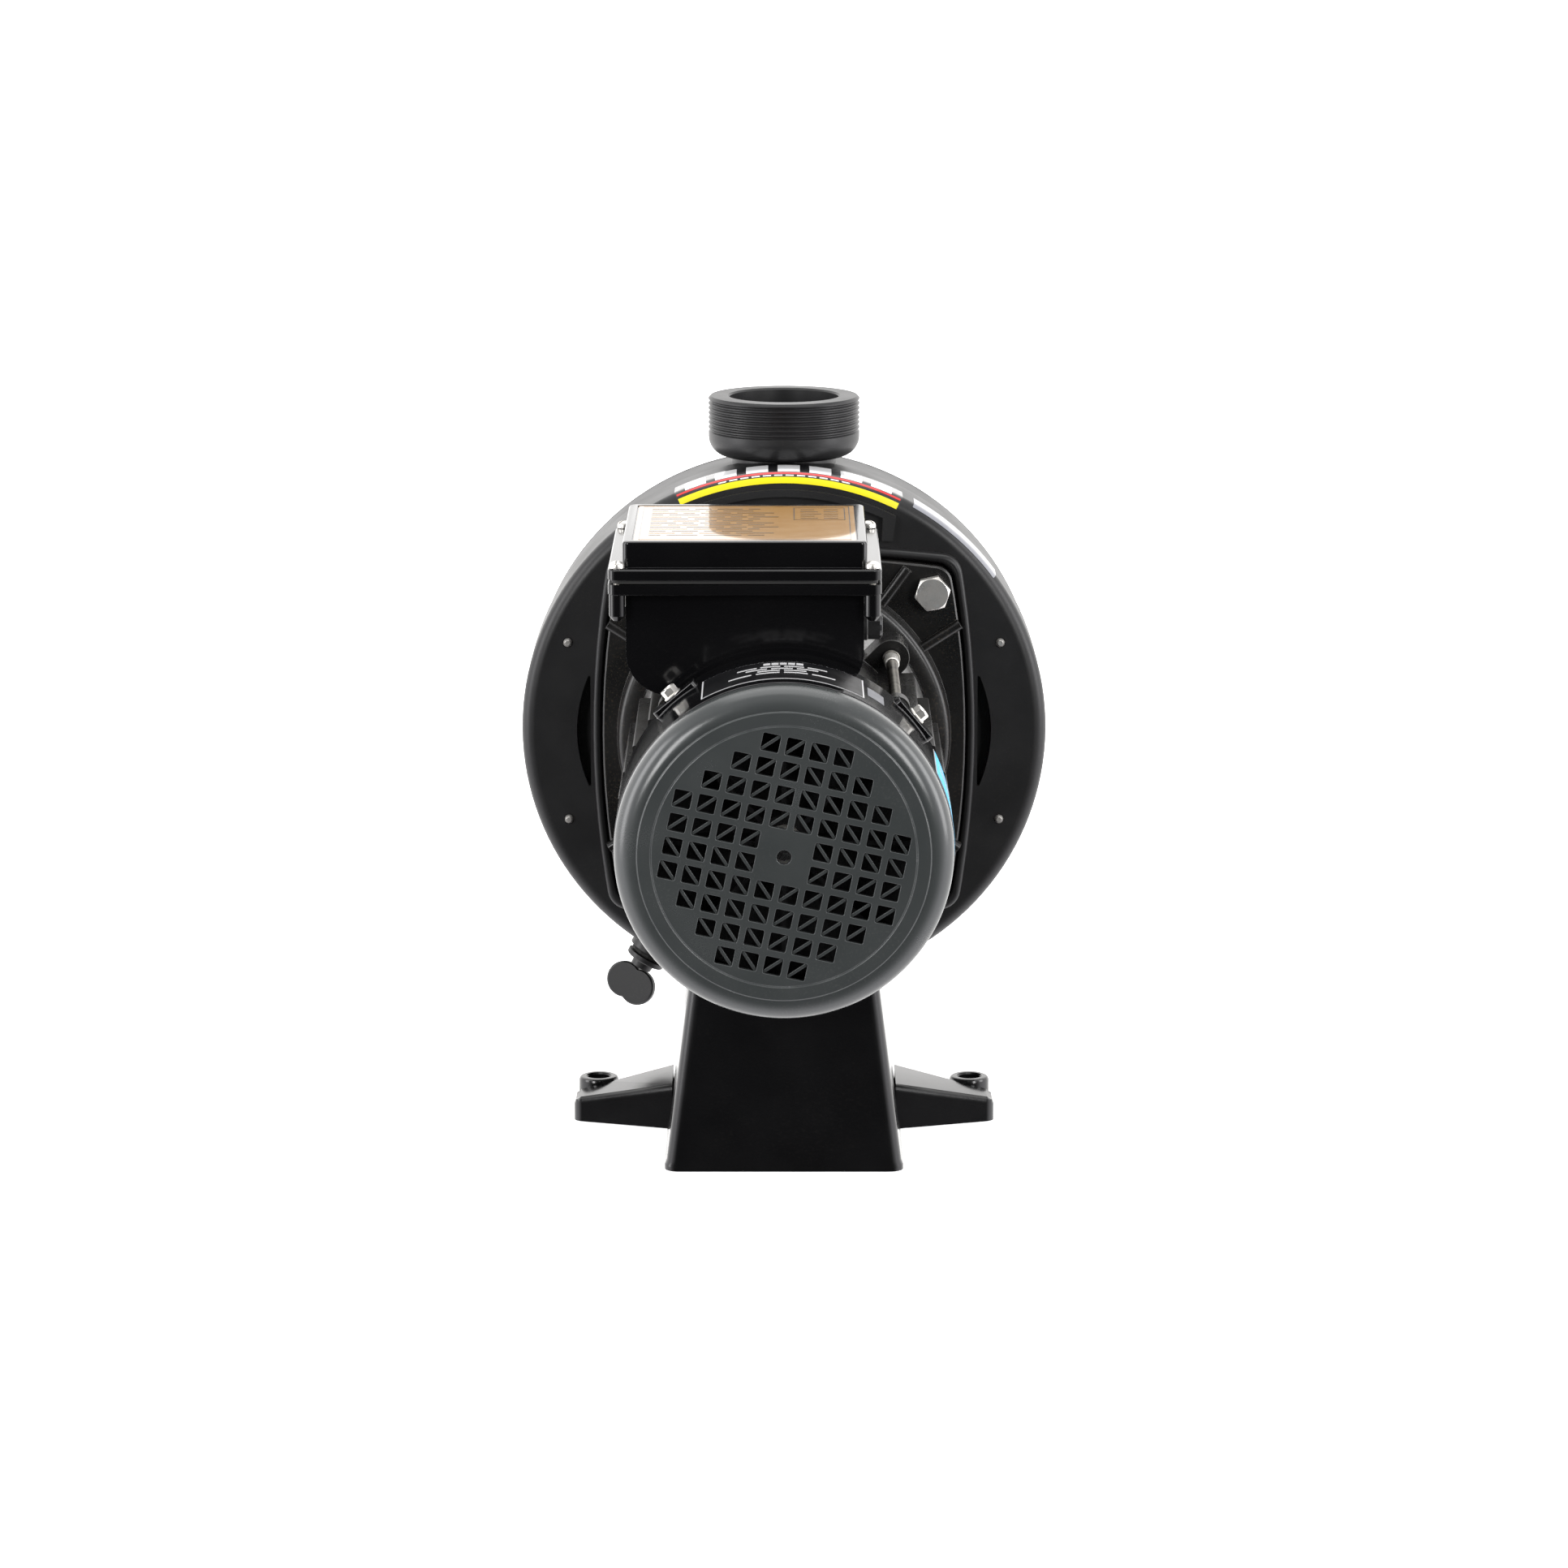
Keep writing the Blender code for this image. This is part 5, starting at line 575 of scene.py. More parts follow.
def makeCasingRear():
    edge = casing["edge"]
    radius = casingRadius
    profile = [(casing["opening"], 0.0)] + arc((radius - edge, -edge), edge, 90.0, 0.0, 10)
    profile += [(radius, -casing["bandDepth"]), (coverRadius, -casing["bandDepth"] - casing["bandStep"]),
                (coverRadius, parting), (innerRadius, parting)]
    profile += arc((innerRadius - edge, -casing["wall"] - edge), edge, 0.0, 90.0, 6)
    profile += [(casing["opening"], -casing["wall"])]
    rear = place("casing_back_moulding", turned(profile, casing["segments"]), along())
    w, h = ridge["width"], ridge["height"]
    crown = [(0.0, -0.0005), (0.0, h - 0.0016), (0.0003, h - 0.0008), (0.0009, h - 0.0002),
             (w * 0.5 - 0.0002, h), (w * 0.5 + 0.0002, h), (w - 0.0009, h - 0.0002),
             (w - 0.0003, h - 0.0008), (w, h - 0.0016), (w, -0.0005)]
    wallRoot = -casing["wall"] + 0.0005
    column = circle(casing["columnRadius"], 24)
    boltColumn = circle(bolt["columnRadius"], 24)
    top = portTop
    bandBottom = radius + 0.0005
    portProfile = [(0.0, radius - 0.003), (port["neck"], radius - 0.003), (port["neck"], bandBottom)]
    portRound = port["round"]
    portProfile += arc((port["radius"] - portRound, bandBottom + portRound), portRound, -90.0, 0.0, 10)
    portProfile += threadedBand(port["radius"], top)[::-1] + [(0.0, top)]
    seat = radius + drain["bossReach"]
    combine(rear, "UNION",
            (hoop([(shield(inset), z) for inset, z in crown]), along()),
            (prism(eyebrowOutline(), -0.0005, eyebrow["height"]), along()),
            (many([(column, parting + casing["spigotLength"] + gap), (column, wallRoot)], screwSpots),
             along()),
            (many([(boltColumn, -casing["wall"] - bolt["columnDepth"]), (boltColumn, wallRoot)], boltSpots),
             along()),
            (turned(portProfile, 96), portAxis),
            (prism(circle(drain["bossRadius"], 40), innerRadius - 0.0005, seat), drainAxis))
    for side in (1.0, -1.0):
        back = prism(lens(side, pocket["wall"]), -pocket["depth"] - pocket["wall"], wallRoot)
        combine(rear, "UNION", (back, along()))
        combine(rear, "DIFFERENCE", (prism(lens(side, 0.0), -pocket["depth"], 0.002), along()))
    screwHole = circle(0.0023, 24)
    boltHole = circle(bolt["radius"] + gap, 36)
    combine(rear, "DIFFERENCE",
            (many([(screwHole, parting), (screwHole, 0.002)], screwSpots), along()),
            (many([(boltHole, -0.0133), (boltHole, 0.002)], boltSpots), along()),
            (portBore(top, innerRadius - 0.012), portAxis),
            (prism(circle(drain["shank"] + gap, 40), innerRadius - casing["wall"], seat + 0.002),
             drainAxis))
    dress(rear, satinBlack, ["casing_rear"], bevel=0.00035, segments=2, angle=38.0)


def makeCasingFront():
    edge = casing["edge"]
    joint = pumpSide("casing_rear") - gap
    front = coverFront
    inside = front + casing["wall"]
    portEnd = pumpSide("casing_front")
    socketEnd = portEnd + port["socketDepth"]
    tubeIn, tubeOut = casing["eyeTube"]
    tubeEnd = pumpSide("impeller_nut") - 0.0002
    spigot = innerRadius - gap
    spigotEnd = parting + casing["spigotLength"]
    middle = (spigotEnd + joint) / 2.0
    profile = [(coverRadius, joint)] + arc((coverRadius - edge, front + edge), edge, 0.0, -90.0, 10)
    band = [(radius, 2.0 * portEnd - z) for radius, z in threadedBand(port["radius"], portEnd)]
    profile += [(port["radius"], front)] + band[::-1]
    profile += [(port["bore"] + 0.001, portEnd), (port["bore"], portEnd + 0.001), (port["bore"], socketEnd),
                (tubeIn, socketEnd), (tubeIn, tubeEnd), (tubeOut, tubeEnd), (tubeOut, inside),
                (spigot - casing["spigotWall"], inside), (spigot - casing["spigotWall"], spigotEnd),
                (spigot, spigotEnd), (spigot, middle + 0.0018), (spigot - 0.0033, middle + 0.0018),
                (spigot - 0.0033, middle - 0.0018), (spigot, middle - 0.0018), (spigot, joint)]
    cover = place("casing_cover_moulding", turned(profile, casing["segments"]), along())
    column = circle(casing["columnRadius"], 24)
    hole = circle(0.0023, 24)
    # raised ring round the port and eight shallow ribs out to the rim stiffen the cover
    rib = rectangle(-0.0015, 0.0015, 0.046, coverRadius - 0.011, 0.001, 3)
    ribTurns = [Matrix.Rotation(math.radians(22.5 + 45.0 * i), 4, "Z") for i in range(8)]
    combine(cover, "UNION",
            (many([(column, inside - 0.0005), (column, spigotEnd)], screwSpots), along()),
            (hoop([(circle(0.0465, 96), front + 0.0005), (circle(0.0465, 96), front - 0.0018),
                   (circle(0.0455, 96), front - 0.0024), (circle(0.0445, 96), front - 0.0024),
                   (circle(0.0435, 96), front - 0.0018), (circle(0.0435, 96), front + 0.0005)]), along()),
            (many([(rib, front + 0.0005), (rib, front - 0.0018)], ribTurns), along()))
    combine(cover, "DIFFERENCE",
            (many([(hole, front - 0.004), (hole, spigotEnd + 0.002)], screwSpots), along()))
    dress(cover, satinBlack, ["casing_front"], bevel=0.00035, segments=2, angle=38.0)


def crossSlot(reach, width, depth, top):
    outline = [(reach, -width), (reach, width), (width, width), (width, reach), (-width, reach),
               (-width, width), (-reach, width), (-reach, -width), (-width, -width), (-width, -reach),
               (width, -reach), (width, -width)]
    tip = [(x * 0.35, y * 0.35) for x, y in outline]
    return stack([(tip, top - depth), (outline, top), (outline, top + 0.002)])


def panHead(radius, height, shank, length, count=40):
    profile = [(0.0, -length), (shank * 0.55, -length), (shank, -length + shank * 0.6)]
    pitch = shank * 0.36
    turns = int((length - shank) / pitch)
    for i in range(min(turns, 24)):
        low = -length + shank * 0.6 + i * pitch
        profile += [(shank, low + 0.1 * pitch), (shank * 0.84, low + 0.5 * pitch),
                    (shank, low + 0.9 * pitch)]
    profile += [(shank, -0.0001), (shank, 0.0), (radius, 0.0), (radius, height * 0.35)]
    profile += [(radius * math.cos(math.radians(a)), height * (0.35 + 0.65 * math.sin(math.radians(a))))
                for a in (20.0, 40.0, 60.0, 75.0)]
    profile += [(0.0, height)]
    return turned(profile, count)


def makeCasingScrews():
    low = coverFront - gap
    flipped = Matrix.Rotation(math.pi, 4, "Y")
    length = -coverFront + gap + 0.0015
    for i, spot in enumerate(screwSpots):
        seat = along(low) @ spot @ flipped
        screw = place(f"cover_screw_{i + 1}", panHead(0.0042, 0.003, 0.002, length, 32), seat)
        combine(screw, "DIFFERENCE", (crossSlot(0.0022, 0.00035, 0.0016, 0.003), seat))
        dress(screw, brightSteel, [f"casing_screw_{i + 1}"], angle=40.0)


makeCasingRear()
makeCasingFront()
makeCasingScrews()
print("casing made")


# ---- rim labels: plain bars and bands only
labelLayers = {"bed": 0.00003, "printed": 0.00012, "raised": 0.00021}     # heights above the surface


def rimPath(t):
    # t runs from the flat back over the rounding and along the drum
    edge = casing["edge"]
    corner = edge * math.pi / 2.0
    if t < corner:
        angle = t / edge
        return (casingRadius - edge + edge * math.sin(angle), -edge + edge * math.cos(angle),
                math.sin(angle), math.cos(angle))
    return casingRadius, -edge - (t - corner), 1.0, 0.0


rimLabel = {"clock": (-24.5, 26.7), "start": 0.0004, "end": 0.024, "bars": 7, "smallBars": 12}


def makeRimLabels():
    first, last = rimLabel["clock"]
    start, end = rimLabel["start"], rimLabel["end"]
    span = (last - first - 3.0) / rimLabel["bars"]
    bars = []
    for i in range(rimLabel["bars"]):
        left = first + 1.5 + span * i
        bars.append((left + 0.14 * span, left + 0.84 * span, 0.0064, 0.0215))
    small = []
    for i in range(rimLabel["smallBars"]):
        middle = -15.0 + 30.0 * (i + 0.5) / rimLabel["smallBars"]
        small.append((middle - 0.9, middle + 0.9, 0.0039, 0.0045))
    for name, look, slotName, patches, layer in (
            ("label_ground", labelBlack, "gloss_black", [(first, last, start, end)], "bed"),
            ("label_band", labelYellow, "white_plastic",
             [(first + 0.3, last - 0.3, 0.0005, 0.0034)], "printed"),
            ("label_line", labelRed, "white_plastic",
             [(first + 0.3, last - 0.3, 0.0049, 0.0060)], "printed"),
            ("label_bars", labelWhite, "white_plastic", bars, "printed"),
            ("label_small_bars", labelWhite, "white_plastic", small, "printed"),
            ("strip", labelSilver, "white_plastic", [(29.5, 53.5, 0.0052, 0.024)], "bed")):
        wrap(f"rim_{name}", look, rimPath, patches, labelLayers[layer])


makeRimLabels()
print("rim labels made")


# ---- bracket, bolts and adapter
bracket = {
    "clearance": 0.001,
    "thickness": 0.010,
    "opening": 0.030,
    "ringInner": 0.0667,
    "ringWidth": 0.0083,
    "ringHeight": 0.012,
    "ribLength": 0.020,
    "ribWidth": 0.0045,
    "ribHeight": 0.005,
    "ribClocks": (36.0, 57.0),
}


def makeBracket():
    inset = ridge["width"] + bracket["clearance"]
    low = gap
    face = gap + bracket["thickness"]
    outline = shield(inset)
    rings = [(outline, low), (outline, face - 0.0006), (shield(inset + 0.0006), face)]
    plate = place("bracket_casting", stack(rings), along())
    inner = bracket["ringInner"]
    outer = inner + bracket["ringWidth"]
    high = face + bracket["ringHeight"]
    ring = turned([(inner, face - 0.0005), (outer + 0.001, face - 0.0005), (outer + 0.0004, face + 0.0015),
                   (outer, face + 0.003), (outer, high - 0.0026), (outer - 0.0008, high - 0.0012),
                   (outer - 0.0026, high - 0.0002), (inner + 0.0018, high), (inner, high)], 128)
    half = bracket["ribWidth"] / 2.0
    crest = bracket["ribHeight"]
    section = [(-half, -0.0005), (half, -0.0005)] + arc((0.0, crest - half), half, 0.0, 180.0, 10)
    rib = bmesh.new()
    stood = Matrix.Rotation(rightAngle, 4, "X")
    for quarter in (0.0, 180.0):
        for clock in bracket["ribClocks"]:
            for sign in (1.0, -1.0):
                spot = Matrix.Rotation(math.radians(quarter + sign * clock), 4, "Z")
                reach = Matrix.Translation((0.0, outer + bracket["ribLength"], face))
                addStack(rib, [(section, 0.0), (section, bracket["ribLength"] + 0.002)],
                         spot @ reach @ stood)
    combine(plate, "UNION", (ring, along()), (rib, along()))
    hole = circle(bolt["radius"] + gap, 36)
    combine(plate, "DIFFERENCE", (prism(circle(bracket["opening"], 72), -0.002, face + 0.002), along()),
            (many([(hole, -0.002), (hole, face + 0.002)], boltSpots), along()))
    dress(plate, castBlack, ["motor_bracket"], bevel=0.0004, segments=2, angle=35.0)


def makeBolts():
    start = gap + bracket["thickness"] + gap
    for i, spot in enumerate(boltSpots):
        turn = math.radians((12.0, 25.0, -8.0, 17.0)[i])
        across = bolt["across"]
        high = bolt["height"]
        # the head's corners are cut by a cone, and its underside carries a shallow washer-like disc
        head = stack([(circle(across * 0.48, 72), 0.0), (circle(across * 0.48, 72), 0.0005),
                      (hexagon(across, 72, turn), 0.0005), (hexagon(across, 72, turn), high)])
        bolts = place(f"bracket_hex_bolt_{i + 1}", head, along(start) @ spot)
        cone = turned([(across * 0.475, high + 0.0002), (across * 0.60, high - 0.0013),
                       (across * 0.9, high - 0.0013), (across * 0.9, high + 0.002),
                       (across * 0.475, high + 0.002)], 72)
        combine(bolts, "DIFFERENCE", (cone, along(start) @ spot))
        low = -bolt["length"]
        shank = turned([(0.0, low), (0.0042, low), (0.00475, low + 0.001), (0.00475, 0.0003),
                        (0.0, 0.0003)], 36)
        combine(bolts, "UNION", (shank, along(start) @ spot))
        dress(bolts, brightSteel, [f"bracket_bolt_{i + 1}"], bevel=0.00018,
              segments=2, angle=28.0)


def makeAdapter():
    start = pumpSide("motor_adapter")
    end = fanSide("motor_adapter")
    face = end - 0.012
    rim = bracket["ringInner"] - gap
    neck = 0.050
    profile = [(bracket["opening"], start), (rim, start), (rim, face - 0.0006), (rim - 0.0006, face),
               (neck + 0.001, face), (neck, face + 0.001), (neck, end), (bracket["opening"], end)]
    dress(place("adapter_ring", turned(profile, 128), along()), plainAluminium,
          ["motor_adapter"], angle=35.0)


makeBracket()
makeBolts()
makeAdapter()
print("bracket made")


# ---- motor
motor = {
    "radius": 0.058,
    "wall": 0.003,
    "finPitch": 0.0112,
    "finThickness": 0.0036,
    "finReach": 0.0125,
    "finRows": 4,
    "rodOffset": 0.009,
    "rodRadius": 0.00245,
    "bellWall": 0.004,
}
rodClocks = (45.0, 135.0, 225.0, 315.0)
rodCircle = motor["radius"] + motor["rodOffset"]


def lug(reach, half, root):
    return [(half, root)] + arc((0.0, reach), half, 0.0, 180.0, 20) + [(-half, root)]


def rodSpots():
    return [Matrix.Rotation(math.radians(-clock), 4, "Z") for clock in rodClocks]


def rodPlaces():
    return [Matrix.Translation((*clockPoint(rodCircle, clock), 0.0)) for clock in rodClocks]


def makeFrame():
    start = pumpSide("motor_frame")
    end = fanSide("motor_frame")
    radius = motor["radius"]
    tube = place("finned_motor_frame", prism(circle(radius, 96), start, end), along())
    fins = bmesh.new()
    half = motor["finThickness"] / 2.0
    tip = radius + motor["finReach"]
    for row in range(motor["finRows"]):
        for sign in (1.0, -1.0):
            up = sign * motor["finPitch"] * (row + 0.5)
            reach = math.sqrt(tip ** 2 - (abs(up) + half) ** 2)
            outline = rectangle(-reach, reach, up - half, up + half, 0.0008, 3)
            addStack(fins, [(outline, start + 0.001), (outline, end - 0.001)])
    combine(tube, "UNION", (fins, along()))
    combine(tube, "DIFFERENCE",
            (prism(circle(radius - motor["wall"], 96), start - 0.002, end + 0.002), along()))
    dress(tube, castBlack, ["motor_frame"], bevel=0.0004, segments=2, angle=40.0)


def makeFrontBell():
    start = pumpSide("front_end_bell")
    end = fanSide("front_end_bell")
    body = motor["radius"]
    wall = motor["bellWall"]
    neck = 0.050
    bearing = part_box("front_bearing_outer")
    housing = (bearing[1].x - bearing[0].x) / 2.0 + gap
    pocketStart = pumpSide("wave_washer") - gap
    pocketEnd = fanSide("front_bearing_outer") + 0.001
    bore = 0.0112
    profile = [(bore, start), (neck, start), (body - 0.0015, start + 0.0125), (body, start + 0.014),
               (body, end), (body - wall, end), (body - wall, start + 0.018), (neck - wall, start + wall),
               (housing + 0.004, start + wall), (housing + 0.004, pocketEnd), (housing, pocketEnd),
               (housing, pocketStart), (bore, pocketStart)]
    bell = place("front_bell_casting", turned(profile, 96), along())
    outline = lug(rodCircle, 0.008, body - wall + 0.001)
    hole = circle(motor["rodRadius"] + gap, 32)
    combine(bell, "UNION", (many([(outline, end - 0.0225), (outline, end - 0.0005)], rodSpots()), along()))
    combine(bell, "DIFFERENCE", (many([(hole, start), (hole, end + 0.002)], rodPlaces()), along()))
    dress(bell, castBlack, ["front_end_bell"], bevel=0.0006, segments=3, angle=35.0)


def makeRearBell():
    start = pumpSide("rear_end_bell")
    end = fanSide("rear_end_bell")
    bearingEnd = fanSide("rear_bearing_outer")
    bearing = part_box("rear_bearing_outer")
    housing = (bearing[1].x - bearing[0].x) / 2.0 + gap
    pocketStart = pumpSide("rear_bearing_outer") - gap
    body = motor["radius"]
    wall = motor["bellWall"]
    rim = body + 0.010
    bore = 0.0107
    web = pocketStart - wall
    profile = [(bore, web), (body - wall, web), (body - wall, start), (rim - wall, start),
               (rim, end - 0.020), (rim, end), (rim - wall, end), (rim - wall, pocketStart),
               (housing + 0.004, pocketStart), (housing + 0.004, bearingEnd), (housing, bearingEnd),
               (housing, pocketStart), (bore, pocketStart)]
    bell = place("rear_bell_casting", turned(profile, 96), along())
    outline = lug(rodCircle, 0.0055, body - 0.013)
    hole = circle(motor["rodRadius"] + gap, 32)
    combine(bell, "UNION", (many([(outline, start), (outline, start + 0.0092)], rodSpots()), along()))
    combine(bell, "DIFFERENCE",
            (many([(hole, start - 0.002), (hole, start + 0.0082)], rodPlaces()), along()))
    for clock in cowl["screwClocks"]:
        drill = prism(circle(0.0023, 24), cowlRadius - 0.010, cowlRadius + 0.002)
        combine(bell, "DIFFERENCE", (drill, radial(clock, cowlScrewAt)))
    dress(bell, castBlack, ["rear_end_bell"], bevel=0.0005, segments=2, angle=35.0)


def makeRods():
    bellEnd = fanSide("front_end_bell")
    headFace = bellEnd - 0.0225 - gap
    tip = fanSide("tie_rod_1")
    radius = motor["rodRadius"]
    root = radius * 0.87
    pitch = 0.0009
    for i, spot in enumerate(rodPlaces()):
        # the plain shank ends behind the lug; from there the rod is threaded
        shankEnd = bellEnd + 0.016
        profile = [(0.0, headFace), (radius, headFace), (radius, bellEnd + 0.0004),
                   (0.0039, bellEnd + 0.0004), (0.0039, bellEnd + 0.0022), (0.0035, bellEnd + 0.0026),
                   (radius, bellEnd + 0.0026), (radius, shankEnd)]
        count = int((tip - 0.001 - shankEnd) / pitch)
        for turn in range(count):
            z = shankEnd + turn * pitch
            profile += [(root, z + 0.35 * pitch), (root, z + 0.5 * pitch), (radius, z + 0.85 * pitch)]
        profile += [(root, tip - 0.0002), (0.0, tip)]
        rod = place(f"threaded_tie_rod_{i + 1}", turned(profile, 20), along() @ spot)
        dress(rod, darkSteel, [f"tie_rod_{i + 1}"], angle=40.0)
        bright = turned([(radius + 0.00005, bellEnd + 0.0027), (radius + 0.0008, bellEnd + 0.0027),
                         (radius + 0.0008, shankEnd - 0.0008), (radius + 0.0003, shankEnd),
                         (radius + 0.00005, shankEnd)], 24)
        dress(place(f"tie_rod_sleeve_{i + 1}", bright, along() @ spot), brightSteel,
              angle=35.0)
        head = stack([(hexagon(0.008), headFace - 0.004), (hexagon(0.008), headFace - 0.0001)])
        dress(place(f"tie_rod_head_{i + 1}", head, along() @ spot), brightSteel,
              bevel=0.0003, angle=35.0)


# ---- cowl and fan cap
cowl = {
    "offset": 0.012,
    "wall": 0.0014,
    "screwClocks": (50.0, 140.0, 230.0, 320.0),
    "screwSetback": 0.064,
    "pad": (0.022, 0.009, 0.0018),
}
cap = {
    "inset": 0.0003,
    "side": 0.014,
    "shoulder": 0.0092,
    "drop": 0.0008,
    "pitch": 0.0101,
    "square": 0.0074,
    "squareRound": 0.0007,
    "turn": -12.0,
    "rows": (4, 6, 8, 10, 8, 8, 10, 8, 6, 4),
    "middleRows": (4, 5),
    "barWidth": 0.0013,
    "lineRadius": 0.0544,
}
cowlRadius = motor["radius"] + cowl["offset"]
capFace = fanSide("fan_cap")
cowlScrewAt = capFace - cowl["screwSetback"]


def makeCowl():
    start = pumpSide("cowl_sleeve")
    end = fanSide("cowl_sleeve")
    inner = cowlRadius - cowl["wall"]
    profile = [(0.0, start), (cowlRadius - 0.0004, start), (cowlRadius, start + 0.0004),
               (cowlRadius, end), (0.0, end)]
    drum = place("fan_cowl_sleeve", turned(profile, 128), along())
    wide, deep, thick = cowl["pad"]
    top = cowlRadius + thick
    pad = rectangle(-wide / 2.0, wide / 2.0, -deep / 2.0, deep / 2.0, 0.002, 5)
    for clock in cowl["screwClocks"]:
        combine(drum, "UNION", (prism(pad, inner - 0.002, top), radial(clock, cowlScrewAt)))
    combine(drum, "DIFFERENCE", (prism(circle(inner, 128), start - 0.002, end + 0.002), along()))
    for clock in cowl["screwClocks"]:
        combine(drum, "DIFFERENCE", (prism(circle(0.0023, 24), inner - 0.002, top + 0.002),
                                     radial(clock, cowlScrewAt)))
    dress(drum, glossBlack, ["cowl_sleeve"], bevel=0.0003, segments=2, angle=35.0)
    for i, clock in enumerate(cowl["screwClocks"]):
        spot = radial(clock, cowlScrewAt) @ Matrix.Translation((0.0, 0.0, top + gap))
        # hexagon on a round flange, with a dished top
        head = stack([(circle(0.0040, 48), 0.0), (circle(0.0040, 48), 0.0005), (circle(0.0034, 48), 0.0009),
                      (hexagon(0.0060, 48), 0.0009), (hexagon(0.0060, 48), 0.0036),
                      (circle(0.0029, 48), 0.0040), (circle(0.0020, 48), 0.0040),
                      (circle(0.0016, 48), 0.0034)])
        screw = place(f"cowl_hex_screw_{i + 1}", head, spot)
        shank = turned([(0.0, -0.0096), (0.0016, -0.0096), (0.002, -0.009), (0.002, 0.0002),
                        (0.0, 0.0002)], 24)
        combine(screw, "UNION", (shank, spot))
        dress(screw, brightSteel, [f"cowl_screw_{i + 1}"], bevel=0.00012, segments=2,
              angle=35.0)


def grilleSpots():
    spots = []
    rows = cap["rows"]
    for row, count in enumerate(rows):
        hidden = 2 if row in cap["middleRows"] else 0
        span = count + hidden
        for column in range(span):
            x = column - (span - 1) / 2.0
            if hidden and abs(x) < hidden / 2.0:
                continue
            spots.append((x * cap["pitch"], ((len(rows) - 1) / 2.0 - row) * cap["pitch"]))
    return spots


def makeCap():
    face = capFace
    sideEnd = face - cap["side"]
    outer = cowlRadius - cap["inset"]
    shoulderRadius = outer - cap["shoulder"]
    spigot = cowlRadius - cowl["wall"] - gap
    inner = spigot - 0.0024
    shoulder = face - cap["drop"]
    roundness = outer - shoulderRadius
    side = arc((outer - roundness, shoulder - roundness), roundness, 0.0, 90.0, 14)
    line = cap["lineRadius"]
    profile = [(0.0, face), (line - 0.0003, face), (line, face - 0.00035), (line + 0.0003, face),
               (shoulderRadius - 0.0009, face), (shoulderRadius - 0.0004, face - 0.0002),
               (shoulderRadius - 0.0002, shoulder)] + side[::-1]
    profile += [(outer, sideEnd + 0.0004), (outer - 0.0004, sideEnd), (spigot, sideEnd),
                (spigot, sideEnd - 0.005), (inner, sideEnd - 0.005), (inner, shoulder - roundness),
                (shoulderRadius - 0.001, face - 0.0024), (0.0, face - 0.0024)]
    disc = place("fan_cap_moulding", turned(profile, 144), along())
    half = cap["square"] / 2.0
    square = rectangle(-half, half, -half, half, cap["squareRound"], 4)
    gridTurn = along() @ Matrix.Rotation(math.radians(cap["turn"]), 4, "Z")
    spots = [Matrix.Translation((x, y, 0.0)) for x, y in grilleSpots()]
    combine(disc, "DIFFERENCE",
            (many([(square, face - 0.005), (square, face + 0.002)], spots), gridTurn),
            (prism(circle(0.003, 32), face - 0.005, face + 0.002), along()))
    dress(disc, capGrey, ["fan_cap"], bevel=0.0003, segments=2, angle=38.0)
    # one slanted bar behind each opening; together they make diamonds about the middle
    bars = bmesh.new()
    reach = cap["square"] * 0.5 * math.sqrt(2.0) + 0.0004
    wide = cap["barWidth"] / 2.0
    bar = rectangle(-reach, reach, -wide, wide, 0.0003, 2)
    for x, y in grilleSpots():
        lean = 45.0 if x * y < 0.0 else -45.0
        spot = Matrix.Translation((x, y, 0.0)) @ Matrix.Rotation(math.radians(lean), 4, "Z")
        addStack(bars, [(bar, face - 0.0023), (bar, face - 0.0009)], spot)
    dress(place("fan_cap_slats", bars, gridTurn), capGrey, bevel=0.00015, segments=2,
          angle=40.0)


def cowlPath(t):
    return cowlRadius, pumpSide("cowl_sleeve") + t, 1.0, 0.0


def makeCowlLabels():
    reach = fanSide("cowl_sleeve") - pumpSide("cowl_sleeve")
    bars = []
    for first, last, count, low, high in ((-7.0, 7.0, 5, 0.0160, 0.0200), (-16.0, 16.0, 4, 0.0232, 0.0248),
                                          (-13.0, 13.0, 3, 0.0276, 0.0292), (-9.0, 9.0, 2, 0.0320, 0.0336),
                                          (-19.0, 19.0, 4, 0.0368, 0.0384)):
        step = (last - first) / count
        bars += [(first + step * i, first + step * (i + 0.84), low, high) for i in range(count)]
    for name, look, slotName, patches, layer in (
            ("top_label_edge", labelWhite, "white_plastic", [(-29.0, 28.0, 0.012, reach - 0.008)], "bed"),
            ("top_label_ground", labelBlack, "gloss_black", [(-28.4, 27.4, 0.0126, reach - 0.0086)],
             "printed"),
            ("top_label_bars", labelWhite, "white_plastic", bars, "raised"),
            ("small_label", labelSilver, "white_plastic", [(29.5, 36.0, 0.022, 0.040)], "bed"),
            ("side_label_edge", labelWhite, "white_plastic", [(63.0, 98.0, 0.006, reach - 0.004)], "bed"),
            ("side_label_ground", labelCyan, "white_plastic", [(63.8, 97.2, 0.0069, reach - 0.0049)],
             "printed"),
            ("side_label_bars", labelWhite, "white_plastic",
             [(67.0, 79.0, 0.016, 0.018), (81.0, 94.0, 0.016, 0.018), (67.0, 94.0, 0.022, 0.0232),
              (67.0, 90.0, 0.026, 0.0272), (67.0, 94.0, 0.030, 0.0312)], "raised")):
        wrap(f"cowl_{name}", look, cowlPath, patches, labelLayers[layer])


makeFrame()
makeFrontBell()
makeRearBell()
makeRods()
makeCowl()
makeCap()
makeCowlLabels()
print("motor made")


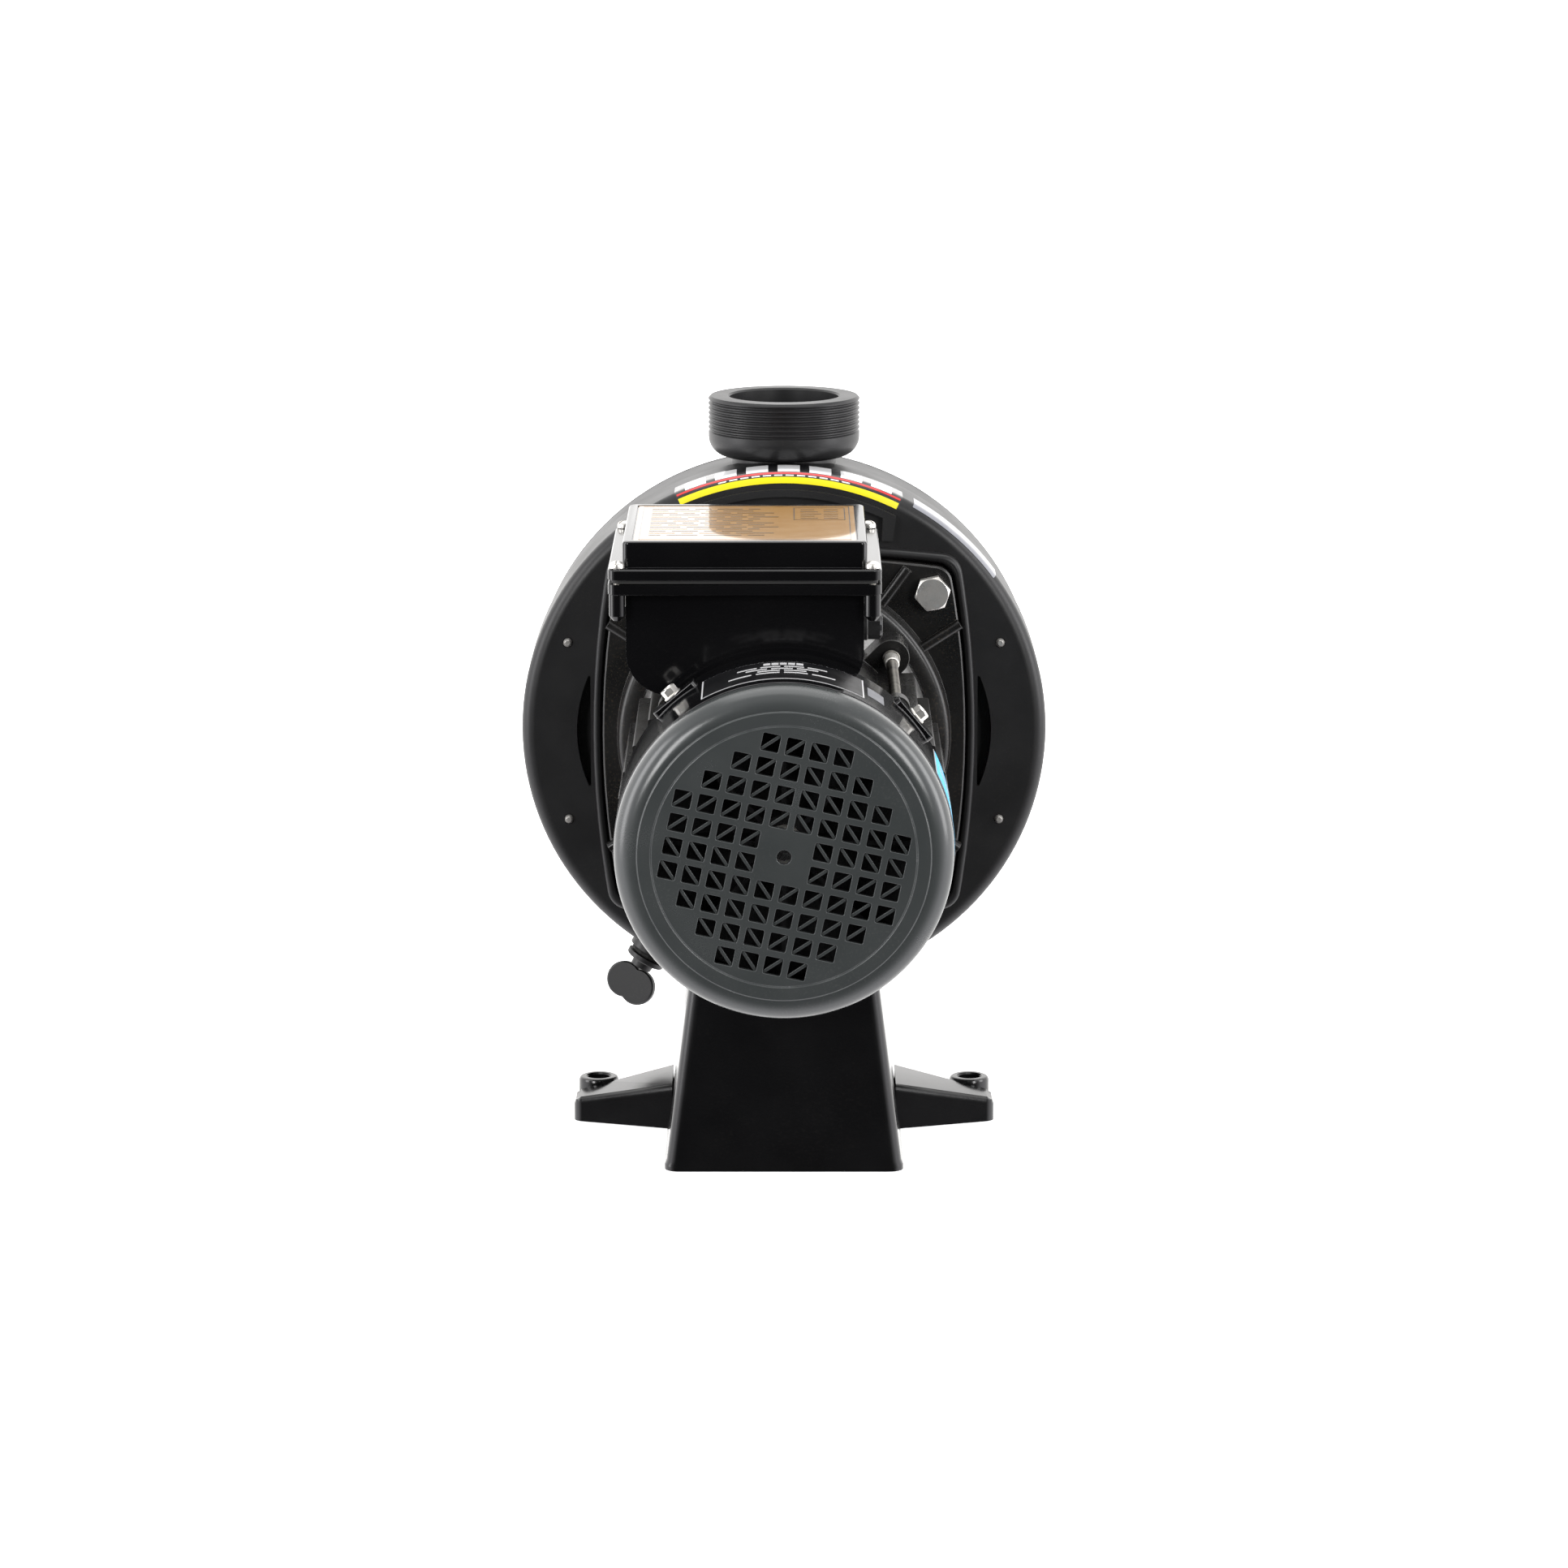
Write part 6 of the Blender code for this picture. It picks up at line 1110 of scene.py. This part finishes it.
# ---- terminal box
boxLow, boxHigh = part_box("terminal_box")
lidLow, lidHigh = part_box("box_lid")
terminal = {
    "flangeReach": 0.0073,
    "flangeThickness": 0.0045,
    "corner": 0.018,
    "wall": 0.0025,
    "plateauInset": 0.006,
    "lidFlange": 0.0045,
    "lidWall": 0.0025,
    "screwInset": 0.0038,
    "postRadius": 0.0034,
    "postLength": 0.0135,
}
upright = Matrix.Identity(4)
bodyLeft = boxLow.x + terminal["flangeReach"]
bodyRight = boxHigh.x - terminal["flangeReach"]
bodyStart = backY - (boxHigh.y - terminal["flangeReach"])
bodyEnd = backY - (boxLow.y + terminal["flangeReach"])


def plan(inset, corner=0.004, steps=6):
    # plan of the box's flange, seen from above, moved in by inset
    return rectangle(boxLow.x + inset, boxHigh.x - inset, boxLow.y + inset, boxHigh.y - inset,
                     max(corner - inset * 0.2, 0.001), steps)


def lidSpots():
    inset = terminal["screwInset"]
    return [Matrix.Translation((x, y, 0.0)) for x in (boxLow.x + inset, boxHigh.x - inset)
            for y in (boxLow.y + inset, boxHigh.y - inset)]


def saddle(radius):
    return prism(circle(radius, 96), -0.002, capFace)


def makeTerminalBox():
    bottom = boxLow.z - axisHeight
    top = boxHigh.z - axisHeight
    corner = terminal["corner"]
    outline = rounded([(bodyLeft, bottom), (bodyRight, bottom), (bodyRight, top), (bodyLeft, top)],
                      [corner, corner, 0.0, 0.0], 14)
    box = place("terminal_box_moulding", prism(outline, bodyStart, bodyEnd), along())
    flangeTop = boxHigh.z
    flangeLow = flangeTop - terminal["flangeThickness"]
    post = circle(terminal["postRadius"], 32)
    tip = circle(terminal["postRadius"] * 0.5, 32)
    postLow = flangeTop - terminal["postLength"]
    flange = stack([(plan(0.0004), flangeLow), (plan(0.0), flangeLow + 0.0004), (plan(0.0), flangeTop)])
    combine(box, "UNION", (flange, upright),
            (many([(tip, postLow - 0.002), (post, postLow), (post, flangeTop - 0.0005)], lidSpots()),
             upright))
    wall = terminal["wall"]
    hollowOutline = rounded([(bodyLeft + wall, bottom + wall), (bodyRight - wall, bottom + wall),
                             (bodyRight - wall, top + 0.002), (bodyLeft + wall, top + 0.002)],
                            [corner - wall, corner - wall, 0.0, 0.0], 14)
    hollow = place("hollow", prism(hollowOutline, bodyStart + wall, bodyEnd - wall), along())
    combine(hollow, "DIFFERENCE", (saddle(motor["radius"] + gap + wall), along()))
    hollowShape = bmesh.new()
    hollowShape.from_mesh(hollow.data)
    bpy.data.objects.remove(hollow, do_unlink=True)
    hole = circle(0.0019, 24)
    entry = prism(circle(0.0048, 32), -wall - 0.002, 0.002)
    combine(box, "DIFFERENCE", (saddle(motor["radius"] + gap), along()), (hollowShape, along()),
            (many([(hole, flangeTop - 0.0112), (hole, flangeTop + 0.002)], lidSpots()), upright),
            (entry, conduitAxis))
    dress(box, glossBlack, ["terminal_box"], bevel=0.0006, segments=3, angle=35.0)


def makeGasket():
    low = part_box("box_gasket")[0].z
    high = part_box("box_gasket")[1].z
    outer = plan(0.0015)
    inner = plan(0.0093)
    dress(place("lid_gasket", hoop([(outer, low), (outer, high), (inner, high), (inner, low)]), upright),
          blackRubber, ["box_gasket"], angle=35.0)


def makeLid():
    low = lidLow.z
    flangeTop = low + terminal["lidFlange"]
    top = lidHigh.z
    inset = terminal["plateauInset"]
    outer = plan(0.0)
    rings = [(outer, low), (outer, flangeTop - 0.0006), (plan(0.0006), flangeTop)]
    lid = place("terminal_lid_moulding", stack(rings), upright)
    foot = plan(inset)
    plateau = stack([(foot, flangeTop - 0.0005), (foot, top - 0.0012), (plan(inset + 0.0004), top - 0.0004),
                     (plan(inset + 0.0012), top)])
    step = inset + terminal["lidWall"]
    hole = circle(0.0019, 24)
    bed = plan(inset + 0.0040)      # the nameplate's bed, sunk into the top
    combine(lid, "UNION", (plateau, upright))
    combine(lid, "DIFFERENCE",
            (prism(plan(step), low - 0.002, top - terminal["lidWall"]), upright),
            (prism(bed, top - 0.0004, top + 0.002), upright),
            (many([(hole, low - 0.002), (hole, flangeTop + 0.002)], lidSpots()), upright))
    dress(lid, glossBlack, ["box_lid"], bevel=0.0004, segments=3, angle=35.0)


def makeLidScrews():
    start = lidLow.z + terminal["lidFlange"] + gap
    spots = sorted(lidSpots(), key=lambda m: (m.translation.x, -m.translation.y))
    for i, spot in enumerate(spots):
        seat = spot @ Matrix.Translation((0.0, 0.0, start)) @ Matrix.Rotation(0.6 + 0.9 * i, 4, "Z")
        screw = place(f"lid_slot_screw_{i + 1}", panHead(0.0031, 0.003, 0.0016, 0.0115, 36), seat)
        slotCut = prism(rectangle(-0.004, 0.004, -0.0004, 0.0004), 0.0017, 0.005)
        combine(screw, "DIFFERENCE", (slotCut, seat))
        dress(screw, brightSteel, [f"lid_screw_{i + 1}"], bevel=0.00008, segments=2,
              angle=35.0)


def flatPatch(name, look, patches, low, high):
    shape = bmesh.new()
    for patch in patches:
        outline = rectangle(*patch, 0.0, 1)
        addStack(shape, [(outline, low), (outline, high)])
    return dress(place(name, shape, upright), look, angle=40.0)


def makeNameplate():
    # a gold plate with plain ruled frames and short bars, on the lid
    inset = terminal["plateauInset"] + 0.0046
    left, right = boxLow.x + inset, boxHigh.x - inset
    near, far = boxLow.y + inset, boxHigh.y - inset
    bed = lidHigh.z - 0.0004
    plateTop = bed + 0.0002
    flatPatch("nameplate", plateGold, [(left, right, near, far)], bed + 0.00002, plateTop)
    rules = []
    line = 0.00035
    split = left + (right - left) * 0.72
    for x0, x1, y0, y1 in ((left + 0.002, right - 0.002, near + 0.002, far - 0.002),
                           (split, right - 0.004, far - 0.040, far - 0.006)):
        rules += [(x0, x1, y0, y0 + line), (x0, x1, y1 - line, y1), (x0, x0 + line, y0, y1),
                  (x1 - line, x1, y0, y1)]
    for row in range(14):
        y = far - 0.010 - row * 0.0056
        first = left + 0.006
        lengths = (0.016, 0.007, 0.011, 0.005, 0.013)
        for number in range(5):
            length = lengths[(number + row) % 5]
            if first + length < split - 0.003:
                rules.append((first, first + length, y, y + 0.0011))
            first += length + 0.0026
    for row in range(5):
        y = far - 0.012 - row * 0.006
        rules.append((split + 0.003, split + 0.009 + 0.0015 * (row % 3), y, y + 0.0009))
        rules.append((split + 0.013, right - 0.007, y, y + 0.0009))
    flatPatch("nameplate_rules", labelBlack, rules, plateTop + 0.00002, plateTop + 0.00008)


conduitLow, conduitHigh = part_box("conduit_plug")
conduitAxis = (Matrix.Translation((bodyRight, (conduitLow.y + conduitHigh.y) / 2.0,
                                   (conduitLow.z + conduitHigh.z) / 2.0))
               @ Matrix.Rotation(rightAngle, 4, "Y"))


def makeConduitPlug():
    reach = conduitHigh.x - bodyRight
    head = (conduitHigh.z - conduitLow.z) / 2.0
    body = turned([(0.0, -0.0055), (0.0045, -0.0055), (0.0045, gap), (head, gap), (head, 0.0022),
                   (head - 0.0005, 0.0026), (0.0, 0.0026)], 48)
    plug = place("conduit_entry_plug", body, conduitAxis)
    nut = stack([(hexagon(0.0102, 48), 0.002), (hexagon(0.0102, 48), reach - 0.0012),
                 (circle(0.0046, 48), reach - 0.0002), (circle(0.0038, 48), reach)])
    combine(plug, "UNION", (nut, conduitAxis))
    dress(plug, satinBlack, ["conduit_plug"], bevel=0.0003, segments=2, angle=35.0)


makeTerminalBox()
makeGasket()
makeLid()
makeLidScrews()
makeNameplate()
makeConduitPlug()
print("terminal box made")


# ---- pedestal base
baseLow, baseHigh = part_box("base")
pedestal = {
    "footWidth": 0.1046,
    "draft": 0.130,
    "endDraft": 0.02,
    "wall": 0.004,
    "topDrop": 0.044,
    "corner": 0.006,
    "wingRoot": (0.069, 0.027),     # front and back edge of a wing at the pedestal, from the flat back
    "wingTip": (0.055, 0.040),
    "wingHeights": (0.0196, 0.0105),
    "anchorX": 0.0845,
    "anchorBack": 0.031,
    "bossRadius": 0.009,
    "bossHeight": 0.015,
    "hole": 0.005,
}
baseOrigin = Matrix.Translation((0.0, backY, 0.0))
baseFar = backY - baseLow.y


def pedestalRing(height, inset):
    half = pedestal["footWidth"] / 2.0 - pedestal["draft"] * height - inset
    near = 0.024 + pedestal["endDraft"] * height + inset
    far = baseFar - pedestal["endDraft"] * height - inset
    return rectangle(-half, half, -far, -near, max(pedestal["corner"] - inset, 0.0015), 8)


def wing(side, inset, root, floor, steps=10):
    tip = baseHigh.x - inset
    rootFront, rootBack = pedestal["wingRoot"]
    tipFront, tipBack = pedestal["wingTip"]
    corners = [(side * root, -rootFront + inset), (side * tip, -tipFront + inset),
               (side * tip, -tipBack - inset), (side * root, -rootBack - inset)]
    outline = rounded(corners, [0.0, 0.005 - inset / 2.0, 0.005 - inset / 2.0, 0.0], steps)
    rootHigh, tipHigh = pedestal["wingHeights"]
    half = pedestal["footWidth"] / 2.0
    fall = (rootHigh - tipHigh) / (baseHigh.x - half)
    shape = bmesh.new()
    loops = []
    loops.append([shape.verts.new((x, y, floor)) for x, y in outline])
    middleY = -(rootFront + rootBack + tipFront + tipBack) / 4.0
    # the top rolls over to the sides in three steps
    for drop, pull in ((0.0030, 0.0), (0.0009, 0.0009), (0.0, 0.0030)) if inset == 0.0 else ((0.0, 0.0),):
        ring = []
        for x, y in outline:
            reach = abs(x)
            newX = side * min(reach, tip - pull)
            newY = middleY + (y - middleY) * (1.0 - pull / 0.016)
            z = rootHigh - inset - fall * (reach - half) - drop
            ring.append(shape.verts.new((newX, newY, max(z, floor + 0.001))))
        loops.append(ring)
    shape.faces.new(loops[0])
    shape.faces.new(loops[-1])
    joinLoops(shape, loops)
    return shape


def makeBase():
    top = axisHeight - pedestal["topDrop"]
    wall = pedestal["wall"]
    foot = 0.0022                   # the foot flares a little at the floor
    rings = [(pedestalRing(0.0, 0.0), 0.0), (pedestalRing(0.0, 0.0), foot),
             (pedestalRing(foot * 2.0, 0.0003), foot * 2.0), (pedestalRing(top, 0.0), top)]
    base = place("pedestal_moulding", stack(rings), baseOrigin)
    root = pedestal["footWidth"] / 2.0 - wall / 2.0
    boss = pedestal["bossRadius"]
    high = pedestal["bossHeight"]
    bossProfile = [(0.0, 0.0), (boss, 0.0), (boss, high - 0.0015), (boss - 0.0005, high - 0.0005),
                   (boss - 0.0015, high), (0.0, high)]
    for side in (1.0, -1.0):
        combine(base, "UNION", (wing(side, 0.0, root, 0.0), baseOrigin))
        combine(base, "DIFFERENCE", (wing(side, wall, root - 0.02, -0.002), baseOrigin))
        spot = baseOrigin @ Matrix.Translation((side * pedestal["anchorX"], -pedestal["anchorBack"], 0.0))
        combine(base, "UNION", (turned(bossProfile, 48), spot))
    rings = [(pedestalRing(0.0, wall), -0.002), (pedestalRing(top, wall), top + 0.002)]
    hollow = place("hollow", stack(rings), baseOrigin)
    combine(hollow, "DIFFERENCE", (saddle(motor["radius"] + gap + wall), along()))
    hollowShape = bmesh.new()
    hollowShape.from_mesh(hollow.data)
    bpy.data.objects.remove(hollow, do_unlink=True)
    bellEnd = fanSide("front_end_bell")
    room = lug(rodCircle, 0.009, motor["radius"] - 0.013)
    combine(base, "DIFFERENCE", (saddle(motor["radius"] + gap), along()), (hollowShape, baseOrigin),
            (many([(room, bellEnd - 0.0275), (room, bellEnd + 0.001)], rodSpots()), along()))
    for side in (1.0, -1.0):
        spot = baseOrigin @ Matrix.Translation((side * pedestal["anchorX"], -pedestal["anchorBack"], 0.0))
        bore = turned([(0.0, -0.002), (pedestal["hole"], -0.002), (pedestal["hole"], high - 0.0008),
                       (pedestal["hole"] + 0.0008, high), (pedestal["hole"] + 0.0008, high + 0.002),
                       (0.0, high + 0.002)], 40)
        combine(base, "DIFFERENCE", (bore, spot))
    dress(base, baseBlack, ["base"], bevel=0.0009, segments=3, angle=35.0)


makeBase()
print("base made")


# ---- drain plug
def makeDrainPlug():
    seat = casingRadius + drain["bossReach"]
    collar = seat + gap + 0.0022 + gap
    collarTop = collar + 0.0025
    stemTop = collarTop + 0.0035
    low = collar - 0.013
    shank = drain["shank"]
    profile = [(0.0, low), (shank - 0.0008, low), (shank, low + 0.0008)]
    for i in range(6):
        z = low + 0.001 + i * 0.00141
        profile += [(shank, z + 0.0002), (shank - 0.0007, z + 0.0006), (shank - 0.0007, z + 0.0008),
                    (shank, z + 0.0012)]
    profile += [(shank, collar), (0.0092, collar), (0.0092, collarTop - 0.0005), (0.0087, collarTop),
                (0.0052, collarTop), (0.0050, stemTop), (0.0, stemTop)]
    plug = place("drain_wing_screw", turned(profile, 48), drainAxis)
    # the wing is two round lobes that meet in a shallow waist
    middle = stemTop + 0.0090
    lobe, apart = 0.0084, 0.0036
    meet = math.degrees(math.acos(-apart / lobe))
    outline = arc((apart, middle), lobe, -meet, meet, 28)
    outline += arc((-apart, middle), lobe, 180.0 - meet, 180.0 + meet, 28)
    thick = 0.0045 / 2.0
    inner = [(x * 0.93, middle + (y - middle) * 0.93) for x, y in outline]
    blade = stack([(inner, -thick), (outline, -thick + 0.0009), (outline, thick - 0.0009), (inner, thick)])
    spot = drainAxis @ Matrix.Rotation(math.radians(20.0), 4, "Z") @ Matrix.Rotation(rightAngle, 4, "X")
    combine(plug, "UNION", (blade, spot))
    dress(plug, satinBlack, ["drain_plug"], body="drain_wing_plug", bevel=0.0003,
          segments=3, angle=35.0)


makeDrainPlug()
print("drain plug made")

# ---- nodes that keep their own shape
keptFinishes = {
    "casing_oring": blackRubber, "drain_oring": blackRubber, "slinger": blackRubber,
    "seal_plate": satinBlack, "seal_seat": sealCeramic, "seal_head": sealCarbon, "seal_spring": brightSteel,
    "impeller": greyPlastic, "diffuser": greyPlastic, "cooling_fan": fanBlack, "impeller_nut": brightSteel,
    "fan_clip": brightSteel, "wave_washer": brightSteel, "front_bearing_balls": brightSteel,
    "rear_bearing_balls": brightSteel, "shaft": shaftSteel, "front_bearing_inner": shaftSteel,
    "front_bearing_outer": shaftSteel, "rear_bearing_inner": shaftSteel, "rear_bearing_outer": shaftSteel,
    "rotor_core": laminationSteel, "stator_core": laminationSteel, "stator_winding": windingCopper,
    "run_capacitor": whitePlastic, "terminal_block": whitePlastic,
}
for nodeName, look in keptFinishes.items():
    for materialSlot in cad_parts[nodeName].material_slots:
        materialSlot.material = look
print("kept nodes dressed")

# ---- floor, light and camera
studio = {
    "floorColour": (0.93, 0.93, 0.93),
    "floorLight": 5.0,              # a broad soft light that falls on the floor alone
    "sky": (1.9, 1.9, 0.7, 0.02),   # strength behind, at the sides, above and in front
    "cameraPlace": (0.0, -2.323, 0.637),
    "cameraPitch": 11.6,
    "lens": 122.98,
}
floorShape = bmesh.new()
floorOutline = rectangle(-30.0, 30.0, -30.0, 30.0)
addStack(floorShape, [(floorOutline, -0.02), (floorOutline, 0.0)])
floor = place("floor", floorShape, upright)
floorLook = bpy.data.materials.new("palePaper")
floorLook.use_nodes = True
floorShader = floorLook.node_tree.nodes["Principled BSDF"]
floorShader.inputs["Base Color"].default_value = (*studio["floorColour"], 1.0)
floorShader.inputs["Roughness"].default_value = 0.9
floor.data.materials.append(floorLook)
# the white floor stays out of the gloss; the sky below it gives the light that comes up
floor.visible_diffuse = False
floor.visible_glossy = False
floor.visible_shadow = False

world = bpy.data.worlds.new("softSky")
bpy.context.scene.world = world
bpy.context.scene.view_settings.view_transform = "Standard"
world.use_nodes = True
skyTree = world.node_tree
background = skyTree.nodes["Background"]
direction = addNode(skyTree, "ShaderNodeTexCoord").outputs["Generated"]
split = addNode(skyTree, "ShaderNodeSeparateXYZ")
skyTree.links.new(direction, split.inputs["Vector"])
# bright behind, softer at the sides, darker in front of the fan cap
behind, sides, above, front = studio["sky"]
turnAway = between(skyTree, split.outputs["Y"], 0.0, 1.0, -0.80, -0.25)
turnBack = between(skyTree, split.outputs["Y"], 0.0, 1.0, -0.10, 0.75)
lift = between(skyTree, split.outputs["Z"], 0.0, 1.0, 0.35, 0.95)
sideTone = blendColour(skyTree, turnAway, (front, front, front), (sides, sides * 0.985, sides * 1.02))
backTone = blendColour(skyTree, turnBack, sideTone, (behind, behind * 0.99, behind * 0.98))
skyColour = blendColour(skyTree, lift, backTone, (above, above, above))
skyTree.links.new(skyColour, background.inputs["Color"])
background.inputs["Strength"].default_value = 1.0


def softbox(name, spot, aim, size, power):
    light = bpy.data.lights.new(name, "AREA")
    light.shape = "RECTANGLE"
    light.size, light.size_y = size
    light.energy = power
    lamp = bpy.data.objects.new(name, light)
    lamp.location = spot
    towards = Matrix.Translation(aim).translation - lamp.location
    lamp.rotation_euler = towards.to_track_quat("-Z", "Y").to_euler()
    bpy.context.scene.collection.objects.link(lamp)


softbox("topLight", (0.0, 0.3, 1.9), (0.0, 0.0, 0.15), (1.6, 1.6), 14.0)
softbox("leftLight", (-1.6, -0.4, 0.6), (0.0, 0.0, 0.2), (0.6, 1.4), 12.0)
softbox("rightLight", (1.6, -0.3, 0.7), (0.0, 0.0, 0.2), (0.6, 1.4), 14.0)
softbox("leftFrontLight", (-1.3, -2.0, 0.9), (0.0, 0.0, 0.2), (0.6, 1.0), 22.0)
softbox("rightFrontLight", (1.3, -2.0, 0.9), (0.0, 0.0, 0.2), (0.6, 1.0), 22.0)
overhead = bpy.data.lights.new("floorLight", "SUN")
overhead.energy = studio["floorLight"]
overhead.angle = math.radians(100.0)
overheadLamp = bpy.data.objects.new("floorLight", overhead)
bpy.context.scene.collection.objects.link(overheadLamp)
floorOnly = bpy.data.collections.new("floorOnly")
floorOnly.objects.link(floor)
overheadLamp.light_linking.receiver_collection = floorOnly

cameraData = bpy.data.cameras.new("view")
cameraData.lens = studio["lens"]
cameraData.sensor_width = 36.0
camera = bpy.data.objects.new("view", cameraData)
camera.location = studio["cameraPlace"]
camera.rotation_euler = (math.radians(90.0 - studio["cameraPitch"]), 0.0, 0.0)
bpy.context.scene.collection.objects.link(camera)
bpy.context.scene.camera = camera
print("light and camera placed")
